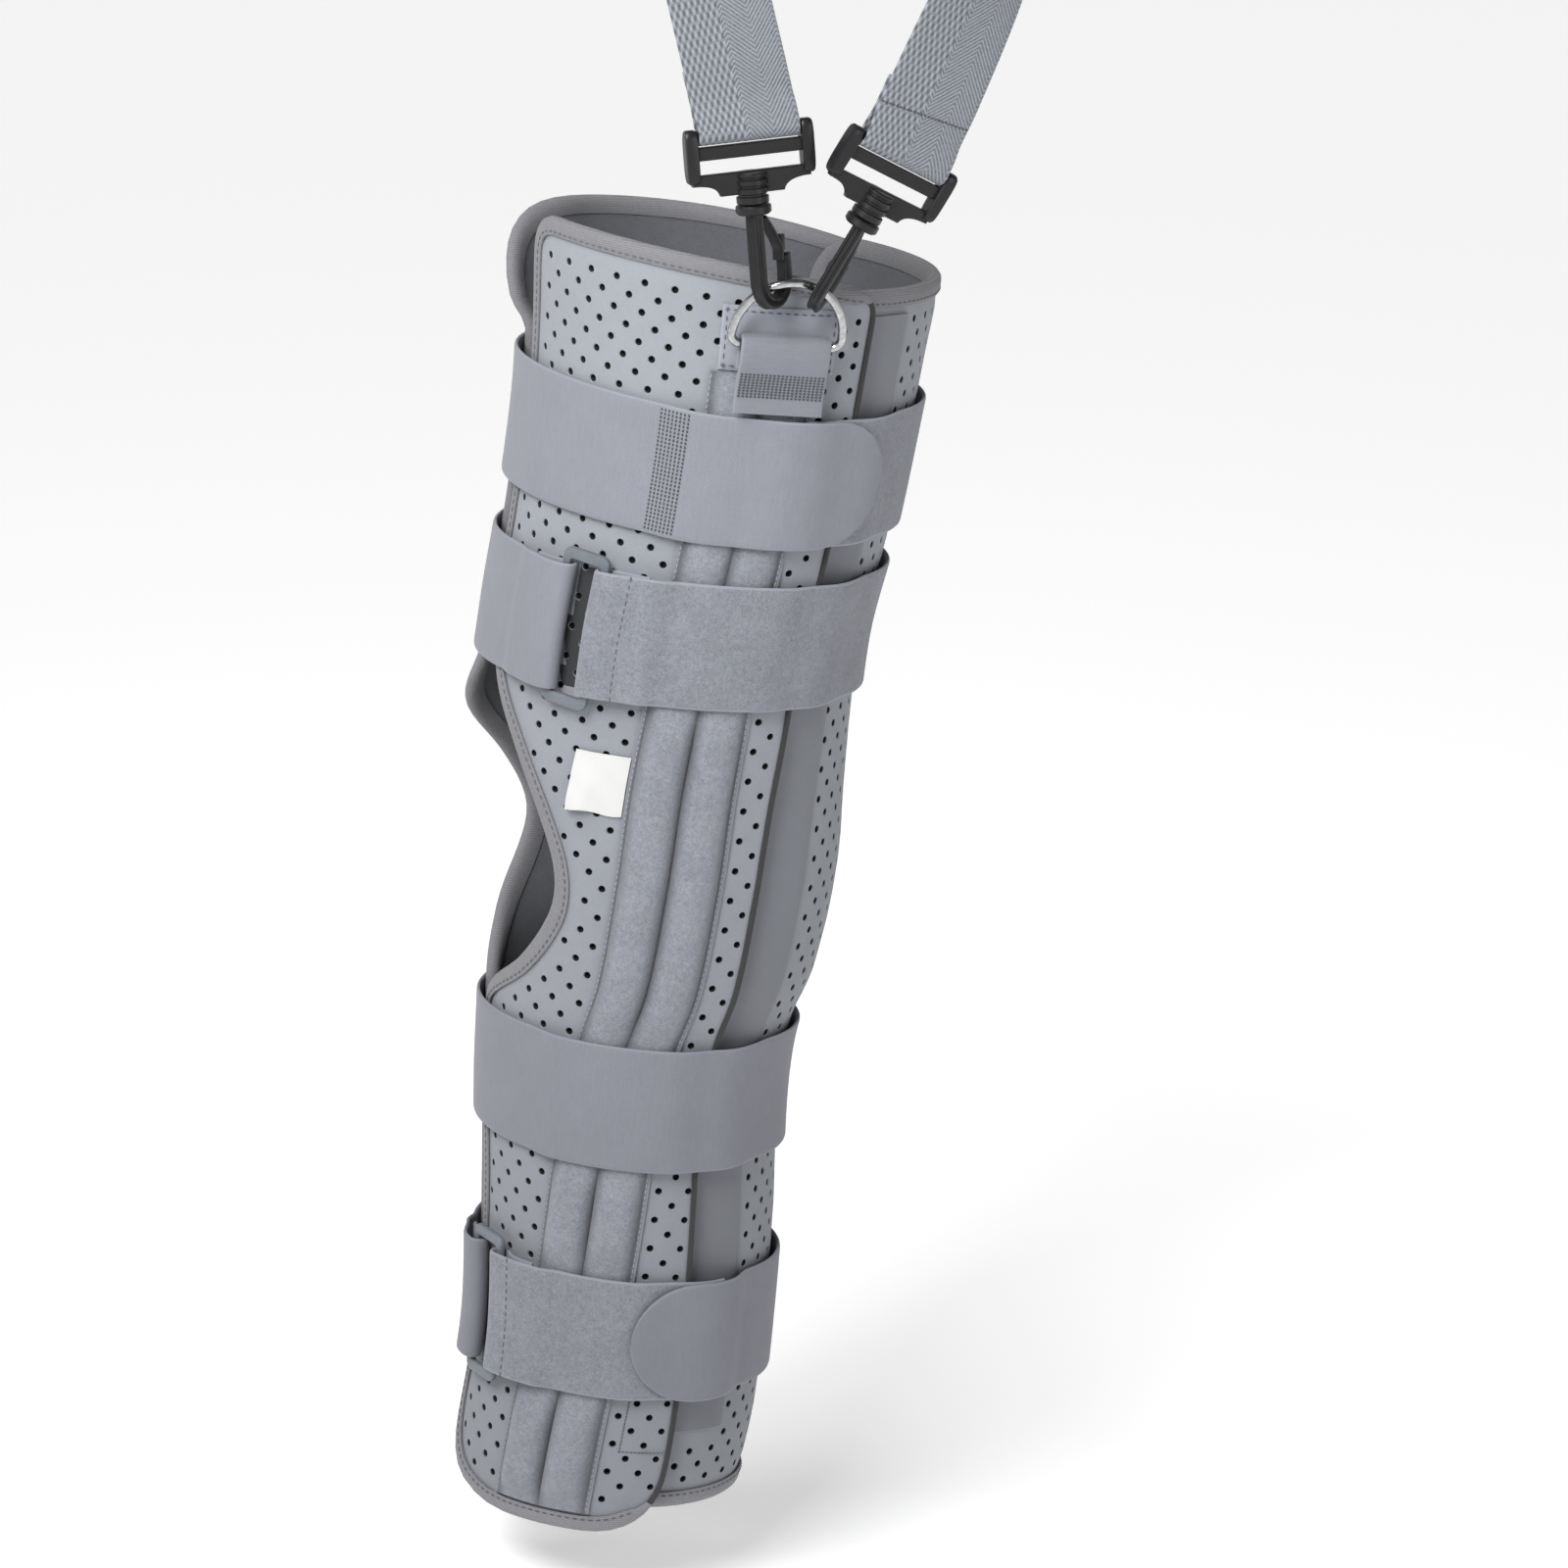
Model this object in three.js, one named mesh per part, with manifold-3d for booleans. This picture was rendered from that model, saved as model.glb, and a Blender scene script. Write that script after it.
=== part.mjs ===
// A knee splint: three padded panels wrapped round a leg, four straps,
// and a shoulder strap on two snap hooks.
// Millimetres. +Z runs up the leg, -X is the front (the kneecap side) and -Y the outer side of the leg.
// The origin is on the leg's axis, level with the deepest point of the kneecap window.
// Angles round the leg are degrees from the front, positive towards the outer side.
// A lift is a distance out from the leg, so the layers of cloth are stacked by their lifts.

import * as THREE from 'three';
import { mergeVertices } from 'three/addons/utils/BufferGeometryUtils.js';
import Module from 'manifold-3d';

const wasm = await Module();
wasm.setup();

// The leg side of the splint is an ellipse at each height.
const LEG = [
  { z: -300, centre: 8.5, halfDepth: 49.0, halfWidth: 42.5 },
  { z: -275, centre: 8.5, halfDepth: 49.5, halfWidth: 43 },
  { z: -235, centre: 11.0, halfDepth: 51.0, halfWidth: 44 },
  { z: -200, centre: 12.0, halfDepth: 50.5, halfWidth: 46 },
  { z: -155, centre: 10.0, halfDepth: 51.5, halfWidth: 48 },
  { z: -105, centre: 6.5, halfDepth: 52.0, halfWidth: 50 },
  { z: -75, centre: 6.5, halfDepth: 53.5, halfWidth: 50 },
  { z: -50, centre: 9.5, halfDepth: 58.0, halfWidth: 51 },
  { z: -10, centre: 8.0, halfDepth: 64.0, halfWidth: 53 },
  { z: 35, centre: 5.0, halfDepth: 66.0, halfWidth: 55 },
  { z: 85, centre: 6.0, halfDepth: 65.5, halfWidth: 60 },
  { z: 125, centre: 10.5, halfDepth: 67.0, halfWidth: 63 },
  { z: 180, centre: 14.0, halfDepth: 69.0, halfWidth: 66 },
  { z: 235, centre: 14.0, halfDepth: 74.0, halfWidth: 70 },
  { z: 260, centre: 14.0, halfDepth: 76.0, halfWidth: 72 },
];

// Front edge of the outer side panel, with the kneecap window.
const FRONT_EDGE = [
  { z: -285, angle: 4 },
  { z: -250, angle: 4 },
  { z: -200, angle: 12 },
  { z: -150, angle: 16 },
  { z: -85, angle: 13 },
  { z: -68, angle: 15 },
  { z: -49, angle: 38 },
  { z: -27, angle: 53 },
  { z: -10, angle: 56 },
  { z: 12, angle: 50.5 },
  { z: 36, angle: 40 },
  { z: 60, angle: 27 },
  { z: 85, angle: 19 },
  { z: 115, angle: 16.5 },
  { z: 205, angle: 21.5 },
  { z: 245, angle: 24 },
];

// Front edge of the inner side panel.
const MEDIAL_FRONT_EDGE = [
  { z: -285, angle: 4 },
  { z: -85, angle: 4 },
  { z: -68, angle: 6 },
  { z: -49, angle: 20 },
  { z: -27, angle: 37 },
  { z: -10, angle: 42 },
  { z: 12, angle: 33 },
  { z: 36, angle: 14 },
  { z: 56, angle: 5 },
  { z: 85, angle: 4 },
  { z: 205, angle: 6 },
  { z: 245, angle: 9 },
];

const REAR_EDGE = [
  { z: -285, angle: 114.5 },
  { z: -146, angle: 115.5 },
  { z: -67, angle: 119.5 },
  { z: -5, angle: 123 },
  { z: 55, angle: 128.5 },
  { z: 128, angle: 130 },
  { z: 245, angle: 131 },
];

// Middle line of the stay cover.
const STAY_LINE = [
  { z: -285, angle: 66 },
  { z: -223, angle: 68.5 },
  { z: -136, angle: 78 },
  { z: -68, angle: 87 },
  { z: 55, angle: 98.5 },
  { z: 128, angle: 99.5 },
  { z: 245, angle: 100.5 },
];

// How far the free front corners stand out from the leg.
const FLARE_START = 189;
const LATERAL_FLARE = [
  { z: -285, out: 5 },
  { z: -225, out: 0 },
  { z: 245, out: 0 },
];
const MEDIAL_FLARE = [
  { z: -285, out: 3 },
  { z: -225, out: 0 },
  { z: -75, out: 0 },
  { z: -35, out: 5 },
  { z: 12, out: 7 },
  { z: 36, out: 8 },
  { z: 64, out: 0 },
  { z: 90, out: 0 },
  { z: FLARE_START, out: 0 },
  { z: 200, out: 6 },
  { z: 215, out: 8.5 },
  { z: 240, out: 9 },
];
const FLARE_REACH = 36;

// Panels and their edge tape.
const PANEL_WALL = 4;
const SIDE_PANEL_LIFT = 6.5;
const BINDING_WIDTH = 7;
const BINDING_PROUD = 0.5;
const SEAM_GAP = 1.5;
const SIDE_TOP = 243;
const MEDIAL_TOP = 237;
const TOP_SLANT = 13;
const SLANT_START = 185;
const SIDE_BOTTOM = -279;
const LATERAL_CORNERS = { bottomFront: 46, topFront: 17, topRear: 14, bottomRear: 30 };
const MEDIAL_CORNERS = { bottomFront: 46, topFront: 36, topRear: 14, bottomRear: 30 };
const BACK_TOP = 229;
const BACK_BOTTOM = -270;
const BACK_CORNER = 24;
const BACK_LAP = 27;
const PANEL_COLUMNS = 6;
const BACK_COLUMNS = 8;
const SIDE_CROSS_STEPS = 8;
const BACK_CROSS_STEPS = 14;
const CORNER_STEPS = 4;
const TAPE_EDGE = 0.4;

// Heights at which every layer is shaped, closer together round the knee.
const KNEE_LOW = -91;
const KNEE_HIGH = 104;
const KNEE_STEP = 13;
const LIMB_STEP = 26;
const LIMB_LOW = KNEE_LOW - 7 * LIMB_STEP;
const LEVEL_CLEAR = 4;
// Extra heights near the ends of a panel, where its corners are round.
const END_HEIGHTS = [0, 1.5, 5, 11, 20];
const END_REACH = 30;

// Smooth fastening strips on the back panel.
const STRIP_LIFT = PANEL_WALL + 0.5;
const STRIP_WALL = 0.8;
const STRIP_HIDDEN = 12;
const STRIP_SHOWN = 26;
const STRIP_BOTTOM = -236;
const STRIP_TOP = 219;
const STRIP_COLUMNS = 3;

// Stay cover: two padded tubes side by side, pressed flatter under the straps.
const PANEL_FACE = SIDE_PANEL_LIFT + PANEL_WALL;
const COVER_LIFT = PANEL_FACE + 0.5;
const COVER_HALF = 20;
const COVER_HEM = 1;
const TUBE_RISE = 6;
const TUBE_RISE_STRAPPED = 2.2;
const COVER_BOTTOM = -270.5;
const COVER_TOP = 197;
const COVER_END = 14;
const COVER_COLUMNS = 6;
const TUBE_ROUNDNESS = 0.7;

// Straps, each 50 mm wide.
const STRAP_HALF = 25;
const STRAP_WALL = 1.6;
const THIGH_UPPER_Z = 156;
const THIGH_UPPER_RISE = 5;
const THIGH_LOWER_Z = 90.5;
const CALF_UPPER_Z = -98;
const CALF_LOWER_Z = -194;
const STRAP_HEIGHTS = [THIGH_UPPER_Z, THIGH_LOWER_Z, CALF_UPPER_Z, CALF_LOWER_Z];
const STRAP_SIDE_LIFT = PANEL_FACE + BINDING_PROUD + 0.9;
const STRAP_COVER_LIFT = COVER_LIFT + COVER_HEM + TUBE_RISE_STRAPPED + 0.5;
const STRAP_BACK_LIFT = STRIP_LIFT + STRIP_WALL + 1;
const STRAP_LAYER = STRAP_WALL + 1.1;
const STRAP_STEP = 7.2;
const TIP_BLUNT = 6;

// Each panel is made in three lengths that meet under two of the straps.
const PANEL_JOINS = [CALF_UPPER_Z, THIGH_LOWER_Z];
const PANEL_LENGTHS = ['lower', 'middle', 'upper'];
const JOIN_GAP = 0.3;

// Slide buckles.
const BUCKLE_HEIGHT = 62;
const BUCKLE_WIDTH = 20;
const BUCKLE_BAR = 3.2;
const BUCKLE_RAIL = 4.6;
const BUCKLE_WALL = 2.6;
const BAR_OFFSET = (BUCKLE_WIDTH - BUCKLE_BAR) / 2;
const FOLD_RADIUS = 3.4;
const BUCKLE_LIFT = PANEL_FACE + 0.6 + STRAP_WALL / 2 + FOLD_RADIUS;
const FOLD_RETURN = 17;
const THIGH_BUCKLE_ANGLE = 60.5;
const CALF_BUCKLE_ANGLE = 33;

// Blank woven label.
const LABEL = { low: 18.5, bend: 26, high: 42.5, width: 21, wall: 0.6, columns: 3, gap: 0.4 };

// Ring, its tab and the patch behind it.
const RING_ANGLE = 104;
const RING_Z = 210;
const RING_HALF = 20.8;
const RING_HEIGHT = 27;
const RING_CORNER = 4;
const RING_WIRE = 1.75;
const RING_LEAN = 20;
const RING_STEPS = 14;
const WIRE_SIDES = 8;
const PATCH = { from: 88, to: 119, low: 198, high: 223, wall: 1.5, columns: 4 };
const TAB_HALF = 17;
const TAB_WALL = 1.8;
const TAB_FOLD = RING_WIRE + 0.4 + TAB_WALL / 2;
const RING_LIFT = COVER_LIFT + PATCH.wall + 0.4 + TAB_WALL / 2 + TAB_FOLD;
const TAB_LOW = 183.5;
const TAB_BACK_LOW = 200;
const TAB_LOW_LIFT = 15.6;

// Snap hooks. Heights are measured up the hook from the inside of its bend.
const SHANK_HALF = 3.6;
const HOOK_THICK = 5;
const EYE_WIDTH = 13;
const TIP_WIDTH = 5;
const TIP_TOP = 14.5;
const FLANGE_LOW = 32;
const FLANGE_HIGH = 35.5;
const FLANGE_RADIUS = 6.6;
const SOCKET_LOW = 35.9;
const FRAME_Z = 48.2;
const SOCKET_RADIUS = 6;
const SOCKET_RIBS = { count: 3, top: -2, pitch: 3.1, depth: 0.8, half: 0.7 };
const POST_RADIUS = 2.6;
const BULB_RADIUS = 3.9;
const POST_PLAY = 0.5;
const EYE_CENTRE = SHANK_HALF + EYE_WIDTH / 2;
const GATE_HINGE = { out: SHANK_HALF + 1.5, up: 29 };
const GATE_WALL = 1.6;
const GATE_HALF = 2.2;
const GATE_THUMB = { depth: 3, width: 4, height: 6, up: 4.2 };
const GATE_END_UP = 12.2;

// Frame that the webbing loops through, above the swivel.
const FRAME_HALF = 23.8;
const EAR_WIDTH = 4.1;
const EAR_THICK = 7;
const EAR_LOW = -3;
const FRAME_THICK = 3.4;
const LOWER_SLOT = 5.2;
const MIDDLE_BAR = 5;
const UPPER_SLOT = 3;
const TOP_BAR = 3;
const FRAME_TOP = LOWER_SLOT + MIDDLE_BAR + UPPER_SLOT + TOP_BAR;
const FRAME_NECK_HALF = 12;
const FRAME_NECK_LOW = -8.5;
const FRAME_SHOULDER = -4;

// Where each hook hangs on the ring, how high the wire lies in its eye, how it is turned, in degrees,
// and the share of the shoulder strap that twists above it.
const FRONT_HOOK = { name: 'front', along: -8.5, wireUp: 3.25, lean: -10, hookTurn: 62 };
const REAR_HOOK = { name: 'rear', along: 10.5, wireUp: 2.85, lean: 25, hookTurn: 80 };
const HOOKS = [
  { ...FRONT_HOOK, legLean: -19, frameTurn: 17, twist: 0.3 },
  { ...REAR_HOOK, legLean: 18, frameTurn: 25, twist: 0.12 },
];

// Shoulder strap: 38 mm webbing, two legs and a round arch.
const WEBBING_HALF = 19;
const WEBBING_WALL = 1.5;
const ARCH_RADIUS = 128;
const WEBBING_RETURN = 26;
const WEBBING_SPLAY = 1.1;
const STRAP_LEG_STEPS = 8;
const ARCH_STEPS = 18;

const COLOURS = {
  cloth: { color: 0x9da3ab, roughness: 0.85, metalness: 0 },
  binding: { color: 0x70757d, roughness: 0.9, metalness: 0 },
  brushed: { color: 0x7b8087, roughness: 0.98, metalness: 0 },
  smooth: { color: 0x858b95, roughness: 0.7, metalness: 0 },
  label: { color: 0xf2f2f0, roughness: 0.8, metalness: 0 },
  plastic: { color: 0x6a6f76, roughness: 0.45, metalness: 0 },
  black: { color: 0x2b2c2e, roughness: 0.35, metalness: 0 },
  steel: { color: 0xd4d7da, roughness: 0.2, metalness: 1 },
  webbing: { color: 0x868b93, roughness: 0.8, metalness: 0 },
};

const UP = new THREE.Vector3(0, 0, 1);
const splint = new THREE.Group();

function addPiece(name, finish, geometry) {
  const material = new THREE.MeshStandardMaterial(COLOURS[finish]);
  const mesh = new THREE.Mesh(geometry, material);
  mesh.name = name;
  splint.add(mesh);
}

// Reading tables and placing points on the leg

const radians = THREE.MathUtils.degToRad;

function columnAt(table, column, z) {
  const last = table.length - 1;
  if (z <= table[0].z) return table[0][column];
  if (z >= table[last].z) return table[last][column];
  let row = 0;
  while (z > table[row + 1].z) row += 1;
  const slopeAt = (k) => {
    const below = table[Math.max(k - 1, 0)];
    const above = table[Math.min(k + 1, last)];
    return (above[column] - below[column]) / (above.z - below.z);
  };
  const span = table[row + 1].z - table[row].z;
  const t = (z - table[row].z) / span;
  const ease = t * t * (3 - 2 * t);
  const bend = t * (1 - t) ** 2 * slopeAt(row) - t * t * (1 - t) * slopeAt(row + 1);
  return table[row][column] * (1 - ease) + table[row + 1][column] * ease + bend * span;
}

function legNormal(angle, z) {
  const turn = radians(angle);
  const x = -Math.cos(turn) / columnAt(LEG, 'halfDepth', z);
  const y = -Math.sin(turn) / columnAt(LEG, 'halfWidth', z);
  return new THREE.Vector3(x, y, 0).normalize();
}

function onLeg(angle, z, lift) {
  const turn = radians(angle);
  const x = columnAt(LEG, 'centre', z) - columnAt(LEG, 'halfDepth', z) * Math.cos(turn);
  const y = -columnAt(LEG, 'halfWidth', z) * Math.sin(turn);
  return new THREE.Vector3(x, y, z).addScaledVector(legNormal(angle, z), lift);
}

function mmPerDegree(z, lift = PANEL_FACE) {
  const radius = (columnAt(LEG, 'halfDepth', z) + columnAt(LEG, 'halfWidth', z)) / 2;
  return radians(radius + lift);
}

const smoothStep = (from, to, value) => THREE.MathUtils.smoothstep(value, from, to);

// Closed solids from rings of points

function closedGeometry(points, triangles) {
  const geometry = new THREE.BufferGeometry();
  const coordinates = points.flatMap((point) => point.toArray());
  geometry.setAttribute('position', new THREE.Float32BufferAttribute(coordinates, 3));
  let volume = 0;
  for (const [a, b, c] of triangles) {
    volume += points[a].dot(new THREE.Vector3().crossVectors(points[b], points[c]));
  }
  geometry.setIndex(triangles.flatMap(([a, b, c]) => (volume > 0 ? [a, b, c] : [a, c, b])));
  geometry.computeVertexNormals();
  return geometry;
}

// Both faces of a thin wall are split along the same diagonals, so a twisted wall keeps its thickness.
function ringsSolid(rings, looped = false) {
  const sides = rings[0].length;
  const triangles = [];
  const quad = (a, b, c, d) => triangles.push([a, b, c], [a, c, d]);
  const count = looped ? rings.length : rings.length - 1;
  for (let i = 0; i < count; i += 1) {
    const here = i * sides;
    const next = ((i + 1) % rings.length) * sides;
    for (let k = 0; k < sides; k += 1) {
      const other = (k + 1) % sides;
      if (k < sides / 2) quad(here + k, here + other, next + other, next + k);
      else quad(here + other, next + other, next + k, here + k);
    }
  }
  if (!looped) {
    const far = (rings.length - 1) * sides;
    for (let k = 0; k < sides / 2 - 1; k += 1) {
      quad(k, sides - 1 - k, sides - 2 - k, k + 1);
      quad(far + k, far + k + 1, far + sides - 2 - k, far + sides - 1 - k);
    }
  }
  return closedGeometry(rings.flat(), triangles);
}

const limbLevels = [];
for (let z = LIMB_LOW; z < SIDE_TOP; z += LIMB_STEP) limbLevels.push(z);
const kneeLevels = [];
for (let z = KNEE_LOW + KNEE_STEP; z < KNEE_HIGH; z += LIMB_STEP) kneeLevels.push(z);
const closeLevels = [...limbLevels, ...kneeLevels, FLARE_START, FLARE_START + 10].sort((a, b) => a - b);

function levelsBetween(low, high, shared = limbLevels) {
  return [low, ...shared.filter((z) => z > low + LEVEL_CLEAR && z < high - LEVEL_CLEAR), high];
}

// A sheet over the leg: at each height it runs between two angles, with an inner and an outer lift.
function sheetOnLeg(levels, columns, rangeAt, innerLift, outerLift) {
  const rings = levels.map((z) => {
    const { from, to } = rangeAt(z);
    const angles = Array.from({ length: columns + 1 }, (_, i) => from + ((to - from) * i) / columns);
    const inner = angles.map((angle) => onLeg(angle, z, innerLift(angle, z)));
    const outer = angles.map((angle) => onLeg(angle, z, outerLift(angle, z)));
    return [...inner, ...outer.reverse()];
  });
  return ringsSolid(rings);
}

// Booleans

function solidOf(geometry) {
  const bare = geometry.index ? geometry.clone() : geometry;
  bare.deleteAttribute('normal');
  bare.deleteAttribute('uv');
  const merged = mergeVertices(bare, 1e-4);
  const vertProperties = new Float32Array(merged.attributes.position.array);
  const triVerts = new Uint32Array(merged.index.array);
  return new wasm.Manifold(new wasm.Mesh({ numProp: 3, vertProperties, triVerts }));
}

function geometryOf(solid) {
  const mesh = solid.getMesh();
  const geometry = new THREE.BufferGeometry();
  geometry.setAttribute('position', new THREE.Float32BufferAttribute(mesh.vertProperties, 3));
  geometry.setIndex(Array.from(mesh.triVerts));
  geometry.computeVertexNormals();
  return geometry;
}

// Panels and bindings

function trimmed(edge, startCut, endCut) {
  const lengths = [0];
  for (let i = 1; i < edge.length; i += 1) lengths.push(lengths[i - 1] + edge[i].distanceTo(edge[i - 1]));
  const total = lengths[edge.length - 1];
  const pointAt = (distance) => {
    let i = 1;
    while (i < edge.length - 1 && lengths[i] < distance) i += 1;
    const t = (distance - lengths[i - 1]) / (lengths[i] - lengths[i - 1]);
    return edge[i - 1].clone().lerp(edge[i], t);
  };
  const inside = edge.filter((_, i) => lengths[i] > startCut + 3 && lengths[i] < total - endCut - 3);
  return [pointAt(startCut), ...inside, pointAt(total - endCut)];
}

// A closed outline on the flat cloth: x is the distance round the leg, y the height.
function roundedOutline(edges, radii) {
  const outline = [];
  edges.forEach((edge, i) => {
    const nextRadius = radii[(i + 1) % edges.length];
    const line = trimmed(edge, radii[i], nextRadius);
    outline.push(...line);
    const next = edges[(i + 1) % edges.length];
    const [nextStart] = trimmed(next, nextRadius, 0);
    const curve = new THREE.QuadraticBezierCurve(line[line.length - 1], next[0], nextStart);
    outline.push(...curve.getPoints(CORNER_STEPS).slice(1, -1));
  });
  return outline;
}

function insetOutline(outline, distance) {
  const count = outline.length;
  return outline.map((point, i) => {
    const before = outline[(i + count - 1) % count];
    const after = outline[(i + 1) % count];
    const along = after.clone().sub(before).normalize();
    return new THREE.Vector2(point.x + along.y * distance, point.y - along.x * distance);
  });
}

const flatPoint = (angle, z) => new THREE.Vector2(angle * mmPerDegree(z), z);
const angleOf = (point) => point.x / mmPerDegree(point.y);

// A long edge, with points at the shared heights.
function longEdge(low, high, angleAt, shared = limbLevels) {
  return levelsBetween(low, high, shared).map((z) => flatPoint(angleAt(z), z));
}

// A top or bottom edge between two points of the cloth.
function crossEdge(start, finish, steps) {
  return Array.from({ length: steps + 1 }, (_, i) => start.clone().lerp(finish, i / steps));
}

const frontAngle = (z) => columnAt(FRONT_EDGE, 'angle', z);
const rearAngle = (z) => columnAt(REAR_EDGE, 'angle', z);
const medialFrontAngle = (z) => columnAt(MEDIAL_FRONT_EDGE, 'angle', z);

function sideOutline(front, top, corners) {
  const frontEdge = longEdge(SIDE_BOTTOM, top, front, closeLevels);
  const rearEdge = longEdge(SIDE_BOTTOM, top, rearAngle).reverse();
  const topEdge = crossEdge(frontEdge[frontEdge.length - 1], rearEdge[0], SIDE_CROSS_STEPS);
  const bottomEdge = crossEdge(rearEdge[rearEdge.length - 1], frontEdge[0], SIDE_CROSS_STEPS);
  const radii = [corners.bottomFront, corners.topFront, corners.topRear, corners.bottomRear];
  return roundedOutline([frontEdge, topEdge, rearEdge, bottomEdge], radii);
}

function backOutline() {
  const near = (z) => rearAngle(z) - BACK_LAP / mmPerDegree(z);
  const nearEdge = longEdge(BACK_BOTTOM, BACK_TOP, near);
  const farEdge = longEdge(BACK_BOTTOM, BACK_TOP, (z) => 360 - near(z)).reverse();
  const topEdge = crossEdge(nearEdge[nearEdge.length - 1], farEdge[0], BACK_CROSS_STEPS);
  const bottomEdge = crossEdge(farEdge[farEdge.length - 1], nearEdge[0], BACK_CROSS_STEPS);
  return roundedOutline([nearEdge, topEdge, farEdge, bottomEdge], Array(4).fill(BACK_CORNER));
}

function crossingRange(outline, z) {
  const found = [];
  outline.forEach((point, i) => {
    const next = outline[(i + 1) % outline.length];
    if ((point.y - z) * (next.y - z) > 0 || point.y === next.y) return;
    const t = (z - point.y) / (next.y - point.y);
    found.push((point.x + (next.x - point.x) * t) / mmPerDegree(z));
  });
  return { from: Math.min(...found), to: Math.max(...found) };
}

function panelLevels(outline, inset, shared) {
  const heights = outline.map((point) => point.y);
  const low = Math.min(...heights) + inset + 0.05;
  const high = Math.max(...heights) - inset - 0.05;
  const lowEnd = END_HEIGHTS.map((d) => low + d);
  const highEnd = END_HEIGHTS.map((d) => high - d).reverse();
  return [...lowEnd, ...levelsBetween(low + END_REACH, high - END_REACH, shared), ...highEnd];
}

function addPanel(name, outline, place, columns, shared) {
  const inset = BINDING_WIDTH + SEAM_GAP;
  const cloth = insetOutline(outline, inset);
  const levels = panelLevels(outline, inset, shared);
  const ringAt = (z) => {
    const { from, to } = crossingRange(cloth, z);
    const angles = Array.from({ length: columns + 1 }, (_, i) => from + ((to - from) * i) / columns);
    const inner = angles.map((angle) => place(angle, z, 0));
    const outer = angles.map((angle) => place(angle, z, PANEL_WALL));
    return [...inner, ...outer.reverse()];
  };
  PANEL_LENGTHS.forEach((length, i) => {
    const low = i === 0 ? [] : [PANEL_JOINS[i - 1] + JOIN_GAP / 2];
    const high = i === PANEL_JOINS.length ? [] : [PANEL_JOINS[i] - JOIN_GAP / 2];
    const after = low.length ? low[0] + LEVEL_CLEAR : -Infinity;
    const before = high.length ? high[0] - LEVEL_CLEAR : Infinity;
    const between = levels.filter((z) => z > after && z < before);
    addPiece(`${name}_panel_${length}`, 'cloth', ringsSolid([...low, ...between, ...high].map(ringAt)));
  });

  const inside = insetOutline(outline, BINDING_WIDTH);
  const at = (point, depth) => place(angleOf(point), point.y, depth);
  const tape = outline.map((point, i) => [
    at(inside[i], -BINDING_PROUD),
    at(point, TAPE_EDGE),
    at(point, PANEL_WALL - TAPE_EDGE),
    at(inside[i], PANEL_WALL + BINDING_PROUD),
  ]);
  addPiece(`${name}_binding`, 'binding', ringsSolid(tape, true));
}

// Places a point of a side panel: its top edge slopes down to the rear and its front corners stand out.
function sidePlace(sign, front, flare) {
  return (angle, z, depth) => {
    const backward = THREE.MathUtils.clamp((angle - front(z)) / (rearAngle(z) - front(z)), 0, 1);
    const height = z - TOP_SLANT * backward ** 2 * smoothStep(SLANT_START, SIDE_TOP, z);
    const distance = (angle - front(z)) * mmPerDegree(z);
    const nearness = 1 - smoothStep(0, FLARE_REACH, distance);
    const out = Math.max(columnAt(flare, 'out', z), 0) * nearness;
    return onLeg(sign * angle, height, SIDE_PANEL_LIFT + depth + out);
  };
}

addPanel('back', backOutline(), (angle, z, depth) => onLeg(angle, z, depth), BACK_COLUMNS, limbLevels);
const lateralPlace = sidePlace(1, frontAngle, LATERAL_FLARE);
const medialPlace = sidePlace(-1, medialFrontAngle, MEDIAL_FLARE);
const lateralOutline = sideOutline(frontAngle, SIDE_TOP, LATERAL_CORNERS);
const medialOutline = sideOutline(medialFrontAngle, MEDIAL_TOP, MEDIAL_CORNERS);
addPanel('lateral', lateralOutline, lateralPlace, PANEL_COLUMNS, closeLevels);
addPanel('medial', medialOutline, medialPlace, PANEL_COLUMNS, closeLevels);

// Fastening strips and stay covers, the same on both sides

const SIDES = [
  { name: 'lateral', sign: 1 },
  { name: 'medial', sign: -1 },
];

const stayAngle = (z) => columnAt(STAY_LINE, 'angle', z);

function tubeRise(z) {
  const clear = STRAP_HEIGHTS.map((height) => Math.abs(z - height) - STRAP_HALF);
  const freedom = smoothStep(2, 16, Math.min(...clear));
  const ends = smoothStep(0, COVER_END, z - COVER_BOTTOM) * smoothStep(0, COVER_END, COVER_TOP - z);
  return (TUBE_RISE_STRAPPED + (TUBE_RISE - TUBE_RISE_STRAPPED) * freedom) * ends;
}

// Heights for the cover: at the straps' edges, just clear of them, and between.
function coverLevels() {
  const strapped = STRAP_HEIGHTS.flatMap((height) => [-40, -26, 0, 26, 40].map((d) => height + d));
  const plain = [COVER_BOTTOM, COVER_BOTTOM + 8, -248, -31, -4, 23, COVER_TOP - 6, COVER_TOP];
  const sorted = [...strapped.filter((z) => z < COVER_TOP - 8), ...plain].sort((a, b) => a - b);
  return sorted.filter((z, i) => i === 0 || z - sorted[i - 1] > LEVEL_CLEAR);
}

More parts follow.
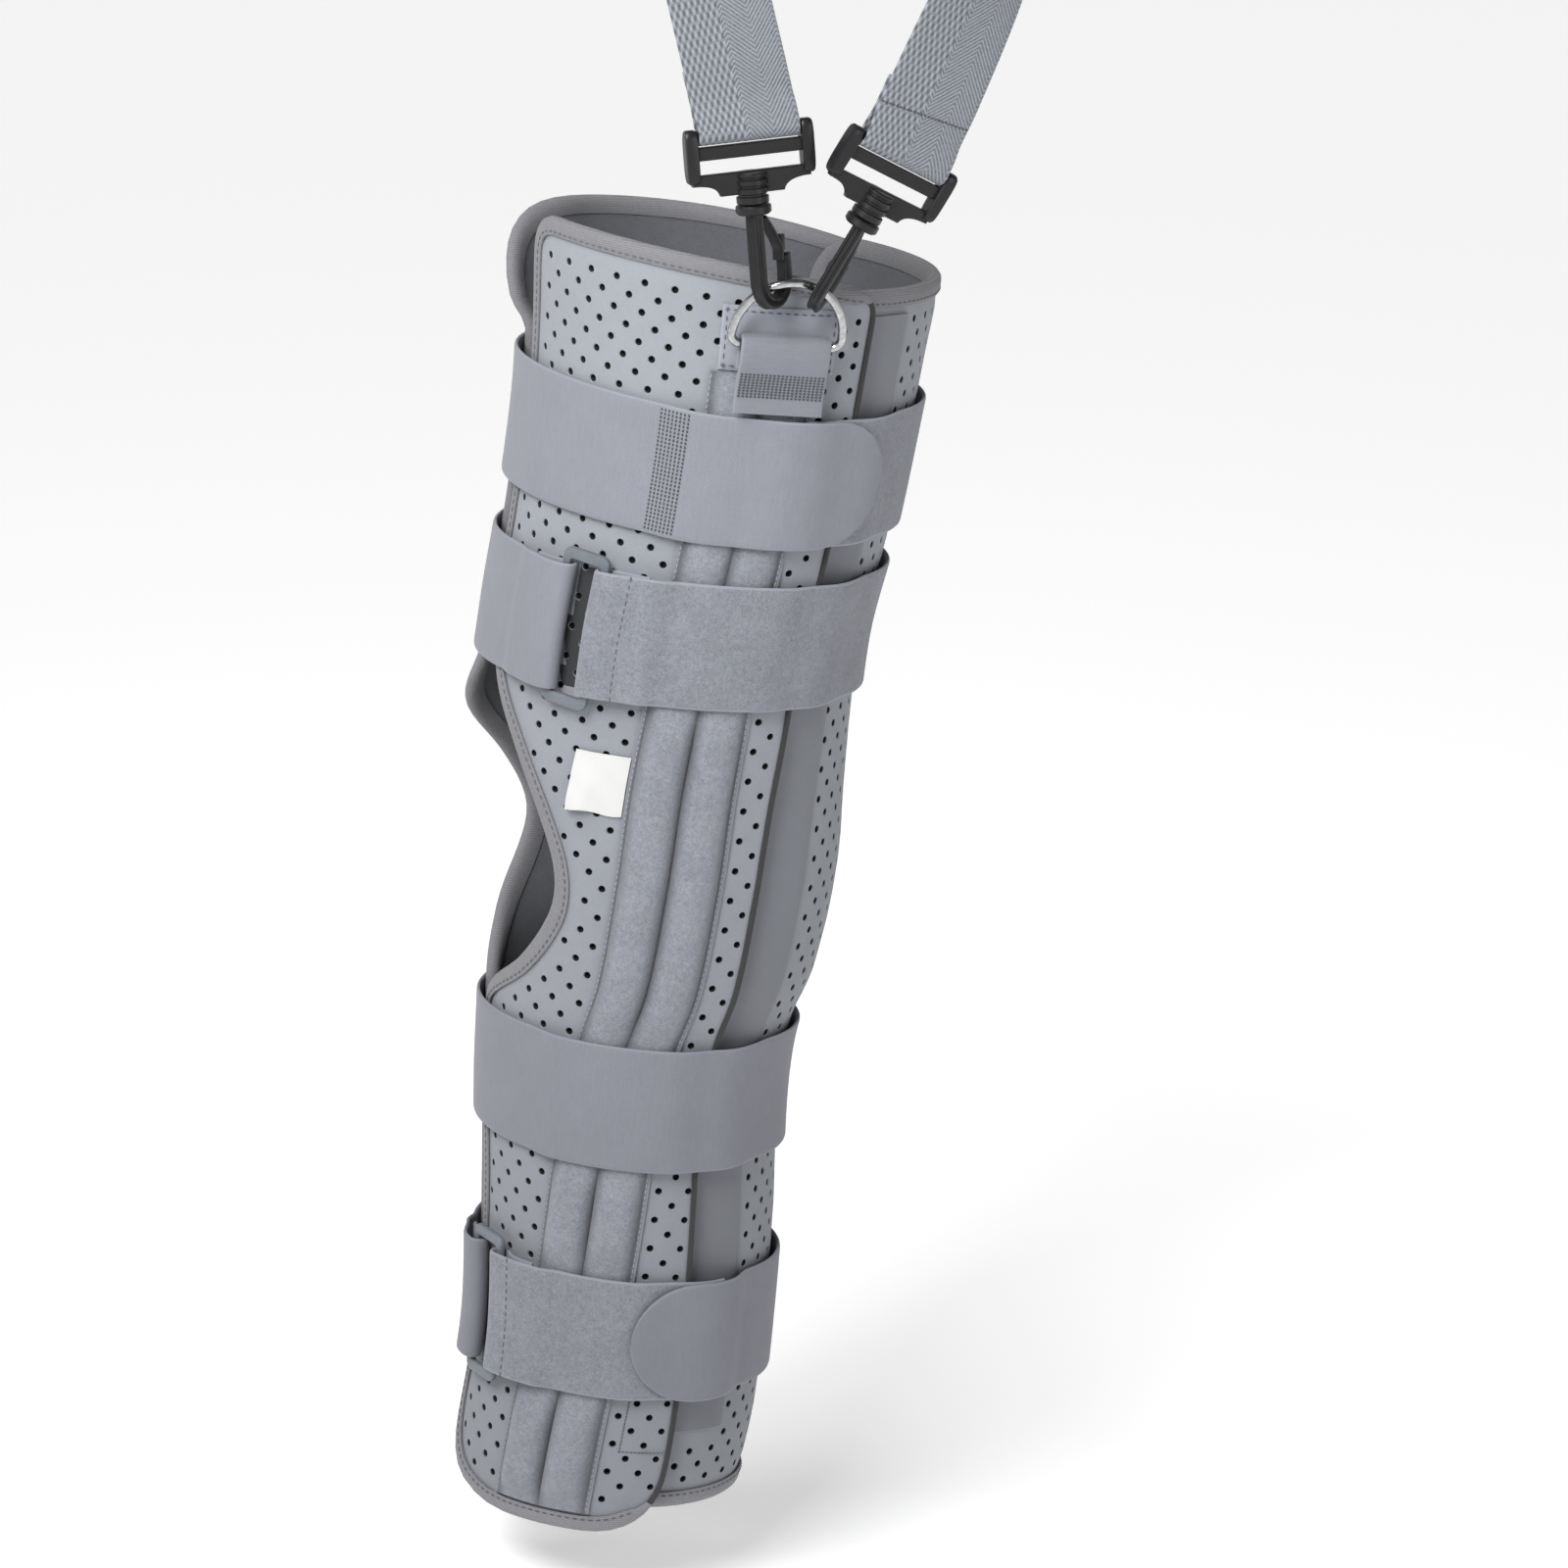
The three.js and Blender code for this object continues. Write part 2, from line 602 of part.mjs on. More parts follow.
for (const { name, sign } of SIDES) {
  const stripRange = (z) => ({
    from: sign * (rearAngle(z) - STRIP_HIDDEN / mmPerDegree(z)),
    to: sign * (rearAngle(z) + STRIP_SHOWN / mmPerDegree(z)),
  });
  const stripLevels = levelsBetween(STRIP_BOTTOM, STRIP_TOP);
  const stripInner = () => STRIP_LIFT;
  const stripOuter = () => STRIP_LIFT + STRIP_WALL;
  const strip = sheetOnLeg(stripLevels, STRIP_COLUMNS, stripRange, stripInner, stripOuter);
  addPiece(`loop_strip_${name}`, 'smooth', strip);

  const coverRange = (z) => ({
    from: sign * (stayAngle(z) - COVER_HALF / mmPerDegree(z)),
    to: sign * (stayAngle(z) + COVER_HALF / mmPerDegree(z)),
  });
  const tubeFace = (angle, z) => {
    const across = (sign * angle - stayAngle(z)) * mmPerDegree(z);
    const hump = Math.abs(Math.sin((Math.PI * across) / COVER_HALF)) ** TUBE_ROUNDNESS;
    return COVER_LIFT + COVER_HEM + tubeRise(z) * hump;
  };
  const cover = sheetOnLeg(coverLevels(), COVER_COLUMNS, coverRange, () => COVER_LIFT, tubeFace);
  addPiece(`${name}_stay_cover`, 'brushed', cover);
}

const labelRange = (z) => {
  const to = stayAngle(z) - (COVER_HALF + LABEL.gap) / mmPerDegree(z);
  return { from: to - LABEL.width / mmPerDegree(z), to };
};
const labelLevels = [LABEL.low, LABEL.bend, LABEL.high];
const labelFace = () => COVER_LIFT + LABEL.wall;
const label = sheetOnLeg(labelLevels, LABEL.columns, labelRange, () => COVER_LIFT, labelFace);
addPiece('size_label', 'label', label);

// Straps

// Lift of a strap's inner face: over the side panels, up over the stay covers, down onto the back panel.
function strapBed(angle, z) {
  const round = Math.abs(THREE.MathUtils.euclideanModulo(angle + 180, 360) - 180);
  const fromStay = Math.abs(round - stayAngle(z)) * mmPerDegree(z);
  const pastEdge = (round - rearAngle(z)) * mmPerDegree(z);
  const besideCover = smoothStep(COVER_HALF + 1, COVER_HALF + 17, fromStay);
  const overCover = (STRAP_COVER_LIFT - STRAP_SIDE_LIFT) * (1 - besideCover);
  const ontoBack = (STRAP_SIDE_LIFT - STRAP_BACK_LIFT) * smoothStep(5, 24, pastEdge);
  return STRAP_SIDE_LIFT + overCover - ontoBack;
}

// A strap follows stations of angle and lift, with its height centred on centreZ.
function strapSolid(stations, centreZ, looped = false, rise = 0) {
  const count = stations.length;
  const lineAt = (side) => {
    const points = stations.map(({ angle, lift, half = STRAP_HALF }) => {
      const z = centreZ + side * half + rise * Math.max(Math.cos(radians(angle)), 0);
      const height = lift ?? strapBed(angle, centreZ) + STRAP_WALL / 2;
      return onLeg(angle, z, height);
    });
    return points.map((point, i) => {
      const before = points[looped ? (i + count - 1) % count : Math.max(i - 1, 0)];
      const after = points[looped ? (i + 1) % count : Math.min(i + 1, count - 1)];
      const along = after.clone().sub(before).setZ(0).normalize();
      const out = new THREE.Vector3(along.y, -along.x, 0).multiplyScalar(STRAP_WALL / 2);
      return { inner: point.clone().sub(out), outer: point.clone().add(out) };
    });
  };
  const low = lineAt(-1);
  const high = lineAt(1);
  return ringsSolid(low.map((pair, i) => [pair.inner, high[i].inner, high[i].outer, pair.outer]), looped);
}

// Angles from one to another, with the ones between on the shared steps.
function anglesBetween(from, to) {
  const between = [];
  for (let angle = Math.ceil(from / STRAP_STEP + 0.4) * STRAP_STEP; angle < to - 2; angle += STRAP_STEP) {
    between.push(angle);
  }
  return [from, ...between, to];
}

// Half height of a strap near a round end, by the distance from the tip.
function roundTip(distance) {
  const inside = Math.min(distance, STRAP_HALF);
  return Math.max(TIP_BLUNT, Math.sqrt(STRAP_HALF ** 2 - (STRAP_HALF - inside) ** 2));
}

function tipStations(tipAngle, direction, centreZ, raised) {
  const scale = mmPerDegree(centreZ, STRAP_SIDE_LIFT);
  return [0.6, 3, 8, 15, STRAP_HALF].map((distance) => {
    const angle = tipAngle + (direction * distance) / scale;
    const lift = strapBed(angle, centreZ) + STRAP_WALL / 2 + raised;
    return { angle, lift, half: roundTip(distance) };
  });
}

// A strap end folded round a buckle bar, running from the fold away from the buckle in the given direction.
function foldStations(buckleAngle, direction, centreZ) {
  const scale = mmPerDegree(centreZ, BUCKLE_LIFT);
  const barAngle = buckleAngle + (direction * BAR_OFFSET) / scale;
  const barLift = BUCKLE_LIFT + (BAR_OFFSET * radians(BAR_OFFSET / scale)) / 2;
  const atDistance = (distance) => barAngle + (direction * distance) / scale;
  const bedAt = (angle) => strapBed(angle, centreZ) + STRAP_WALL / 2;
  const inner = [FOLD_RETURN, 11, 6, 0].map((distance) => {
    const angle = atDistance(distance);
    const low = barLift - FOLD_RADIUS;
    const high = Math.max(low, bedAt(angle));
    return { angle, lift: THREE.MathUtils.lerp(low, high, smoothStep(0, 6, distance)) };
  });
  const turn = [-60, -20, 20, 60].map((degrees) => ({
    angle: atDistance(-FOLD_RADIUS * Math.cos(radians(degrees))),
    lift: barLift + FOLD_RADIUS * Math.sin(radians(degrees)),
  }));
  const outer = [0, 6, 11, FOLD_RETURN + 3, FOLD_RETURN + 14].map((distance) => {
    const angle = atDistance(distance);
    const overReturn = distance < FOLD_RETURN + 5 ? STRAP_LAYER : 0;
    const ease = smoothStep(3, FOLD_RETURN + 3, distance);
    const low = bedAt(angle) + overReturn;
    return { angle, lift: Math.max(low, THREE.MathUtils.lerp(barLift + FOLD_RADIUS, low, ease)) };
  });
  return [...inner, ...turn, ...outer];
}

const bedStations = (from, to) => anglesBetween(from, to).map((angle) => ({ angle }));

function ascending(stations) {
  return stations[0].angle < stations[stations.length - 1].angle ? stations : [...stations].reverse();
}

// Upper thigh: a smooth front strap whose round ends lie over a brushed strap behind the leg.
const UPPER_TIP = 140;
const UPPER_LAP = 113;
const MEDIAL_TIP = -152;
const MEDIAL_LAP = -112;
{
  const z = THIGH_UPPER_Z;
  const lateralTip = ascending(tipStations(UPPER_TIP, -1, z, STRAP_LAYER));
  const medialTip = ascending(tipStations(MEDIAL_TIP, 1, z, STRAP_LAYER));
  const fromAngle = medialTip[medialTip.length - 1].angle + 4;
  const toAngle = lateralTip[0].angle - 4;
  const middle = anglesBetween(fromAngle, toAngle).map((angle) => {
    const lateral = smoothStep(UPPER_LAP - 16, UPPER_LAP - 3, angle);
    const medial = 1 - smoothStep(MEDIAL_LAP + 3, MEDIAL_LAP + 16, angle);
    const raised = STRAP_LAYER * Math.max(lateral, medial);
    return { angle, lift: strapBed(angle, z) + STRAP_WALL / 2 + raised };
  });
  const front = [...medialTip, ...middle, ...lateralTip];
  const behind = bedStations(UPPER_LAP, 360 + MEDIAL_LAP);
  addPiece('thigh_strap_upper', 'smooth', strapSolid(front, z, false, THIGH_UPPER_RISE));
  addPiece('thigh_strap_upper_loop', 'brushed', strapSolid(behind, z, false, THIGH_UPPER_RISE));
}

// Lower thigh: a smooth strap and a brushed strap, folded round the two bars of a slide buckle.
{
  const z = THIGH_LOWER_Z;
  const frontFold = foldStations(THIGH_BUCKLE_ANGLE, -1, z);
  const medialTip = ascending(tipStations(MEDIAL_TIP, 1, z, STRAP_LAYER));
  const fromAngle = medialTip[medialTip.length - 1].angle + 4;
  const toAngle = frontFold[frontFold.length - 1].angle - 4;
  const climb = anglesBetween(fromAngle, toAngle).map((angle) => {
    const raised = STRAP_LAYER * (1 - smoothStep(MEDIAL_LAP + 3, MEDIAL_LAP + 16, angle));
    return { angle, lift: strapBed(angle, z) + STRAP_WALL / 2 + raised };
  });
  const front = [...medialTip, ...climb, ...[...frontFold].reverse()];
  addPiece('thigh_strap_lower', 'smooth', strapSolid(front, z));
  const rearFold = foldStations(THIGH_BUCKLE_ANGLE, 1, z);
  const rest = bedStations(rearFold[rearFold.length - 1].angle + 5, 360 + MEDIAL_LAP);
  addPiece('thigh_strap_lower_loop', 'brushed', strapSolid([...rearFold, ...rest], z));
}

// Upper calf: one plain strap all the way round.
{
  const stations = anglesBetween(0, 360).slice(0, -1).map((angle) => ({ angle }));
  addPiece('calf_strap_upper', 'smooth', strapSolid(stations, CALF_UPPER_Z, true));
}

// Lower calf: the smooth strap runs from the buckle round the inner side and the back to a round end,
// which lies over the brushed strap that comes from the buckle's other bar.
const CALF_TIP = 93;
const CALF_BRUSHED_END = 128;
{
  const z = CALF_LOWER_Z;
  const frontFold = foldStations(CALF_BUCKLE_ANGLE, -1, z);
  const tip = ascending(tipStations(CALF_TIP, 1, z, STRAP_LAYER));
  const fromAngle = tip[tip.length - 1].angle + 4;
  const toAngle = 360 + frontFold[frontFold.length - 1].angle - 4;
  const round = anglesBetween(fromAngle, toAngle).map((angle) => {
    const raised = STRAP_LAYER * (1 - smoothStep(CALF_BRUSHED_END + 3, CALF_BRUSHED_END + 16, angle));
    return { angle, lift: strapBed(angle, z) + STRAP_WALL / 2 + raised };
  });
  const fold = [...frontFold].reverse().map((station) => ({ ...station, angle: station.angle + 360 }));
  addPiece('calf_strap_lower', 'smooth', strapSolid([...tip, ...round, ...fold], z));
  const rearFold = foldStations(CALF_BUCKLE_ANGLE, 1, z);
  const rest = bedStations(rearFold[rearFold.length - 1].angle + 5, CALF_BRUSHED_END);
  addPiece('calf_strap_lower_loop', 'brushed', strapSolid([...rearFold, ...rest], z));
}

// Slide buckles

function roundedRectangle(Outline, halfWidth, halfHeight, radius) {
  const outline = new Outline();
  outline.moveTo(halfWidth, -halfHeight + radius);
  outline.absarc(halfWidth - radius, halfHeight - radius, radius, 0, Math.PI / 2);
  outline.absarc(-halfWidth + radius, halfHeight - radius, radius, Math.PI / 2, Math.PI);
  outline.absarc(-halfWidth + radius, -halfHeight + radius, radius, Math.PI, 1.5 * Math.PI);
  outline.absarc(halfWidth - radius, -halfHeight + radius, radius, 1.5 * Math.PI, 2 * Math.PI);
  return outline;
}

function addBuckle(name, angle, centreZ) {
  const outline = roundedRectangle(THREE.Shape, BUCKLE_WIDTH / 2, BUCKLE_HEIGHT / 2, 3.5);
  const inside = BUCKLE_WIDTH / 2 - BUCKLE_BAR;
  outline.holes.push(roundedRectangle(THREE.Path, inside, BUCKLE_HEIGHT / 2 - BUCKLE_RAIL, 1.5));
  const settings = { depth: BUCKLE_WALL, bevelEnabled: false, curveSegments: 2 };
  const geometry = new THREE.ExtrudeGeometry(outline, settings).translate(0, 0, -BUCKLE_WALL / 2);
  const low = onLeg(angle, centreZ - STRAP_HALF, BUCKLE_LIFT);
  const high = onLeg(angle, centreZ + STRAP_HALF, BUCKLE_LIFT);
  const upward = high.clone().sub(low).normalize();
  const across = new THREE.Vector3().crossVectors(upward, legNormal(angle, centreZ)).normalize();
  const out = new THREE.Vector3().crossVectors(across, upward);
  const place = new THREE.Matrix4().makeBasis(across, upward, out);
  place.setPosition(low.lerp(high, 0.5));
  addPiece(name, 'plastic', geometry.applyMatrix4(place));
}

addBuckle('thigh_buckle', THIGH_BUCKLE_ANGLE, THIGH_LOWER_Z);
addBuckle('calf_buckle', CALF_BUCKLE_ANGLE, CALF_LOWER_Z);

// Ring, tab and patch

const patchRange = () => ({ from: PATCH.from, to: PATCH.to });
const patchFace = () => COVER_LIFT + PATCH.wall;
const patch = sheetOnLeg([PATCH.low, PATCH.high], PATCH.columns, patchRange, () => COVER_LIFT, patchFace);
addPiece('ring_patch', 'smooth', patch);

const ringOut = legNormal(RING_ANGLE, RING_Z);
const ringAlong = new THREE.Vector3().crossVectors(ringOut, UP).negate();
const ringRise = UP.clone().multiplyScalar(Math.cos(radians(RING_LEAN)));
ringRise.addScaledVector(ringOut, Math.sin(radians(RING_LEAN)));
const ringBase = onLeg(RING_ANGLE, RING_Z, RING_LIFT);

function onRing(along, rise) {
  return ringBase.clone().addScaledVector(ringAlong, along).addScaledVector(ringRise, rise);
}

// Height of the ring's arch above its bar, a given distance along the bar.
function archRise(along) {
  return RING_CORNER + (RING_HEIGHT - RING_CORNER) * Math.sqrt(1 - (along / RING_HALF) ** 2);
}

function addRing() {
  const path = new THREE.Path();
  const flat = RING_HALF - RING_CORNER;
  path.moveTo(-flat, 0);
  path.lineTo(0, 0);
  path.lineTo(flat, 0);
  path.absarc(flat, RING_CORNER, RING_CORNER, -Math.PI / 2, 0);
  const arch = new THREE.EllipseCurve(0, RING_CORNER, RING_HALF, RING_HEIGHT - RING_CORNER, 0, Math.PI);
  const corner = new THREE.EllipseCurve(-flat, RING_CORNER, RING_CORNER, RING_CORNER, Math.PI, 1.5 * Math.PI);
  const archPoints = arch.getPoints(RING_STEPS).slice(1);
  const line = [...path.getPoints(2), ...archPoints, ...corner.getPoints(4).slice(1, -1)];
  const face = new THREE.Vector3().crossVectors(ringAlong, ringRise);
  const rings = line.map((point, i) => {
    const before = line[(i + line.length - 1) % line.length];
    const after = line[(i + 1) % line.length];
    const along = after.clone().sub(before).normalize();
    const sideways = ringAlong.clone().multiplyScalar(along.y).addScaledVector(ringRise, -along.x);
    return Array.from({ length: WIRE_SIDES }, (_, k) => {
      const turn = (k / WIRE_SIDES) * 2 * Math.PI;
      const centre = onRing(point.x, point.y).addScaledVector(sideways, RING_WIRE * Math.cos(turn));
      return centre.addScaledVector(face, RING_WIRE * Math.sin(turn));
    });
  });
  addPiece('d_ring', 'steel', ringsSolid(rings, true));
}

// The tab is a short strap folded down over the ring's bar.
function addTab() {
  const backLift = RING_LIFT - TAB_FOLD;
  const line = [[TAB_BACK_LOW, backLift], [RING_Z - 4, backLift]];
  for (const degrees of [180, 144, 108, 72, 36, 0]) {
    const turn = radians(degrees);
    line.push([RING_Z + TAB_FOLD * Math.sin(turn), RING_LIFT + TAB_FOLD * Math.cos(turn)]);
  }
  line.push([RING_Z - 5, RING_LIFT + TAB_FOLD - 0.3], [RING_Z - 13, TAB_LOW_LIFT + 1.6]);
  line.push([TAB_LOW + 8, TAB_LOW_LIFT], [TAB_LOW, TAB_LOW_LIFT]);
  const rings = line.map(([z, lift], i) => {
    const [zBefore, liftBefore] = line[Math.max(i - 1, 0)];
    const [zAfter, liftAfter] = line[Math.min(i + 1, line.length - 1)];
    const along = new THREE.Vector2(zAfter - zBefore, liftAfter - liftBefore).normalize();
    const corner = (side, face) => {
      const lifted = lift + (along.x * face * TAB_WALL) / 2 - RING_LIFT;
      const raised = z - (along.y * face * TAB_WALL) / 2 - RING_Z;
      const base = ringBase.clone().addScaledVector(ringAlong, side * TAB_HALF);
      return base.addScaledVector(ringOut, lifted).addScaledVector(UP, raised);
    };
    return [corner(-1, -1), corner(1, -1), corner(1, 1), corner(-1, 1)];
  });
  addPiece('ring_tab', 'smooth', ringsSolid(rings));
}

addRing();
addTab();

// Snap hooks: x points across the eye, y across the thickness, z up the swivel

function octagon(halfA, halfB) {
  const cut = 0.45;
  return [[1, cut], [cut, 1], [-cut, 1], [-1, cut], [-1, -cut], [-cut, -1], [cut, -1], [1, -cut]].map(
    ([a, b]) => [a * halfA, b * halfB],
  );
}

function turned(profile, segments = 10) {
  const points = profile.map(([radius, height]) => new THREE.Vector2(radius, height));
  return new THREE.LatheGeometry(points, segments).rotateX(Math.PI / 2);
}

function hookGeometry() {
  const bend = EYE_WIDTH / 2;
  const stations = [
    { x: 0, z: FLANGE_LOW + 1, half: SHANK_HALF, tilt: -90 },
    { x: 0, z: bend + 1, half: SHANK_HALF, tilt: -90 },
  ];
  for (const degrees of [180, 210, 240, 270, 300, 330, 360]) {
    const turn = radians(degrees);
    const share = (degrees - 180) / 180;
    const half = THREE.MathUtils.lerp(SHANK_HALF, TIP_WIDTH / 2, Math.min(1, 2 * share));
    const radius = bend + half;
    const x = EYE_CENTRE + radius * Math.cos(turn);
    stations.push({ x, z: bend + radius * Math.sin(turn), half, tilt: degrees + 90 });
  }
  const tipX = EYE_CENTRE + bend + TIP_WIDTH / 2;
  stations.push({ x: tipX, z: TIP_TOP - 2, half: TIP_WIDTH / 2, tilt: 90 });
  stations.push({ x: tipX + 0.6, z: TIP_TOP, half: TIP_WIDTH / 2 - 1.2, tilt: 90 });
  const rings = stations.map(({ x, z, half, tilt }) => {
    const across = new THREE.Vector3(Math.sin(radians(tilt)), 0, -Math.cos(radians(tilt)));
    const section = octagon(half, HOOK_THICK / 2);
    return section.map(([a, b]) => new THREE.Vector3(x, b, z).addScaledVector(across, a));
  });
  const stem = turned([
    [0, FLANGE_LOW],
    [FLANGE_RADIUS - 1, FLANGE_LOW],
    [FLANGE_RADIUS, FLANGE_LOW + 1],
    [FLANGE_RADIUS, FLANGE_HIGH],
    [POST_RADIUS, FLANGE_HIGH],
    [POST_RADIUS, SOCKET_LOW + 4],
    [BULB_RADIUS, SOCKET_LOW + 5.2],
    [BULB_RADIUS - 0.8, SOCKET_LOW + 8],
    [0, SOCKET_LOW + 8],
  ]);
  return geometryOf(solidOf(ringsSolid(rings)).add(solidOf(stem)));
}

function gateGeometry() {
  const endX = SHANK_HALF + EYE_WIDTH - GATE_WALL / 2 - 0.5;
  const line = [
    [GATE_HINGE.out, GATE_HINGE.up + 1],
    [GATE_HINGE.out + 3.6, GATE_HINGE.up - 2.8],
    [GATE_HINGE.out + 7.4, GATE_HINGE.up - 7.6],
    [endX, GATE_HINGE.up - 12.4],
    [endX, GATE_END_UP],
  ];
  const rings = line.map(([x, z], i) => {
    const before = line[Math.max(i - 1, 0)];
    const after = line[Math.min(i + 1, line.length - 1)];
    const along = new THREE.Vector2(after[0] - before[0], after[1] - before[1]).normalize();
    const corner = (face, side) => {
      const out = (face * GATE_WALL) / 2;
      return new THREE.Vector3(x + along.y * out, side * GATE_HALF, z - along.x * out);
    };
    return [corner(-1, -1), corner(1, -1), corner(1, 1), corner(-1, 1)];
  });
  const { depth, width, height, up } = GATE_THUMB;
  const thumb = new THREE.BoxGeometry(depth, width, height);
  thumb.translate(endX + (depth + 1 - GATE_WALL) / 2, 0, TIP_TOP + up);
  return geometryOf(solidOf(ringsSolid(rings)).add(solidOf(thumb)));
}

function frameGeometry() {
  const plate = new THREE.Shape();
  plate.moveTo(-FRAME_HALF, FRAME_TOP);
  plate.lineTo(-FRAME_HALF, FRAME_SHOULDER);
  plate.quadraticCurveTo(-FRAME_NECK_HALF - 1, FRAME_SHOULDER, -FRAME_NECK_HALF, FRAME_NECK_LOW);
  plate.lineTo(FRAME_NECK_HALF, FRAME_NECK_LOW);
  plate.quadraticCurveTo(FRAME_NECK_HALF + 1, FRAME_SHOULDER, FRAME_HALF, FRAME_SHOULDER);
  plate.lineTo(FRAME_HALF, FRAME_TOP);
  const slot = (low, high) => {
    const half = FRAME_HALF - EAR_WIDTH;
    const hole = new THREE.Path();
    hole.moveTo(-half, low);
    hole.lineTo(half, low);
    hole.lineTo(half, high);
    hole.lineTo(-half, high);
    return hole;
  };
  plate.holes.push(slot(0, LOWER_SLOT));
  plate.holes.push(slot(LOWER_SLOT + MIDDLE_BAR, LOWER_SLOT + MIDDLE_BAR + UPPER_SLOT));
  const plateSettings = { depth: FRAME_THICK, bevelEnabled: false, curveSegments: 3 };
  const flat = new THREE.ExtrudeGeometry(plate, plateSettings);
  flat.translate(0, 0, -FRAME_THICK / 2).rotateX(Math.PI / 2);
  let solid = solidOf(flat);
  const earSettings = { depth: EAR_WIDTH + 0.4, bevelEnabled: false, curveSegments: 2 };
  for (const side of [-1, 1]) {
    const earHeight = FRAME_TOP + 0.6 - EAR_LOW;
    const outline = roundedRectangle(THREE.Shape, EAR_THICK / 2, earHeight / 2, 3);
    const ear = new THREE.ExtrudeGeometry(outline, earSettings);
    ear.translate(0, 0, -EAR_WIDTH / 2 - 0.2).rotateX(Math.PI / 2).rotateZ(Math.PI / 2);
    ear.translate(side * (FRAME_HALF - EAR_WIDTH / 2 + 0.2), 0, (FRAME_TOP + 0.6 + EAR_LOW) / 2);
    solid = solid.add(solidOf(ear));
  }
  const low = SOCKET_LOW - FRAME_Z;
  const ribbed = [[0, -0.6], [SOCKET_RADIUS, -0.6]];
  for (let rib = 0; rib < SOCKET_RIBS.count; rib += 1) {
    const top = SOCKET_RIBS.top - rib * SOCKET_RIBS.pitch;
    const groove = [SOCKET_RADIUS - SOCKET_RIBS.depth, top - SOCKET_RIBS.half];
    ribbed.push([SOCKET_RADIUS, top], groove, [SOCKET_RADIUS, top - 2 * SOCKET_RIBS.half]);
  }
  ribbed.push([SOCKET_RADIUS, low], [0, low]);
  const cavity = turned([
    [0, low - 1],
    [POST_RADIUS + POST_PLAY, low - 1],
    [POST_RADIUS + POST_PLAY, low + 4],
    [BULB_RADIUS + POST_PLAY, low + 5.2 - POST_PLAY],
    [BULB_RADIUS + POST_PLAY, low + 8 + POST_PLAY],
    [0, low + 8 + POST_PLAY],
  ]);
  solid = solid.add(solidOf(turned(ribbed.reverse()))).subtract(solidOf(cavity));
  return geometryOf(solid);
}

const BACKWARD = new THREE.Vector3(0, 1, 0);

function turnedAxes(lean, turn) {
  const upward = new THREE.Vector3(Math.sin(radians(lean)), 0, Math.cos(radians(lean)));
  const level = new THREE.Vector3(upward.z, 0, -upward.x);
  const across = level.multiplyScalar(Math.cos(radians(turn)));
  across.addScaledVector(BACKWARD, Math.sin(radians(turn)));
  const through = new THREE.Vector3().crossVectors(upward, across);
  return { upward, across, through };
}

const webbingEnds = {};
for (const { name, along, wireUp, lean, legLean, hookTurn, frameTurn, twist } of HOOKS) {
  const hookAxes = turnedAxes(lean, hookTurn);
  const base = onRing(along, archRise(along)).addScaledVector(hookAxes.across, -EYE_CENTRE);
  base.addScaledVector(hookAxes.upward, -wireUp);
  const hookPlace = new THREE.Matrix4().makeBasis(hookAxes.across, hookAxes.through, hookAxes.upward);
  hookPlace.setPosition(base);
  addPiece(`${name}_hook`, 'black', hookGeometry().applyMatrix4(hookPlace));
  addPiece(`${name}_gate`, 'black', gateGeometry().applyMatrix4(hookPlace));
  const frameAxes = turnedAxes(lean, frameTurn);
  const frameBase = base.clone().addScaledVector(frameAxes.upward, FRAME_Z);
  const framePlace = new THREE.Matrix4().makeBasis(frameAxes.across, frameAxes.through, frameAxes.upward);
  framePlace.setPosition(frameBase);
  addPiece(`${name}_hook_frame`, 'black', frameGeometry().applyMatrix4(framePlace));
  const bar = frameBase.addScaledVector(frameAxes.upward, FRAME_TOP - TOP_BAR / 2);
  webbingEnds[name] = { bar, twist, legLean, skew: Math.tan(radians(legLean - lean)), ...frameAxes };
}

// Shoulder strap

// Stations of one folded end: its short return layer, the turn round the frame's top bar, the visible face.
function webbingFold({ bar, skew, across, upward, through }) {
  const outward = through.y < 0 ? through : through.clone().negate();
  const radius = Math.hypot(TOP_BAR, FRAME_THICK) / 2 + 0.35 + WEBBING_WALL / 2;
  const at = (out, up) => {
    const centre = bar.clone().addScaledVector(outward, out).addScaledVector(upward, up);
    return { centre: centre.addScaledVector(across, skew * Math.max(up - 3, 0)), width: across };
  };
  const turn = [150, 180, 210, 240, 270, 300, 330, 360, 390].map((degrees) =>
    at(radius * Math.cos(radians(degrees)), radius * Math.sin(radians(degrees))),
  );
  const back = [WEBBING_RETURN, 12, 6].map((up) => at(up > 10 ? -WEBBING_SPLAY : -2.2, up));
  const face = [6, 12, WEBBING_RETURN].map((up) => at(up > 10 ? WEBBING_SPLAY : 2.2, up));
  return [...back, ...turn, ...face];
}

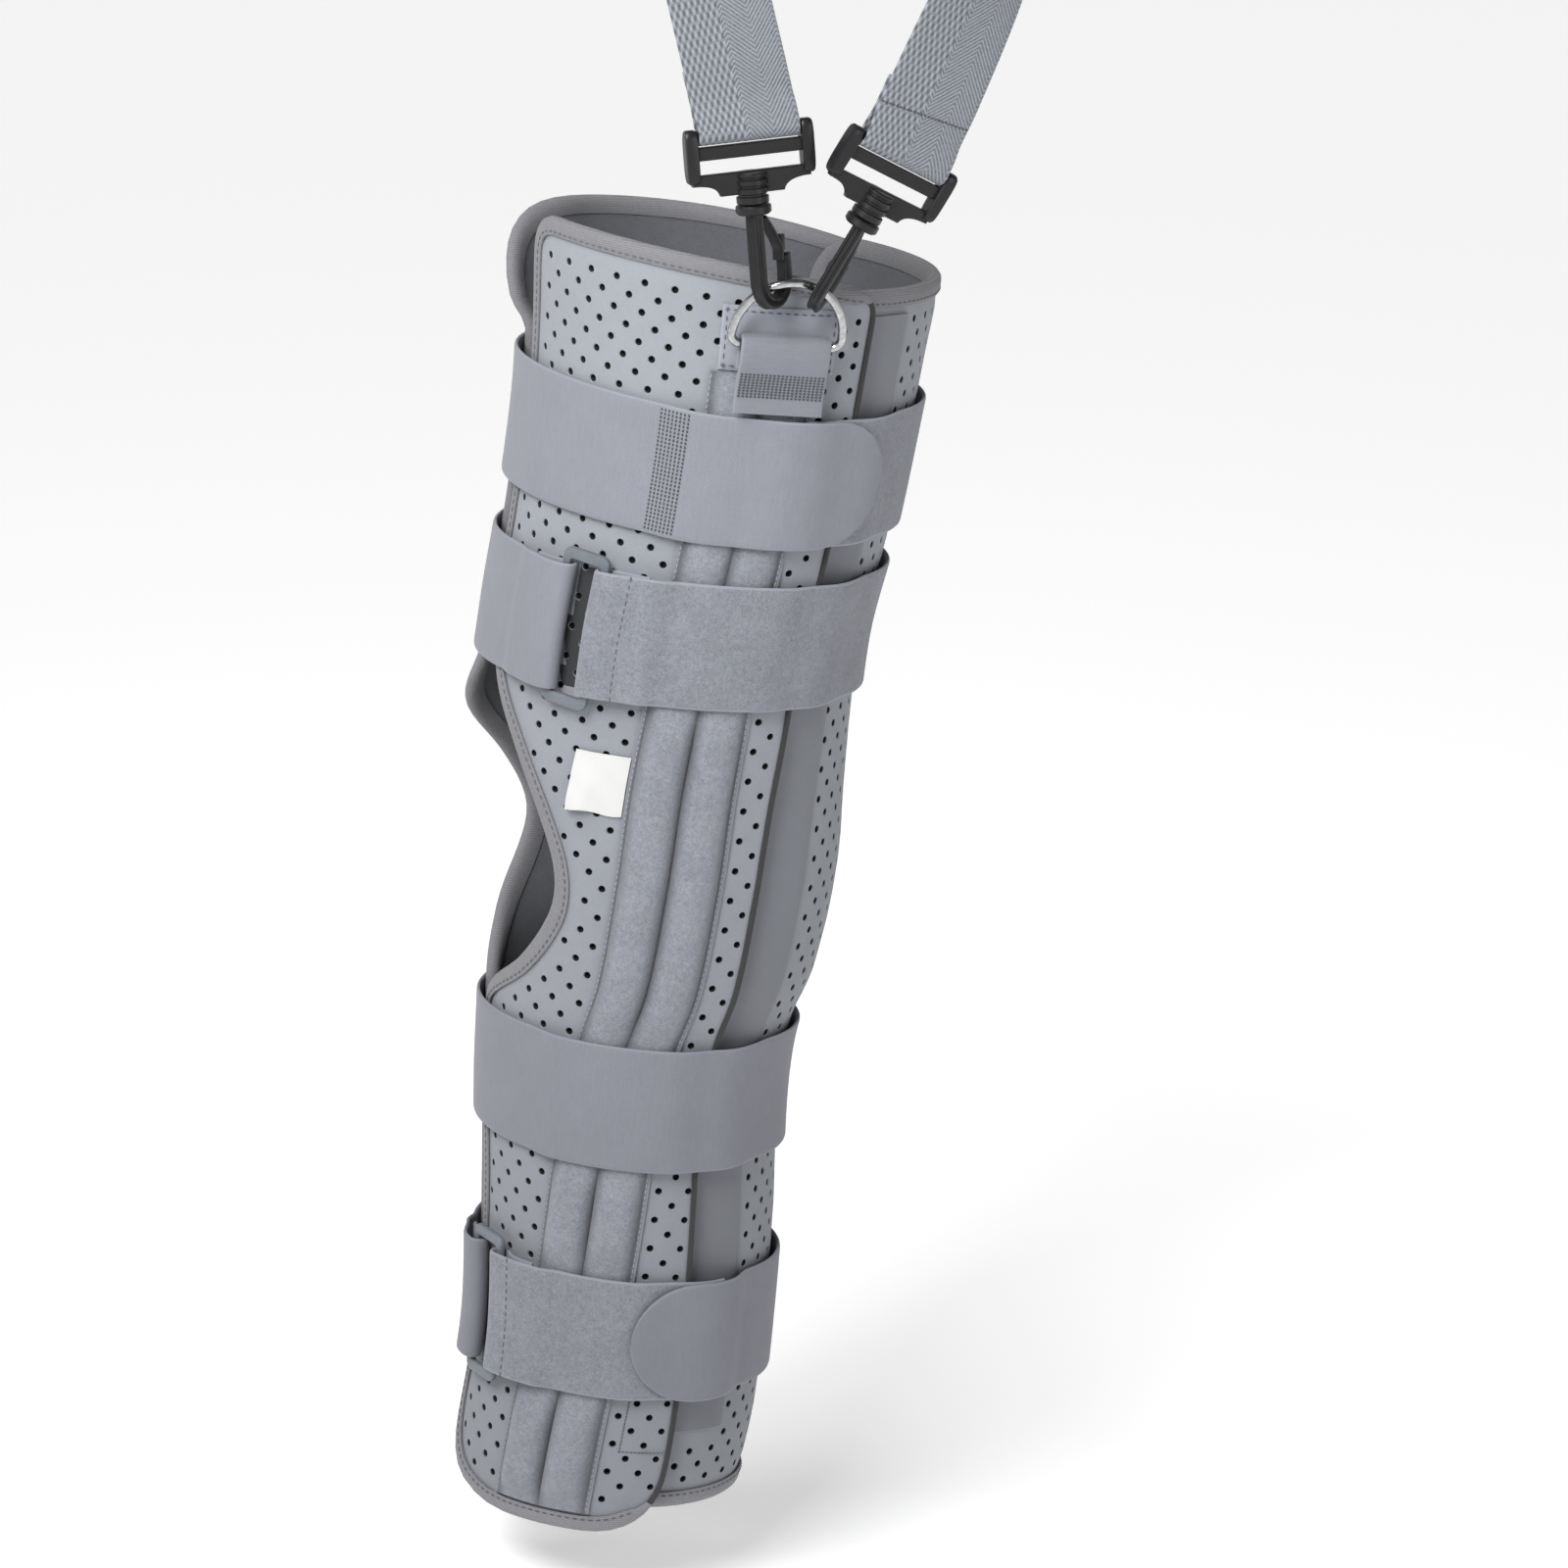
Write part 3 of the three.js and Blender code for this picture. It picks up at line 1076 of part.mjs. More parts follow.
function addShoulderStrap() {
  const front = webbingFold(webbingEnds.front);
  const rear = webbingFold(webbingEnds.rear).reverse();
  const start = front[front.length - 1].centre;
  const finish = rear[0].centre;
  const frontLean = webbingEnds.front.legLean;
  const rearLean = webbingEnds.rear.legLean;
  const frontUp = new THREE.Vector2(Math.sin(radians(frontLean)), Math.cos(radians(frontLean)));
  const rearUp = new THREE.Vector2(Math.sin(radians(rearLean)), Math.cos(radians(rearLean)));
  // The arch touches both legs: its centre is one radius to the inner side of each.
  const frontIn = new THREE.Vector2(frontUp.y, -frontUp.x);
  const rearIn = new THREE.Vector2(-rearUp.y, rearUp.x);
  const gap = new THREE.Vector2(finish.x - start.x, finish.z - start.z);
  gap.addScaledVector(rearIn, ARCH_RADIUS).addScaledVector(frontIn, -ARCH_RADIUS);
  const cross = frontUp.x * rearUp.y - frontUp.y * rearUp.x;
  const frontLength = (gap.x * rearUp.y - gap.y * rearUp.x) / cross;
  const rearLength = (gap.x * frontUp.y - gap.y * frontUp.x) / cross;
  const centre = new THREE.Vector2(start.x, start.z).addScaledVector(frontUp, frontLength);
  centre.addScaledVector(frontIn, ARCH_RADIUS);
  const route = [];
  for (let i = 1; i < STRAP_LEG_STEPS; i += 1) {
    const distance = (frontLength * i) / STRAP_LEG_STEPS;
    route.push(new THREE.Vector2(start.x, start.z).addScaledVector(frontUp, distance));
  }
  const archFrom = 180 - frontLean;
  const archTo = -rearLean;
  for (let i = 0; i <= ARCH_STEPS; i += 1) {
    const turn = radians(THREE.MathUtils.lerp(archFrom, archTo, i / ARCH_STEPS));
    const spoke = new THREE.Vector2(Math.cos(turn), Math.sin(turn));
    route.push(centre.clone().addScaledVector(spoke, ARCH_RADIUS));
  }
  for (let i = STRAP_LEG_STEPS - 1; i > 0; i -= 1) {
    const distance = (rearLength * i) / STRAP_LEG_STEPS;
    route.push(new THREE.Vector2(finish.x, finish.z).addScaledVector(rearUp, distance));
  }
  const middle = route.map((point, i) => {
    const share = (i + 1) / (route.length + 1);
    const y = THREE.MathUtils.lerp(start.y, finish.y, share);
    const end = share < 0.5 ? webbingEnds.front : webbingEnds.rear;
    const reach = Math.min(share, 1 - share);
    const towardArch = 0.7 * smoothStep(0, end.twist, reach) + 0.3 * smoothStep(0, 0.35, reach);
    const width = end.across.clone().lerp(BACKWARD, towardArch).normalize();
    return { centre: new THREE.Vector3(point.x, y, point.y), width };
  });
  const stations = [...front, ...middle, ...rear];
  const rings = stations.map(({ centre: point, width }, i) => {
    const before = stations[Math.max(i - 1, 0)].centre;
    const after = stations[Math.min(i + 1, stations.length - 1)].centre;
    const along = after.clone().sub(before).normalize();
    const across = width.clone().addScaledVector(along, -width.dot(along)).normalize();
    const face = new THREE.Vector3().crossVectors(along, across).multiplyScalar(WEBBING_WALL / 2);
    const corner = (side, layer) => {
      return point.clone().addScaledVector(across, side * WEBBING_HALF).addScaledVector(face, layer);
    };
    return [corner(-1, -1), corner(1, -1), corner(1, 1), corner(-1, 1)];
  });
  addPiece('shoulder_strap', 'webbing', ringsSolid(rings));
}

addShoulderStrap();

export default splint;
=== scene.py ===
# %% [markdown]
# # A knee splint with a shoulder strap
# The splint is three padded panels wrapped into a tapered tube and closed by wide straps. A webbing loop
# hangs on a ring by two snap hooks. The packed CAD model is the fixed frame: every soft solid in it is
# dressed here with a denser, softer piece in the same place, and the hard parts get rounder edges and
# better finishes.

# %% Load the frame
import math

import bmesh
import bpy
import numpy as np
from mathutils import Matrix, Vector


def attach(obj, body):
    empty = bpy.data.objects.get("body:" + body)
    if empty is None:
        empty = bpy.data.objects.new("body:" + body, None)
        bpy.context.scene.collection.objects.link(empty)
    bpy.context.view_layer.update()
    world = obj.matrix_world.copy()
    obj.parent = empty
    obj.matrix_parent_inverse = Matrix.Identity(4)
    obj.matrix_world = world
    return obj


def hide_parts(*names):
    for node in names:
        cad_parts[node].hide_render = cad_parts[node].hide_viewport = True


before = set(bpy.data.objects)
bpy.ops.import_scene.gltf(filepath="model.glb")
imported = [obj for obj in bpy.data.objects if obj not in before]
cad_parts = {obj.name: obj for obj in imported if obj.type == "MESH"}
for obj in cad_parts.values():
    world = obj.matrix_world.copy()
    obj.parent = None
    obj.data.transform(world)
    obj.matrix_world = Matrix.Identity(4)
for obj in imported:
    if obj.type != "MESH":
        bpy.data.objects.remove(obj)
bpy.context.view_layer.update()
MM = 0.001
print("nodes in the frame:", len(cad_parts))

# %% [markdown]
# ## Camera
# The picture looks at the outer side of the splint from a little above, with a long lens and a slight roll.
# A camera is easiest to place from three directions: forward, right and up make its rotation matrix.

# %% Camera at the picture's angle
ELEVATION, ROLL = math.radians(15), math.radians(6)
DISTANCE, AIM_RIGHT, AIM_UP = 2.3, 0.0539, 0.01463
SENSOR_WIDTH, LENS, FAR_CLIP = 36, 134.4, 100


def add_object(name, data):
    """A new object in the scene."""
    obj = bpy.data.objects.new(name, data)
    bpy.context.scene.collection.objects.link(obj)
    return obj


forward = Vector((0, math.cos(ELEVATION), -math.sin(ELEVATION)))
level_up = Vector((0, math.sin(ELEVATION), math.cos(ELEVATION)))
right = Vector((math.cos(ROLL), 0, 0)) + level_up * math.sin(ROLL)
upward = level_up * math.cos(ROLL) - Vector((math.sin(ROLL), 0, 0))
camera = add_object("camera", bpy.data.cameras.new("camera"))
camera.data.sensor_width, camera.data.lens, camera.data.clip_end = SENSOR_WIDTH, LENS, FAR_CLIP
turn = Matrix((right, upward, -forward)).transposed().to_4x4()
camera.matrix_world = Matrix.Translation(-forward * DISTANCE + right * AIM_RIGHT + upward * AIM_UP) @ turn
bpy.context.scene.camera = camera
print("camera at", [round(v, 3) for v in camera.location])

# %% [markdown]
# ## The form under the cloth
# All the cloth follows one form: an ellipse at each height, read from a short table with smooth steps
# between its rows. Places on the cloth are given as an angle round the form, a height and a lift off it,
# in millimetres, and are turned into metres only when a mesh is made.

# %% Tables of the form
FORM = [  # height, centre, half depth, half width
    (-300, 8.5, 49.0, 42.5), (-275, 8.5, 49.5, 43), (-235, 11.0, 51.0, 44), (-200, 12.0, 50.5, 46),
    (-155, 10.0, 51.5, 48), (-105, 6.5, 52.0, 50), (-75, 6.5, 53.5, 50), (-50, 9.5, 58.0, 51),
    (-10, 8.0, 64.0, 53), (35, 5.0, 66.0, 55), (85, 6.0, 65.5, 60), (125, 10.5, 67.0, 63),
    (180, 14.0, 69.0, 66), (235, 14.0, 74.0, 70), (260, 14.0, 76.0, 72),
]
FRONT_EDGE = [  # height, angle, as in the other edges
    (-285, 4), (-250, 4), (-200, 12), (-150, 16), (-85, 13), (-68, 15), (-49, 38), (-27, 53),
    (-10, 56), (12, 50.5), (36, 40), (60, 27), (85, 19), (115, 16.5), (205, 21.5), (245, 24),
]
MEDIAL_FRONT_EDGE = [
    (-285, 4), (-85, 4), (-68, 6), (-49, 20), (-27, 37), (-10, 42),
    (12, 33), (36, 14), (56, 5), (85, 4), (205, 6), (245, 9),
]
REAR_EDGE = [(-285, 114.5), (-146, 115.5), (-67, 119.5), (-5, 123), (55, 128.5), (128, 130), (245, 131)]
STAY_LINE = [(-285, 66), (-223, 68.5), (-136, 78), (-68, 87), (55, 98.5), (128, 99.5), (245, 100.5)]
LATERAL_FLARE = [(-285, 5), (-225, 0), (245, 0)]
MEDIAL_FLARE = [
    (-285, 3), (-225, 0), (-75, 0), (-35, 5), (12, 7), (36, 8),
    (64, 0), (90, 0), (189, 0), (200, 6), (215, 8.5), (240, 9),
]
PANEL_WALL, SIDE_LIFT = 4, 6.5
PANEL_FACE = SIDE_LIFT + PANEL_WALL


def smooth_step(low, high, value):
    """Rises from nothing to one between two values, level at both ends."""
    t = np.clip((np.asarray(value, float) - low) / (high - low), 0, 1)
    return t * t * (3 - 2 * t)


def column_at(table, column, z):
    """A table's column at a height, on a smooth curve through its rows."""
    rows = np.array(table, float)
    heights, values = rows[:, 0], rows[:, column]
    slopes = np.gradient(values, heights, edge_order=1)
    slopes[1:-1] = (values[2:] - values[:-2]) / (heights[2:] - heights[:-2])
    z = np.clip(z, heights[0], heights[-1])
    k = np.clip(np.searchsorted(heights, z) - 1, 0, len(heights) - 2)
    span = heights[k + 1] - heights[k]
    t = (z - heights[k]) / span
    ease = t * t * (3 - 2 * t)
    bend = t * (1 - t) ** 2 * slopes[k] - t * t * (1 - t) * slopes[k + 1]
    return values[k] * (1 - ease) + values[k + 1] * ease + bend * span


def edge_line(table):
    """An edge's angle as a function of height."""
    return lambda z: column_at(table, 1, z)


front_angle, medial_front_angle = edge_line(FRONT_EDGE), edge_line(MEDIAL_FRONT_EDGE)
rear_angle, stay_angle = edge_line(REAR_EDGE), edge_line(STAY_LINE)


# %% Places on the form
def form_normal(angle, z):
    """The way straight out from the form."""
    turn = np.radians(angle)
    x, y = -np.cos(turn) / column_at(FORM, 2, z), -np.sin(turn) / column_at(FORM, 3, z)
    size = np.hypot(x, y)
    return np.stack(np.broadcast_arrays(x / size, y / size, 0.0), -1)


def on_form(angle, z, lift):
    """The place at an angle, a height and a lift."""
    angle, z, lift = np.broadcast_arrays(*(np.asarray(v, float) for v in (angle, z, lift)))
    turn = np.radians(angle)
    x = column_at(FORM, 1, z) - column_at(FORM, 2, z) * np.cos(turn)
    y = -column_at(FORM, 3, z) * np.sin(turn)
    return np.stack([x, y, z], -1) + form_normal(angle, z) * lift[..., None]


def mm_per_degree(z, lift=PANEL_FACE):
    """Length of one degree at a lift, by the mean of the ellipse's two half axes."""
    return np.radians((column_at(FORM, 2, z) + column_at(FORM, 3, z)) / 2 + lift)


WIDE_Z = 180
half_axes = np.array([column_at(FORM, column, WIDE_Z) for column in (2, 3)])
print("girth inside the upper part, mm:", round(2 * math.pi * math.sqrt((half_axes**2).mean())))

# %% [markdown]
# ## Making meshes
# Nearly every piece here is a closed sheet: a grid of points for its inner face and one for its outer
# face, joined round the edge. One helper makes that mesh, another marks its sharp edges, and both faces
# keep a note of where each point lies on the flat cloth, so a weave can follow the strap.

# %% Mesh helpers
SHARP_DEGREES = 38


def soften(obj, sharp=SHARP_DEGREES):
    """Smooth shading, with edges that bend more than the limit kept sharp."""
    work = bmesh.new()
    work.from_mesh(obj.data)
    limit = math.radians(sharp)
    for face in work.faces:
        face.smooth = True
    for edge in work.edges:
        edge.smooth = len(edge.link_faces) == 2 and edge.calc_face_angle(0) < limit
    work.to_mesh(obj.data)
    work.free()
    return obj


def mesh_piece(name, points, faces, materials, flat=None, sharp=SHARP_DEGREES):
    """A mesh object from points in millimetres, with faces turned outwards."""
    mesh = bpy.data.meshes.new(name)
    places = np.asarray(points, float).reshape(-1, 3) * MM
    mesh.from_pydata(places.tolist(), [], faces)
    for material in materials if isinstance(materials, (list, tuple)) else [materials]:
        mesh.materials.append(material)
    if flat is not None:
        note = mesh.attributes.new("flat", "FLOAT_VECTOR", "POINT")
        note.data.foreach_set("vector", np.asarray(flat, np.float32).ravel())
    work = bmesh.new()
    work.from_mesh(mesh)
    bmesh.ops.recalc_face_normals(work, faces=work.faces)
    work.to_mesh(mesh)
    work.free()
    return soften(add_object(name, mesh), sharp)


def ring_faces(rings, sides, looped=False):
    """Faces of a solid whose rings hold one face's points and then the other's in reverse."""
    faces = []
    for i in range(rings if looped else rings - 1):
        a, b = i * sides, (i + 1) % rings * sides
        for k in range(sides):
            other = (k + 1) % sides
            faces.append((a + k, a + other, b + other, b + k))
    if not looped:
        far = (rings - 1) * sides
        for k in range(sides // 2 - 1):
            faces.append((k, sides - 1 - k, sides - 2 - k, k + 1))
            faces.append((far + k, far + k + 1, far + sides - 2 - k, far + sides - 1 - k))
    return faces


def sheet_piece(name, inner, outer, materials, across=None, along=None, looped=False, sharp=SHARP_DEGREES):
    """A closed sheet from two grids of points: rows run along it, columns across it."""
    rows, columns = inner.shape[:2]
    rings = np.concatenate([inner, outer[:, ::-1]], axis=1)
    flat = None
    if across is not None:
        across, along = np.broadcast_arrays(across, along)
        from_edge = np.abs(across).max(1, keepdims=True) - np.abs(across)
        notes = np.stack([across, along, from_edge], -1)
        flat = np.concatenate([notes, notes[:, ::-1]], axis=1)
    faces = ring_faces(rows, 2 * columns, looped)
    return mesh_piece(name, rings, faces, materials, flat, sharp)


def combine(base, other, operation):
    """Joins two closed meshes, or takes one out of the other, and keeps the result in the first."""
    step = base.modifiers.new("combine", "BOOLEAN")
    step.operation, step.solver, step.object = operation, "MANIFOLD", other
    step.material_mode = "TRANSFER"
    shown = base.evaluated_get(bpy.context.evaluated_depsgraph_get())
    mesh = bpy.data.meshes.new_from_object(shown)
    base.modifiers.clear()
    base.data = mesh
    bpy.data.objects.remove(other)
    return base


def lengths_along(points):
    """How far each point lies along a line of points."""
    steps = np.linalg.norm(np.diff(points, axis=0), axis=1)
    return np.concatenate([[0], np.cumsum(steps)])


def smooth_path(points, step):
    """A smooth line through points of any number of columns, with stations a step apart."""
    points = np.asarray(points, float)
    lengths = lengths_along(points[:, :3])
    table = np.column_stack([lengths, points])
    t = np.linspace(0, lengths[-1], max(int(lengths[-1] / step), 2) + 1)
    return np.stack([column_at(table, column, t) for column in range(1, table.shape[1])], -1)


def unit(vectors):
    """Vectors at length one."""
    return vectors / np.linalg.norm(vectors, axis=-1, keepdims=True)


def dress(obj, slot, *nodes, body="root"):
    """The piece rides on a body and stands for CAD nodes, which it hides; the slot is not used."""
    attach(obj, body)
    if nodes:
        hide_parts(*nodes)
    return obj


print("edges stay sharp past", SHARP_DEGREES, "degrees")

# %% [markdown]
# ## Finishes
# Each cloth is a Principled shader whose colour and bump come from noise and waves at the scale of the
# real threads. Numbers that are the same all over stay on the shader's own sockets. A small class holds the
# node tree, so that a finish reads as a recipe: places, factors, colours, and then the paint.

# %% Material helpers
SHEEN_ROUGHNESS = 0.6
MIX_A, MIX_B, MIX_RESULT = 6, 7, 2  # the colour sockets of a mix node, which has some for every type


class Shading:
    """A shader tree with short ways to add nodes; what goes in and comes out are sockets."""

    def __init__(self, tree):
        self.nodes, self.link = tree.nodes, tree.links.new

    def add(self, kind, **settings):
        """A node: sockets are named with their values, other names are the node's own settings."""
        node = self.nodes.new("ShaderNode" + kind)
        for key, value in settings.items():
            if key in node.inputs:
                node.inputs[key].default_value = value
            else:
                setattr(node, key, value)
        return node

    def place(self):
        """The place on the object, in metres."""
        return self.add("TexCoord").outputs["Object"]

    def flat(self):
        """The place on the flat sheet: across, along and in from the edge, in millimetres."""
        return self.add("Attribute", attribute_name="flat").outputs["Vector"]

    def parts(self, vector):
        """The three numbers of a vector."""
        split = self.add("SeparateXYZ")
        self.link(vector, split.inputs[0])
        return split.outputs

    def noise(self, source, scale, detail=3.0, roughness=0.6):
        """A cloudy factor over a space."""
        noise = self.add("TexNoise", Scale=scale, Detail=detail, Roughness=roughness)
        self.link(source, noise.inputs["Vector"])
        return noise.outputs["Fac"]

    def math(self, operation, first, second=0):
        """One sum of sockets or plain numbers."""
        node = self.add("Math", operation=operation)
        for socket, value in zip(node.inputs, (first, second)):
            if isinstance(value, (int, float)):
                socket.default_value = value
            else:
                self.link(value, socket)
        return node.outputs[0]

    def times(self, first, second):
        """The product of two factors."""
        return self.math("MULTIPLY", first, second)

    def blend(self, *parts):
        """The weighted sum of several factors."""
        total = 0
        for factor, weight in parts:
            total = self.math("ADD", total, self.times(factor, weight))
        return total

    def tint(self, factor, dark, light, low=0.3, high=0.7):
        """A colour between two, by a factor."""
        ramp = self.add("ValToRGB")
        for stop, position, colour in zip(ramp.color_ramp.elements, (low, high), (dark, light)):
            stop.position, stop.color = position, (*colour, 1)
        self.link(factor, ramp.inputs["Fac"])
        return ramp.outputs["Color"]

    def toward(self, factor, colours, other):
        """Moves a colour towards another by a factor."""
        mix = self.add("Mix", data_type="RGBA")
        self.link(factor, mix.inputs["Factor"])
        self.link(colours, mix.inputs[MIX_A])
        mix.inputs[MIX_B].default_value = (*other, 1)
        return mix.outputs[MIX_RESULT]

    def paint(self, colours, height, bump_mm):
        """Sends the colours and a bump to the material's shader."""
        shader = self.nodes["Principled BSDF"].inputs
        bump = self.add("Bump", Strength=1.0, Distance=bump_mm * MM)
        self.link(height, bump.inputs["Height"])
        self.link(bump.outputs["Normal"], shader["Normal"])
        self.link(colours, shader["Base Color"])


def new_material(name, roughness, metallic=0.0, sheen=0.0, specular=0.5):
    """A Principled material with its even values set, and its tree."""
    material = bpy.data.materials.new(name)
    material.use_nodes = True
    sockets = material.node_tree.nodes["Principled BSDF"].inputs
    sockets["Roughness"].default_value = roughness
    sockets["Metallic"].default_value = metallic
    sockets["Sheen Weight"].default_value = sheen
    sockets["Sheen Roughness"].default_value = SHEEN_ROUGHNESS
    sockets["Specular IOR Level"].default_value = specular
    return material, Shading(material.node_tree)


def shade(colour, factor):
    """A colour made darker or lighter."""
    return tuple(channel * factor for channel in colour)


print("shading steps:", [name for name in vars(Shading) if not name.startswith("_")])

# %% [markdown]
# ### Woven cloth
# The panels, the lining and the threads are plain woven cloth. A picture of cloth could be laid on them, but
# noise at the size of a thread has no seams and keeps its scale on every piece. The grey is painted a little
# darker towards the lower end: painted shade, for light that falls off downwards.

# %% Woven cloth
# painted shade: from the top height down to the bottom one, colours move towards a darker shade of themselves
LOW_SHADE_TOP, LOW_SHADE_BOTTOM, LOW_SHADE_FACTOR = 0.14, -0.28, 0.25


def painted_low_shade(finish, place, colours, colour, most=0.32):
    """Colours painted a little darker towards the lower end: painted shade, for light that falls off
    downwards.
    """
    down = finish.add("MapRange", **{"From Min": LOW_SHADE_TOP, "From Max": LOW_SHADE_BOTTOM, "To Max": most})
    finish.link(finish.parts(place)["Z"], down.inputs["Value"])
    return finish.toward(down.outputs["Result"], colours, shade(colour, LOW_SHADE_FACTOR))


def woven_cloth(name, colour, thread_mm, mottle, bump_mm, roughness=0.85, sheen=0.1):
    """Cloth with fine threads both ways and soft patches of tone."""
    material, finish = new_material(name, roughness, sheen=sheen, specular=0.25)
    place = finish.place()
    patches = finish.noise(place, scale=140)
    threads = finish.noise(place, scale=1 / (thread_mm * MM), detail=2, roughness=0.7)
    tone = finish.blend((patches, 0.35), (threads, 0.65))
    colours = finish.tint(tone, shade(colour, 1 - mottle), shade(colour, 1 + mottle))
    finish.paint(painted_low_shade(finish, place, colours, colour), threads, bump_mm)
    return material


print("cloth darkens from", LOW_SHADE_TOP, "m down to", LOW_SHADE_BOTTOM, "m")

# %% [markdown]
# ### Twill
# The straps are a smooth twill. Its diagonal has to turn with the strap, so it is drawn from the flat
# coordinates noted on the mesh, and only the threads and patches come from the object's own space.

# %% Twill cloth
TWILL_PITCH, TWILL_SLANT, TWILL_RIM = 1.6, 2.1, 0.8
STREAK_STRETCH = (0.1, 1.0, 0.0)


def twill_cloth(name, colour):
    """Smooth strap cloth: a faint diagonal twill, streaks across it and a paler rim."""
    material, finish = new_material(name, roughness=0.72, sheen=0.12, specular=0.25)
    place, flat = finish.place(), finish.flat()
    across, along, from_edge = finish.parts(flat)
    slant = finish.math("ADD", finish.times(across, TWILL_SLANT), along)
    lines = finish.math("SINE", finish.times(slant, 2 * math.pi / TWILL_PITCH))
    stretch = finish.add("Mapping", Scale=STREAK_STRETCH)
    finish.link(flat, stretch.inputs["Vector"])
    streaks = finish.noise(stretch.outputs["Vector"], scale=1.1)
    threads = finish.noise(place, scale=1700, detail=2, roughness=0.7)
    patches = finish.noise(place, scale=60)
    tone = finish.blend((lines, 0.09), (threads, 0.35), (patches, 0.25), (streaks, 0.4))
    colours = finish.tint(tone, shade(colour, 0.88), shade(colour, 1.1))
    rim = finish.times(finish.math("LESS_THAN", from_edge, TWILL_RIM), 0.5)
    colours = finish.toward(rim, colours, shade(colour, 1.25))
    finish.paint(painted_low_shade(finish, place, colours, colour), tone, bump_mm=0.12)
    return material


print("twill lines are", TWILL_PITCH, "mm apart")

# %% [markdown]
# ### Brushed cloth
# The stay covers and the rear straps are loop cloth with a brushed pile. Hair strands would be heavy for so
# short a pile, so noise at two sizes makes the curls, and a strong bump lets them catch the light.

# %% Brushed cloth
BRUSHED_RIM, SEAM_REACH, SEAM_FALL = 0.9, 4.2, 1.6


def seam_shadow(finish, across, seams):
    """A factor for painted shade, which rises to one at each seam across a sheet."""
    offset = finish.math("ABSOLUTE", across)
    nearest = 1
    for seam in seams:
        gap = finish.math("ABSOLUTE", finish.math("SUBTRACT", offset, seam))
        nearest = finish.math("MINIMUM", nearest, finish.math("DIVIDE", gap, SEAM_REACH))
    return finish.math("POWER", finish.math("SUBTRACT", 1, nearest), SEAM_FALL)


def brushed_cloth(name, colour, seams=()):
    """Loop cloth: a patchy fleece of tiny curls, with a woven rim and painted shade in its seams."""
    material, finish = new_material(name, roughness=0.97, sheen=0.2, specular=0.1)
    place = finish.place()
    across, _, from_edge = finish.parts(finish.flat())
    curls = finish.noise(place, scale=1150, roughness=0.7)
    tufts = finish.noise(place, scale=420)
    patches = finish.noise(place, scale=55, detail=2)
    tone = finish.blend((curls, 0.55), (tufts, 0.3), (patches, 0.15))
    colours = finish.tint(tone, shade(colour, 0.72), shade(colour, 1.27), low=0.36, high=0.64)
    rim = finish.times(finish.math("LESS_THAN", from_edge, BRUSHED_RIM), 0.7)
    colours = finish.toward(rim, colours, shade(colour, 1.35))
    if seams:
        # painted shade: the pile is darkened at the groove between the tubes and at their outer edges
        shadow = finish.times(seam_shadow(finish, across, seams), 0.75)
        colours = finish.toward(shadow, colours, shade(colour, 0.3))
    finish.paint(painted_low_shade(finish, place, colours, colour, most=0.16), tone, bump_mm=0.45)
    return material


# the darker pile near the seams is painted shade
print("pile is darker within", SEAM_REACH, "mm of a seam")

# %% [markdown]
# ### Edge tape
# The tape is folded over the edge of a panel and has fine ribs across it. A wave texture draws the ribs at
# once, and a little distortion keeps them from looking ruled.

# %% Ribbed tape
RIB_MM = 0.9
BANDS_PER_UNIT = 3  # about as many as a wave texture has in one unit


def ribbed_tape(name, colour):
    """Folded edge tape with fine cross ribs."""
    material, finish = new_material(name, roughness=0.8, sheen=0.1, specular=0.25)
    place = finish.place()
    ribs = finish.add("TexWave", Scale=1 / (RIB_MM * MM * BANDS_PER_UNIT), Distortion=1.5, Detail=1.0)
    ribs.bands_direction = "Z"
    finish.link(place, ribs.inputs["Vector"])
    threads = finish.noise(place, scale=900, detail=2)
    tone = finish.blend((ribs.outputs["Fac"], 0.4), (threads, 0.6))
    finish.paint(finish.tint(tone, shade(colour, 0.84), shade(colour, 1.14)), tone, bump_mm=0.15)
    return material


print("tape ribs are", RIB_MM, "mm apart")

# %% Cloths of the splint
CLOTH_GREY = (0.25, 0.263, 0.288)
STRAP_GREY = (0.198, 0.205, 0.236)
BRUSHED_GREY = (0.19, 0.199, 0.226)
STRIP_GREY = (0.165, 0.174, 0.195)
BINDING_GREY = (0.178, 0.178, 0.19)
LINING_GREY = (0.105, 0.11, 0.122)
LABEL_WHITE = (0.6, 0.6, 0.59)
HOLE_DARK = (0.022, 0.023, 0.025)
GREY_THREAD, PALE_THREAD, DARK_THREAD = (0.1, 0.103, 0.115), (0.3, 0.31, 0.335), (0.05, 0.053, 0.056)
TUBE_HALF = 17.8
perforated_cloth = woven_cloth("perforated_cloth", CLOTH_GREY, 0.55, 0.07, 0.12)
strap_cloth = twill_cloth("smooth_strap_cloth", STRAP_GREY)
# painted light: the patch is a lighter copy of the strap cloth, to lift the shade of the tab and hooks
painted_light_patch_cloth = twill_cloth("ring_patch_cloth", shade(STRAP_GREY, 1.25))
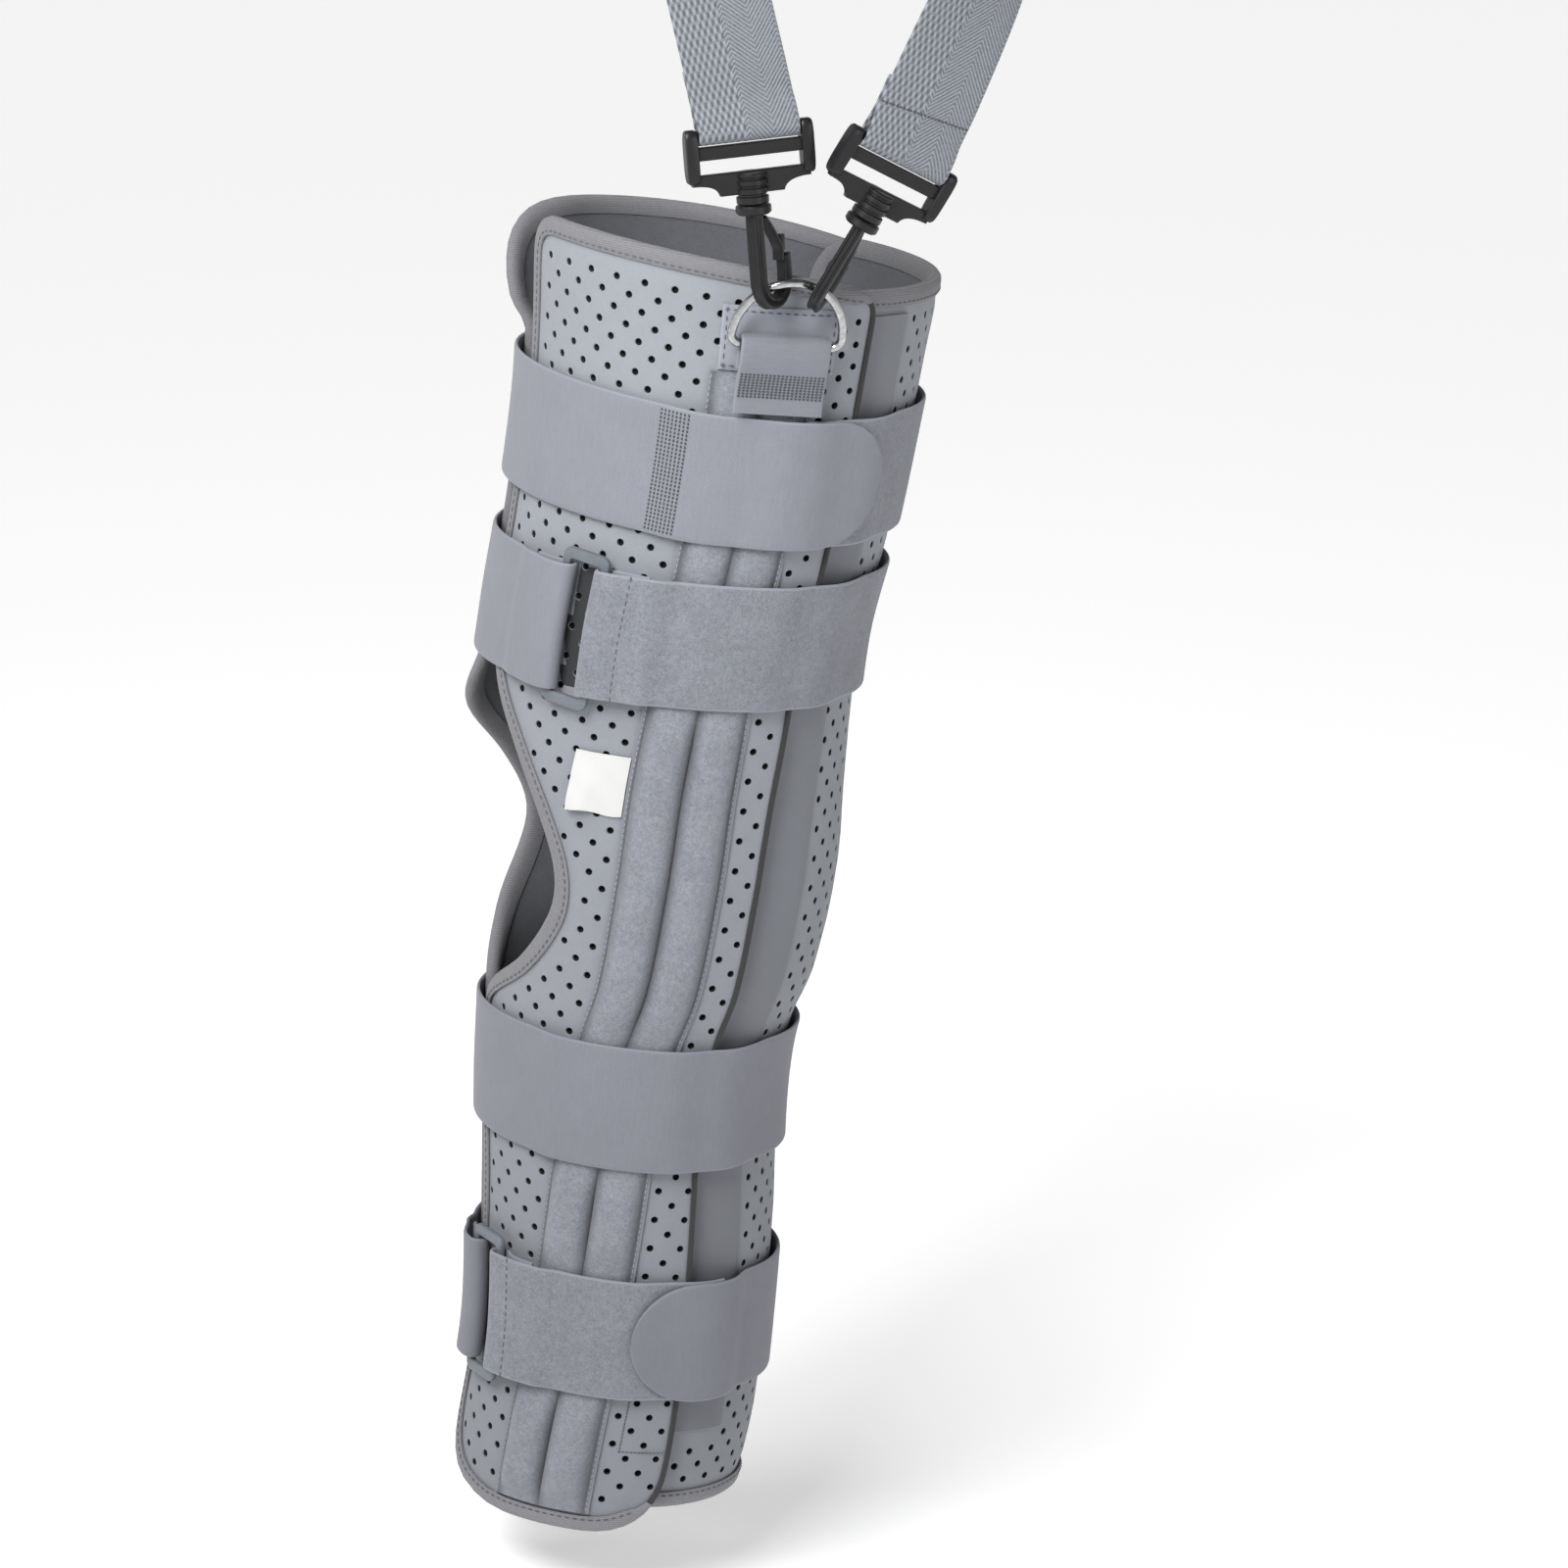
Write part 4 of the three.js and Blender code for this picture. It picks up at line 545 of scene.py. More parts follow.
# painted shade: the tab is a darker copy of the strap cloth
painted_shade_tab_cloth = twill_cloth("ring_tab_painted_shade_cloth", shade(STRAP_GREY, 0.9))
strip_cloth = woven_cloth("smooth_strip_cloth", STRIP_GREY, 0.45, 0.06, 0.05, roughness=0.6)
lining_cloth = woven_cloth("lining_cloth", LINING_GREY, 0.8, 0.15, 0.15)
label_cloth = woven_cloth("label_cloth", LABEL_WHITE, 0.4, 0.03, 0.05, roughness=0.75, sheen=0.05)
loop_cloth = brushed_cloth("brushed_loop_cloth", BRUSHED_GREY)
cover_cloth = brushed_cloth("brushed_cover_cloth", shade(BRUSHED_GREY, 1.1), seams=(0.0, TUBE_HALF))
# painted shadow: near-black panel cloth where it shows in the buckle gaps, for the deep shade between the
# folds
gap_shadow_cloth = woven_cloth("gap_shadow_cloth", shade(CLOTH_GREY, 0.13), 0.55, 0.1, 0.12)
edge_tape = ribbed_tape("edge_tape", BINDING_GREY)
# painted shade: the tape along the rear edge of a side panel is near black for the shadow there
painted_shade_tape = ribbed_tape("shaded_edge_tape", shade(BINDING_GREY, 0.17))
hole_dark = woven_cloth("hole_shadow", HOLE_DARK, 0.6, 0.2, 0.05, roughness=0.95, sheen=0.0)
# painted highlight: the pressed rim of each hole is a lighter grey than the cloth
hole_rim_highlight = woven_cloth("hole_rim_highlight", shade(CLOTH_GREY, 1.1), 0.6, 0.05, 0.05)
grey_thread = woven_cloth("grey_thread", GREY_THREAD, 0.3, 0.1, 0.05)
pale_thread = woven_cloth("pale_thread", PALE_THREAD, 0.3, 0.1, 0.05)
dark_thread = woven_cloth("dark_thread", DARK_THREAD, 0.3, 0.1, 0.05)
print("cloth finishes made:", len(bpy.data.materials))

# %% [markdown]
# ## Panels and edge tape
# Each panel is cut flat with rounded corners, padded, and bound with a folded tape. The outline is laid out
# on the flat cloth first: distance round the form against height. The panel's grid then runs between the
# outline's two sides at every height, and a point's distance from the edge presses the padding down at the
# seam.

# %% Outlines of the panels
BINDING_WIDTH, BINDING_PROUD, REAR_TAPE_WIDTH = 7, 0.5, 2.6
SIDE_TOP, MEDIAL_TOP, SIDE_BOTTOM = 243, 237, -279
TOP_SLANT, SLANT_START, FLARE_REACH = 13, 185, 36
BACK_TOP, BACK_BOTTOM, BACK_LAP, BACK_CORNER = 229, -270, 27, 24
LATERAL_CORNERS = (46, 17, 14, 30)
MEDIAL_CORNERS = (46, 36, 14, 30)
EDGE_STEP = 4


def trimmed(edge, start_cut, end_cut):
    """An edge with a length cut off at each end."""
    lengths = lengths_along(edge)
    ends = np.array([start_cut, lengths[-1] - end_cut])
    first, last = np.stack([np.interp(ends, lengths, edge[:, 0]), np.interp(ends, lengths, edge[:, 1])], -1)
    inside = edge[(lengths > ends[0] + 1) & (lengths < ends[1] - 1)]
    return np.vstack([first, inside, last])


def rounded_outline(edges, radii, steps=9):
    """A closed outline from edges that meet, with its corners rounded."""
    outline = []
    for i, edge in enumerate(edges):
        following = edges[(i + 1) % len(edges)]
        radius = radii[(i + 1) % len(edges)]
        line = trimmed(edge, radii[i], radius)
        t = np.linspace(0, 1, steps + 1)[1:-1, None]
        after = trimmed(following, radius, 0)[0]
        outline += [line, line[-1] * (1 - t) ** 2 + following[0] * 2 * t * (1 - t) + after * t**2]
    return np.vstack(outline)


def inset(outline, distance):
    """An outline moved inwards."""
    along = unit(np.roll(outline, -1, axis=0) - np.roll(outline, 1, axis=0))
    return outline + np.stack([along[:, 1], -along[:, 0]], -1) * distance


def long_edge(low, high, angle_at):
    """The flat line of an edge that runs up the splint."""
    z = np.linspace(low, high, int((high - low) / EDGE_STEP) + 1)
    return np.stack([angle_at(z) * mm_per_degree(z), z], -1)


def cross_edge(start, finish):
    """A straight edge between two corners."""
    t = np.linspace(0, 1, int(np.linalg.norm(finish - start) / EDGE_STEP) + 1)[:, None]
    return start * (1 - t) + finish * t


def panel_outline(low, high, near, far, corners):
    """The flat outline of a panel between two long edges."""
    front, rear = long_edge(low, high, near), long_edge(low, high, far)[::-1]
    edges = [front, cross_edge(front[-1], rear[0]), rear, cross_edge(rear[-1], front[0])]
    return rounded_outline(edges, corners)


def back_near(z):
    """Angle of the back panel's edge, under the side panel."""
    return rear_angle(z) - BACK_LAP / mm_per_degree(z)


OUTLINES = {
    "lateral": panel_outline(SIDE_BOTTOM, SIDE_TOP, front_angle, rear_angle, LATERAL_CORNERS),
    "medial": panel_outline(SIDE_BOTTOM, MEDIAL_TOP, medial_front_angle, rear_angle, MEDIAL_CORNERS),
    "back": panel_outline(BACK_BOTTOM, BACK_TOP, back_near, lambda z: 360 - back_near(z), (BACK_CORNER,) * 4),
}
print("outline points:", {name: len(outline) for name, outline in OUTLINES.items()})

# %% Places on the panels
def side_place(sign, front, flare):
    """Places a point of a side panel, whose top slopes to the rear and whose front corners stand out."""

    def place(angle, z, depth):
        start, end = front(z), rear_angle(z)
        backward = np.clip((angle - start) / (end - start), 0, 1)
        height = z - TOP_SLANT * backward**2 * smooth_step(SLANT_START, SIDE_TOP, z)
        nearness = 1 - smooth_step(0, FLARE_REACH, (angle - start) * mm_per_degree(z))
        out = np.maximum(column_at(flare, 1, z), 0) * nearness
        return on_form(sign * angle, height, SIDE_LIFT + depth + out)

    return place


PLACES = {
    "lateral": side_place(1, front_angle, LATERAL_FLARE),
    "medial": side_place(-1, medial_front_angle, MEDIAL_FLARE),
    "back": on_form,
}
print("panels to place:", list(PLACES))

# %% Rows and faces of a panel
DISTANCE_BATCHES = 12
REAR_FADE = (0.5, 12)
LEVEL_TRIM, END_REACH = 0.05, 22
END_LEVELS = np.array([0, 0.5, 1.5, 3, 5, 7.5, 10.5, 14, 18])
CLOTH_INSET, LINING_DEPTH = 2.5, 0.15
PRESS_DEPTH, PRESS_CENTRE, PRESS_REACH, TUCK_DEPTH, TUCK_FROM = 0.75, 0.5, 3.2, 0.3, -1
RIPPLE_HEIGHT = 0.1


def crossing(outline, z):
    """Where a level line enters and leaves an outline."""
    here, after = outline, np.roll(outline, -1, axis=0)
    hits = (here[:, 1] - z) * (after[:, 1] - z) <= 0
    hits &= here[:, 1] != after[:, 1]
    t = (z - here[hits, 1]) / (after[hits, 1] - here[hits, 1])
    x = here[hits, 0] + (after[hits, 0] - here[hits, 0]) * t
    return x.min(), x.max()


def edge_distance(outline, points):
    """Distance of flat places from an outline, in batches to spare memory."""
    found = []
    for part in np.array_split(points.reshape(-1, 2), DISTANCE_BATCHES):
        found.append(np.linalg.norm(outline[None] - part[:, None], axis=2).min(1))
    return np.concatenate(found).reshape(points.shape[:-1])


def rear_nearness(name, points):
    """One on the rear edge of a side panel, falling to nothing a little way in."""
    if name == "back":
        return np.zeros(points.shape[:-1])
    x, z = points[..., 0], points[..., 1]
    return 1 - smooth_step(*REAR_FADE, rear_angle(z) * mm_per_degree(z) - x)


def tape_width(name, points):
    """Width of the edge tape, which is narrow along the rear edge of a side panel."""
    return BINDING_WIDTH - (BINDING_WIDTH - REAR_TAPE_WIDTH) * rear_nearness(name, points)


def panel_levels(outline):
    """Heights of a panel's rows, close together at its round ends."""
    low, high = outline[:, 1].min() + LEVEL_TRIM, outline[:, 1].max() - LEVEL_TRIM
    steps = int((high - low - 2 * END_REACH) / EDGE_STEP)
    middle = np.linspace(low + END_REACH, high - END_REACH, steps + 1)
    return np.concatenate([low + END_LEVELS, middle, (high - END_LEVELS)[::-1]])


def panel_faces_at(name, columns):
    """Inner and outer grids of a panel, its padding pressed down beside the tape."""
    cloth = inset(OUTLINES[name], CLOTH_INSET)
    levels = panel_levels(cloth)
    spans = np.array([crossing(cloth, z) for z in levels])
    share = np.linspace(0, 1, columns + 1)
    x = spans[:, :1] + (spans[:, 1:] - spans[:, :1]) * share
    z = np.repeat(levels[:, None], columns + 1, axis=1)
    angle = x / mm_per_degree(z)
    spots = np.stack([x, z], -1)
    beyond = edge_distance(OUTLINES[name], spots) - tape_width(name, spots)
    pressed = PRESS_DEPTH * np.exp(-(((beyond - PRESS_CENTRE) / PRESS_REACH) ** 2))
    pressed += TUCK_DEPTH * (beyond < TUCK_FROM)
    ripple = RIPPLE_HEIGHT * np.sin(x / 7.3 + z / 9.1) * np.sin(z / 11.7 - x / 15.1)
    inner = PLACES[name](angle, z, LINING_DEPTH)
    outer = PLACES[name](angle, z, PANEL_WALL - pressed + ripple)
    return inner, outer, angle, z


row_counts = {name: len(panel_levels(inset(outline, CLOTH_INSET))) for name, outline in OUTLINES.items()}
print("rows of each panel:", row_counts)

# %% Edge tape round each panel
TAPE_SECTION = [  # distance in from the edge, depth
    (7, 3.75), (7, 4.35), (6, 4.6), (3.4, 4.65), (1.5, 4.3), (0.4, 3.3), (0, 2),
    (0.4, 0.7), (1.5, -0.3), (3.4, -0.65), (6, -0.6), (7, -0.35), (7, 0.25), (5, 2),
]
SHADED_FROM = 0.8


def tape_piece(name):
    """Tape folded round a panel's edge, which lies in shadow along the rear edge."""
    outline = OUTLINES[name]
    width = tape_width(name, outline)
    rings = []
    for distance, depth in TAPE_SECTION:
        line = inset(outline, (distance * width / BINDING_WIDTH)[:, None])
        rings.append(PLACES[name](line[:, 0] / mm_per_degree(line[:, 1]), line[:, 1], depth))
    rings = np.stack(rings, axis=1)
    faces = ring_faces(len(outline), len(TAPE_SECTION), looped=True)
    tape = mesh_piece(f"{name}_edge_tape", rings, faces, [edge_tape, painted_shade_tape])
    shaded = rear_nearness(name, outline) > SHADED_FROM
    for face in tape.data.polygons:
        face.material_index = int(all(shaded[corner // len(TAPE_SECTION)] for corner in face.vertices))
    return tape


for name in OUTLINES:
    dress(tape_piece(name), "binding", f"{name}_binding")
print("edge tapes made:", len(OUTLINES))

# %% [markdown]
# ## Perforations
# The panels are punched all over on a diamond grid, twelve millimetres each way with one more hole in the
# middle. Drawing dots would look flat from the side, so the holes are real: a node tree sets one punch on
# every grid point, facing the cloth, and a boolean takes all the punches out of the panel in one go.

# %% Punch
HOLE_PITCH, HOLE_SIDES = 12, 10
PUNCH_PROFILE = [(1.95, 0.5), (1.38, -0.4), (1.25, -2.9)]  # radius, depth


def turned(name, profile, material, sides):
    """A turned solid from (radius, height) pairs off the axis."""
    turn = np.arange(sides) * 2 * math.pi / sides
    circle = np.stack([np.cos(turn), np.sin(turn)], -1)
    rings = [np.column_stack([circle * radius, np.full(sides, height)]) for radius, height in profile]
    last = (len(rings) - 1) * sides
    faces = ring_faces(len(rings), sides)[:last]
    faces += [tuple(range(sides)), tuple(range(last, last + sides))]
    return mesh_piece(name, rings, faces, material, sharp=30)


def punch_object():
    """A short peg with a wide mouth, whose first ring of faces makes the hole's rim."""
    punch = turned("punch", PUNCH_PROFILE, hole_dark, HOLE_SIDES)
    rim = punch.data.attributes.new("rim", "BOOLEAN", "FACE")
    for face in punch.data.polygons:
        rim.data[face.index].value = face.index < HOLE_SIDES
    return punch


punch = punch_object()
print("punch faces:", len(punch.data.polygons))

# %% Node tree that sets the punches
def new_tree(name, inputs):
    """An empty geometry tree with a mesh in, a mesh out and named inputs."""
    tree = bpy.data.node_groups.new(name, "GeometryNodeTree")
    tree.interface.new_socket("Geometry", in_out="INPUT", socket_type="NodeSocketGeometry")
    for label, kind in inputs:
        tree.interface.new_socket(label, in_out="INPUT", socket_type="NodeSocket" + kind)
    tree.interface.new_socket("Geometry", in_out="OUTPUT", socket_type="NodeSocketGeometry")
    return tree, tree.nodes.new("NodeGroupInput"), tree.nodes.new("NodeGroupOutput")


def named_attribute(tree, name, kind):
    """The socket of a note that the mesh carries."""
    node = tree.nodes.new("GeometryNodeInputNamedAttribute")
    node.data_type = kind
    node.inputs["Name"].default_value = name
    return node.outputs["Attribute"]


def punch_tree():
    """A tree that sets one punch on every point, turned to the way the point faces."""
    inputs = [("Punch", "Object"), ("Size", "Float"), ("Wall", "Material"), ("Rim", "Material")]
    tree, source, result = new_tree("punched_grid", inputs)
    info = tree.nodes.new("GeometryNodeObjectInfo")
    align = tree.nodes.new("FunctionNodeAlignRotationToVector")
    align.axis = "Z"
    spread = tree.nodes.new("GeometryNodeInstanceOnPoints")
    real = tree.nodes.new("GeometryNodeRealizeInstances")
    walls, rims = (tree.nodes.new("GeometryNodeSetMaterial") for _ in range(2))
    link = tree.links.new
    link(source.outputs["Punch"], info.inputs["Object"])
    link(named_attribute(tree, "facing", "FLOAT_VECTOR"), align.inputs["Vector"])
    link(source.outputs["Geometry"], spread.inputs["Points"])
    link(info.outputs["Geometry"], spread.inputs["Instance"])
    link(align.outputs["Rotation"], spread.inputs["Rotation"])
    link(source.outputs["Size"], spread.inputs["Scale"])
    link(spread.outputs["Instances"], real.inputs["Geometry"])
    link(real.outputs["Geometry"], walls.inputs["Geometry"])
    link(source.outputs["Wall"], walls.inputs["Material"])
    link(walls.outputs["Geometry"], rims.inputs["Geometry"])
    link(named_attribute(tree, "rim", "BOOLEAN"), rims.inputs["Selection"])
    link(source.outputs["Rim"], rims.inputs["Material"])
    link(rims.outputs["Geometry"], result.inputs["Geometry"])
    return tree


def node_piece(name, source, tree, values):
    """Runs a tree on an object, with its inputs set by identifier, and keeps the result as a plain mesh."""
    modifier = source.modifiers.new("nodes", "NODES")
    modifier.node_group = tree
    for item in tree.interface.items_tree:
        if item.in_out == "INPUT" and item.name in values:
            modifier[item.identifier] = values[item.name]
    source.update_tag()
    shown = source.evaluated_get(bpy.context.evaluated_depsgraph_get())
    mesh = bpy.data.meshes.new_from_object(shown)
    source.modifiers.clear()
    bpy.data.objects.remove(source)
    return add_object(name, mesh)


def facing_points(name, points, facing, edges=()):
    """A mesh of bare points, each with the direction it faces."""
    mesh = bpy.data.meshes.new(name)
    mesh.from_pydata((np.asarray(points) * MM).tolist(), edges, [])
    note = mesh.attributes.new("facing", "FLOAT_VECTOR", "POINT")
    note.data.foreach_set("vector", np.asarray(facing, np.float32).ravel())
    return add_object(name, mesh)


punches_set = punch_tree()
print("punch tree nodes:", len(punches_set.nodes))

# %% Points of the diamond grid
STRAP_HALF = 25
THIGH_UPPER_Z, THIGH_LOWER_Z, CALF_UPPER_Z, CALF_LOWER_Z = 156, 90.5, -98, -194
STRAP_HEIGHTS = np.array([THIGH_UPPER_Z, THIGH_LOWER_Z, CALF_UPPER_Z, CALF_LOWER_Z])
COVER_HALF, COVER_BOTTOM, COVER_TOP = 20, -270.5, 197
STRIP_SHOWN, BELOW_STRIPS = 26, -240
THIGH_BUCKLE_ANGLE, CALF_BUCKLE_ANGLE, BUCKLE_GAP, GAP_MARGIN = 60.5, 33, 6, 2
BUCKLES = (("thigh", THIGH_BUCKLE_ANGLE, THIGH_LOWER_Z), ("calf", CALF_BUCKLE_ANGLE, CALF_LOWER_Z))
GRID_COLUMNS, GRID_ROWS = 40, 48
HOLE_ROOM, END_ROOM, UNDER_STRAP, STRIP_CLEAR, UNDER_LAP, UNDER_COVER, COVER_CLEAR = 1.5, 10, 5, 1.8, 2, 1, 4
REAR_FROM = 0.2


def surface_facing(place, angle, z, depth, step=0.2):
    """The way out from a placed surface, from small steps across and along it."""
    across = place(angle + step, z, depth) - place(angle - step, z, depth)
    along = place(angle, z + step, depth) - place(angle, z - step, depth)
    normal = unit(np.cross(along, across))
    outward = place(angle, z, depth + 1) - place(angle, z, depth)
    return normal * np.sign((normal * outward).sum(-1))[..., None]


def in_buckle_gap(angle, z):
    """True where the panel shows between the two folds at a buckle."""
    shown = False
    for _, buckle, height in BUCKLES:
        shown |= (np.abs(angle - buckle) < BUCKLE_GAP) & (np.abs(z - height) < STRAP_HALF + GAP_MARGIN)
    return shown


def diamond_grid(name):
    """Angles and heights of the holes that show on a panel."""
    outline, half = OUTLINES[name], HOLE_PITCH / 2
    columns, rows = np.arange(-GRID_COLUMNS, GRID_COLUMNS + 1), np.arange(-GRID_ROWS, GRID_ROWS)
    column, row = (index.ravel() for index in np.meshgrid(columns, rows))
    keep = (column + row) % 2 == 0
    u, z = column[keep] * half, row[keep] * half
    angle = (180 if name == "back" else stay_angle(z)) + u / mm_per_degree(z)
    spots = np.stack([angle * mm_per_degree(z), z], -1)
    shown = (z > outline[:, 1].min() + END_ROOM) & (z < outline[:, 1].max() - END_ROOM)
    for i in np.flatnonzero(shown):
        start, end = crossing(outline, z[i])
        shown[i] = start < spots[i, 0] < end
    tape = np.where(rear_nearness(name, spots[shown]) > REAR_FROM, REAR_TAPE_WIDTH, BINDING_WIDTH)
    shown[shown] &= edge_distance(outline, spots[shown]) > tape + HOLE_ROOM
    strapped = np.abs(z[:, None] - STRAP_HEIGHTS).min(1) < STRAP_HALF - UNDER_STRAP
    shown &= ~strapped | (in_buckle_gap(angle, z) & (name == "lateral"))
    if name == "back":
        from_lap = (180 - rear_angle(z) - np.abs(angle - 180)) * mm_per_degree(z)
        shown &= (from_lap > STRIP_SHOWN + STRIP_CLEAR) | (z < BELOW_STRIPS)
        shown &= from_lap > -UNDER_LAP
    else:
        shown &= (np.abs(u) > COVER_HALF - UNDER_COVER) | (z > COVER_TOP + COVER_CLEAR)
    return angle[shown], z[shown]


HOLES = {name: diamond_grid(name) for name in OUTLINES}
print("holes that show:", {name: len(angle) for name, (angle, z) in HOLES.items()})

# %% Punch the panels
PANEL_LENGTHS = ("lower", "middle", "upper")
PANEL_CLOTHS = [perforated_cloth, lining_cloth, gap_shadow_cloth, hole_dark, hole_rim_highlight]
LINING, GAP_SHADOW = 1, 2
for name, columns in (("lateral", 40), ("medial", 44), ("back", 60)):
    inner, outer, angle, z = panel_faces_at(name, columns)
    panel = sheet_piece(f"{name}_padded_panel", inner, outer, PANEL_CLOTHS)
    sides = 2 * (columns + 1)
    # outer faces in the buckle gaps take the painted shadow cloth
    gap_shadowed = in_buckle_gap(angle, z) & (name == "lateral")
    for face in panel.data.polygons:
        row, side = np.divmod(np.array(face.vertices), sides)
        if (side <= columns).all():
            face.material_index = LINING
        elif (side > columns).all() and gap_shadowed[row, sides - 1 - side].all():
            face.material_index = GAP_SHADOW
    angle, z = HOLES[name]
    spots = PLACES[name](angle, z, PANEL_WALL)
    facing = surface_facing(PLACES[name], angle, z, PANEL_WALL)
    grid = facing_points(f"{name}_grid", spots, facing)
    values = {"Punch": punch, "Size": 1.0, "Wall": hole_dark, "Rim": hole_rim_highlight}
    punches = node_piece(f"{name}_punches", grid, punches_set, values)
    soften(combine(panel, punches, "DIFFERENCE"), sharp=30)
    dress(panel, "cloth", *(f"{name}_panel_{length}" for length in PANEL_LENGTHS))
    print(name, "panel:", len(z), "holes,", len(panel.data.polygons), "faces")
bpy.data.objects.remove(punch)

# %% [markdown]
# ## Fastening strips
# On the back panel two smooth dark strips show beside the side panels, where the side panels fasten. They
# are thin sheets that follow the back panel.

# %% Fastening strips
STRIP_LIFT, STRIP_WALL = PANEL_WALL + 0.5, 0.8
STRIP_BOTTOM, STRIP_TOP, STRIP_HIDDEN = -236, 219, 12
STRIP_ROUND, STRIP_THINNED = 1.5, 0.7
SIDES = (("lateral", 1), ("medial", -1))
z = np.linspace(STRIP_BOTTOM, STRIP_TOP, 115)[:, None]
across = np.linspace(-STRIP_HIDDEN, STRIP_SHOWN, 15)[None]
wall = STRIP_WALL * (1 - STRIP_THINNED * smooth_step(STRIP_SHOWN - STRIP_ROUND, STRIP_SHOWN, across))
for name, sign in SIDES:
    angle = sign * (rear_angle(z) + across / mm_per_degree(z))
    inner = on_form(angle, z, STRIP_LIFT)
    outer = on_form(angle, z, STRIP_LIFT + wall)
    strip = sheet_piece(f"{name}_fastening_strip", inner, outer, strip_cloth, across, z)
    dress(strip, "smooth", f"loop_strip_{name}")
print("fastening strips made:", len(SIDES))

# %% [markdown]
# ## Stay covers
# Each side has a sewn cover with two padded tubes for the stiff stays, in brushed cloth. A tube is round
# where it is free and pressed flatter under a strap, and the seam between the tubes is a sharp groove.

# %% Stay covers
COVER_LIFT, COVER_HEM, HEM_SUNK = PANEL_FACE + 0.5, 1, 0.25
TUBE_RISE, TUBE_PRESSED = 6, 2.2
TUBE_FOOT, TUBE_HEAD, PRESSED_RAMP, LUMPY_FROM = 12, 14, (1, 15), (3, 5)


def tube_rise(z):
    """Height of the tubes, less under a strap and nothing at the cover's ends."""
    clear = (np.abs(z[..., None] - STRAP_HEIGHTS) - STRAP_HALF).min(-1)
    ends = smooth_step(0, TUBE_FOOT, z - COVER_BOTTOM) * smooth_step(0, TUBE_HEAD, COVER_TOP - z)
    return (TUBE_PRESSED + (TUBE_RISE - TUBE_PRESSED) * smooth_step(*PRESSED_RAMP, clear)) * ends


def tube_lift(across, z):
    """Lift of the cover's outer face: two humps with slight lumps."""
    s = np.clip(np.abs(across) / TUBE_HALF, 0, 1)
    hump = np.maximum(1 - np.abs(2 * s - 1) ** 2.5, 0) ** 0.8
    lumps = 0.22 * np.sin(z / 13 + 2 * np.sign(across)) + 0.15 * np.sin(z / 5.7 + across / 9)
    rise = tube_rise(z)
    return COVER_LIFT + COVER_HEM - HEM_SUNK + (rise + lumps * smooth_step(*LUMPY_FROM, rise)) * hump


z = np.linspace(COVER_BOTTOM, COVER_TOP, 180)[:, None]
rising = np.linspace(0, 1, 19) ** 1.5 * TUBE_HALF / 2
hem = [TUBE_HALF + 1, COVER_HALF - 0.9, COVER_HALF]
half = np.concatenate([rising, (TUBE_HALF - rising)[-2::-1], hem])
across = np.concatenate([-half[::-1], half[1:]])[None]
for name, sign in SIDES:
    angle = sign * (stay_angle(z) + across / mm_per_degree(z))
    inner = on_form(angle, z, COVER_LIFT)
    outer = on_form(angle, z, tube_lift(across, z + 0 * across))
    cover = sheet_piece(f"{name}_padded_tubes", inner, outer, cover_cloth, across, z, sharp=70)
    dress(cover, "brushed", f"{name}_stay_cover")
print("stay covers made:", len(SIDES))

# %% [markdown]
# ## Straps
# A strap is a sheet swept round the splint. Its line is a list of stations: an angle, a lift and half of the
# width there. The lift comes from what lies under the strap, so it climbs over the stay covers, steps down
# onto the back panel, rises over another strap's end and folds round a buckle bar.

# %% Lifts of the straps
STRAP_WALL = 1.6
SIDE_ROOM, COVER_ROOM, BACK_ROOM, LAYER_ROOM, FOLD_ROOM = 0.9, 0.5, 1, 1.1, 0.6
STRAP_SIDE_LIFT = PANEL_FACE + BINDING_PROUD + SIDE_ROOM
STRAP_COVER_LIFT = COVER_LIFT + COVER_HEM + TUBE_PRESSED + COVER_ROOM
STRAP_BACK_LIFT = STRIP_LIFT + STRIP_WALL + BACK_ROOM
STRAP_LAYER = STRAP_WALL + LAYER_ROOM
COVER_RAMP, EDGE_RAMP, LAP_RAMP = (1, 17), (4, 32), (3, 16)
STATION_STEP, STATION_GAP = 2.4, 2
TIP_DISTANCES = np.array([0.12, 0.5, 1.2, 2.2, 3.6, 5.4, 7.6, 10.4, 14, 19, STRAP_HALF])


def strap_bed(angle, z):
    """Lift of a strap's inner face over whatever it lies on."""
    around = np.abs((angle + 180) % 360 - 180)
    from_stay = np.abs(around - stay_angle(z)) * mm_per_degree(z)
    past_edge = (around - rear_angle(z)) * mm_per_degree(z)
    beside = smooth_step(COVER_HALF + COVER_RAMP[0], COVER_HALF + COVER_RAMP[1], from_stay)
    over = (STRAP_COVER_LIFT - STRAP_SIDE_LIFT) * (1 - beside)
    return STRAP_SIDE_LIFT + over - (STRAP_SIDE_LIFT - STRAP_BACK_LIFT) * smooth_step(*EDGE_RAMP, past_edge)


def stations(angle, lift, half=STRAP_HALF):
    """Rows of angle, lift and half width."""
    return np.stack(np.broadcast_arrays(np.asarray(angle, float), lift, half), -1)


def bed_stations(start, end, z, raised=0):
    """Stations over the bed between two angles."""
    angle = np.linspace(start, end, int(abs(end - start) / STATION_STEP) + 2)
    extra = raised(angle) if callable(raised) else raised
    return stations(angle, strap_bed(angle, z) + STRAP_WALL / 2 + extra)


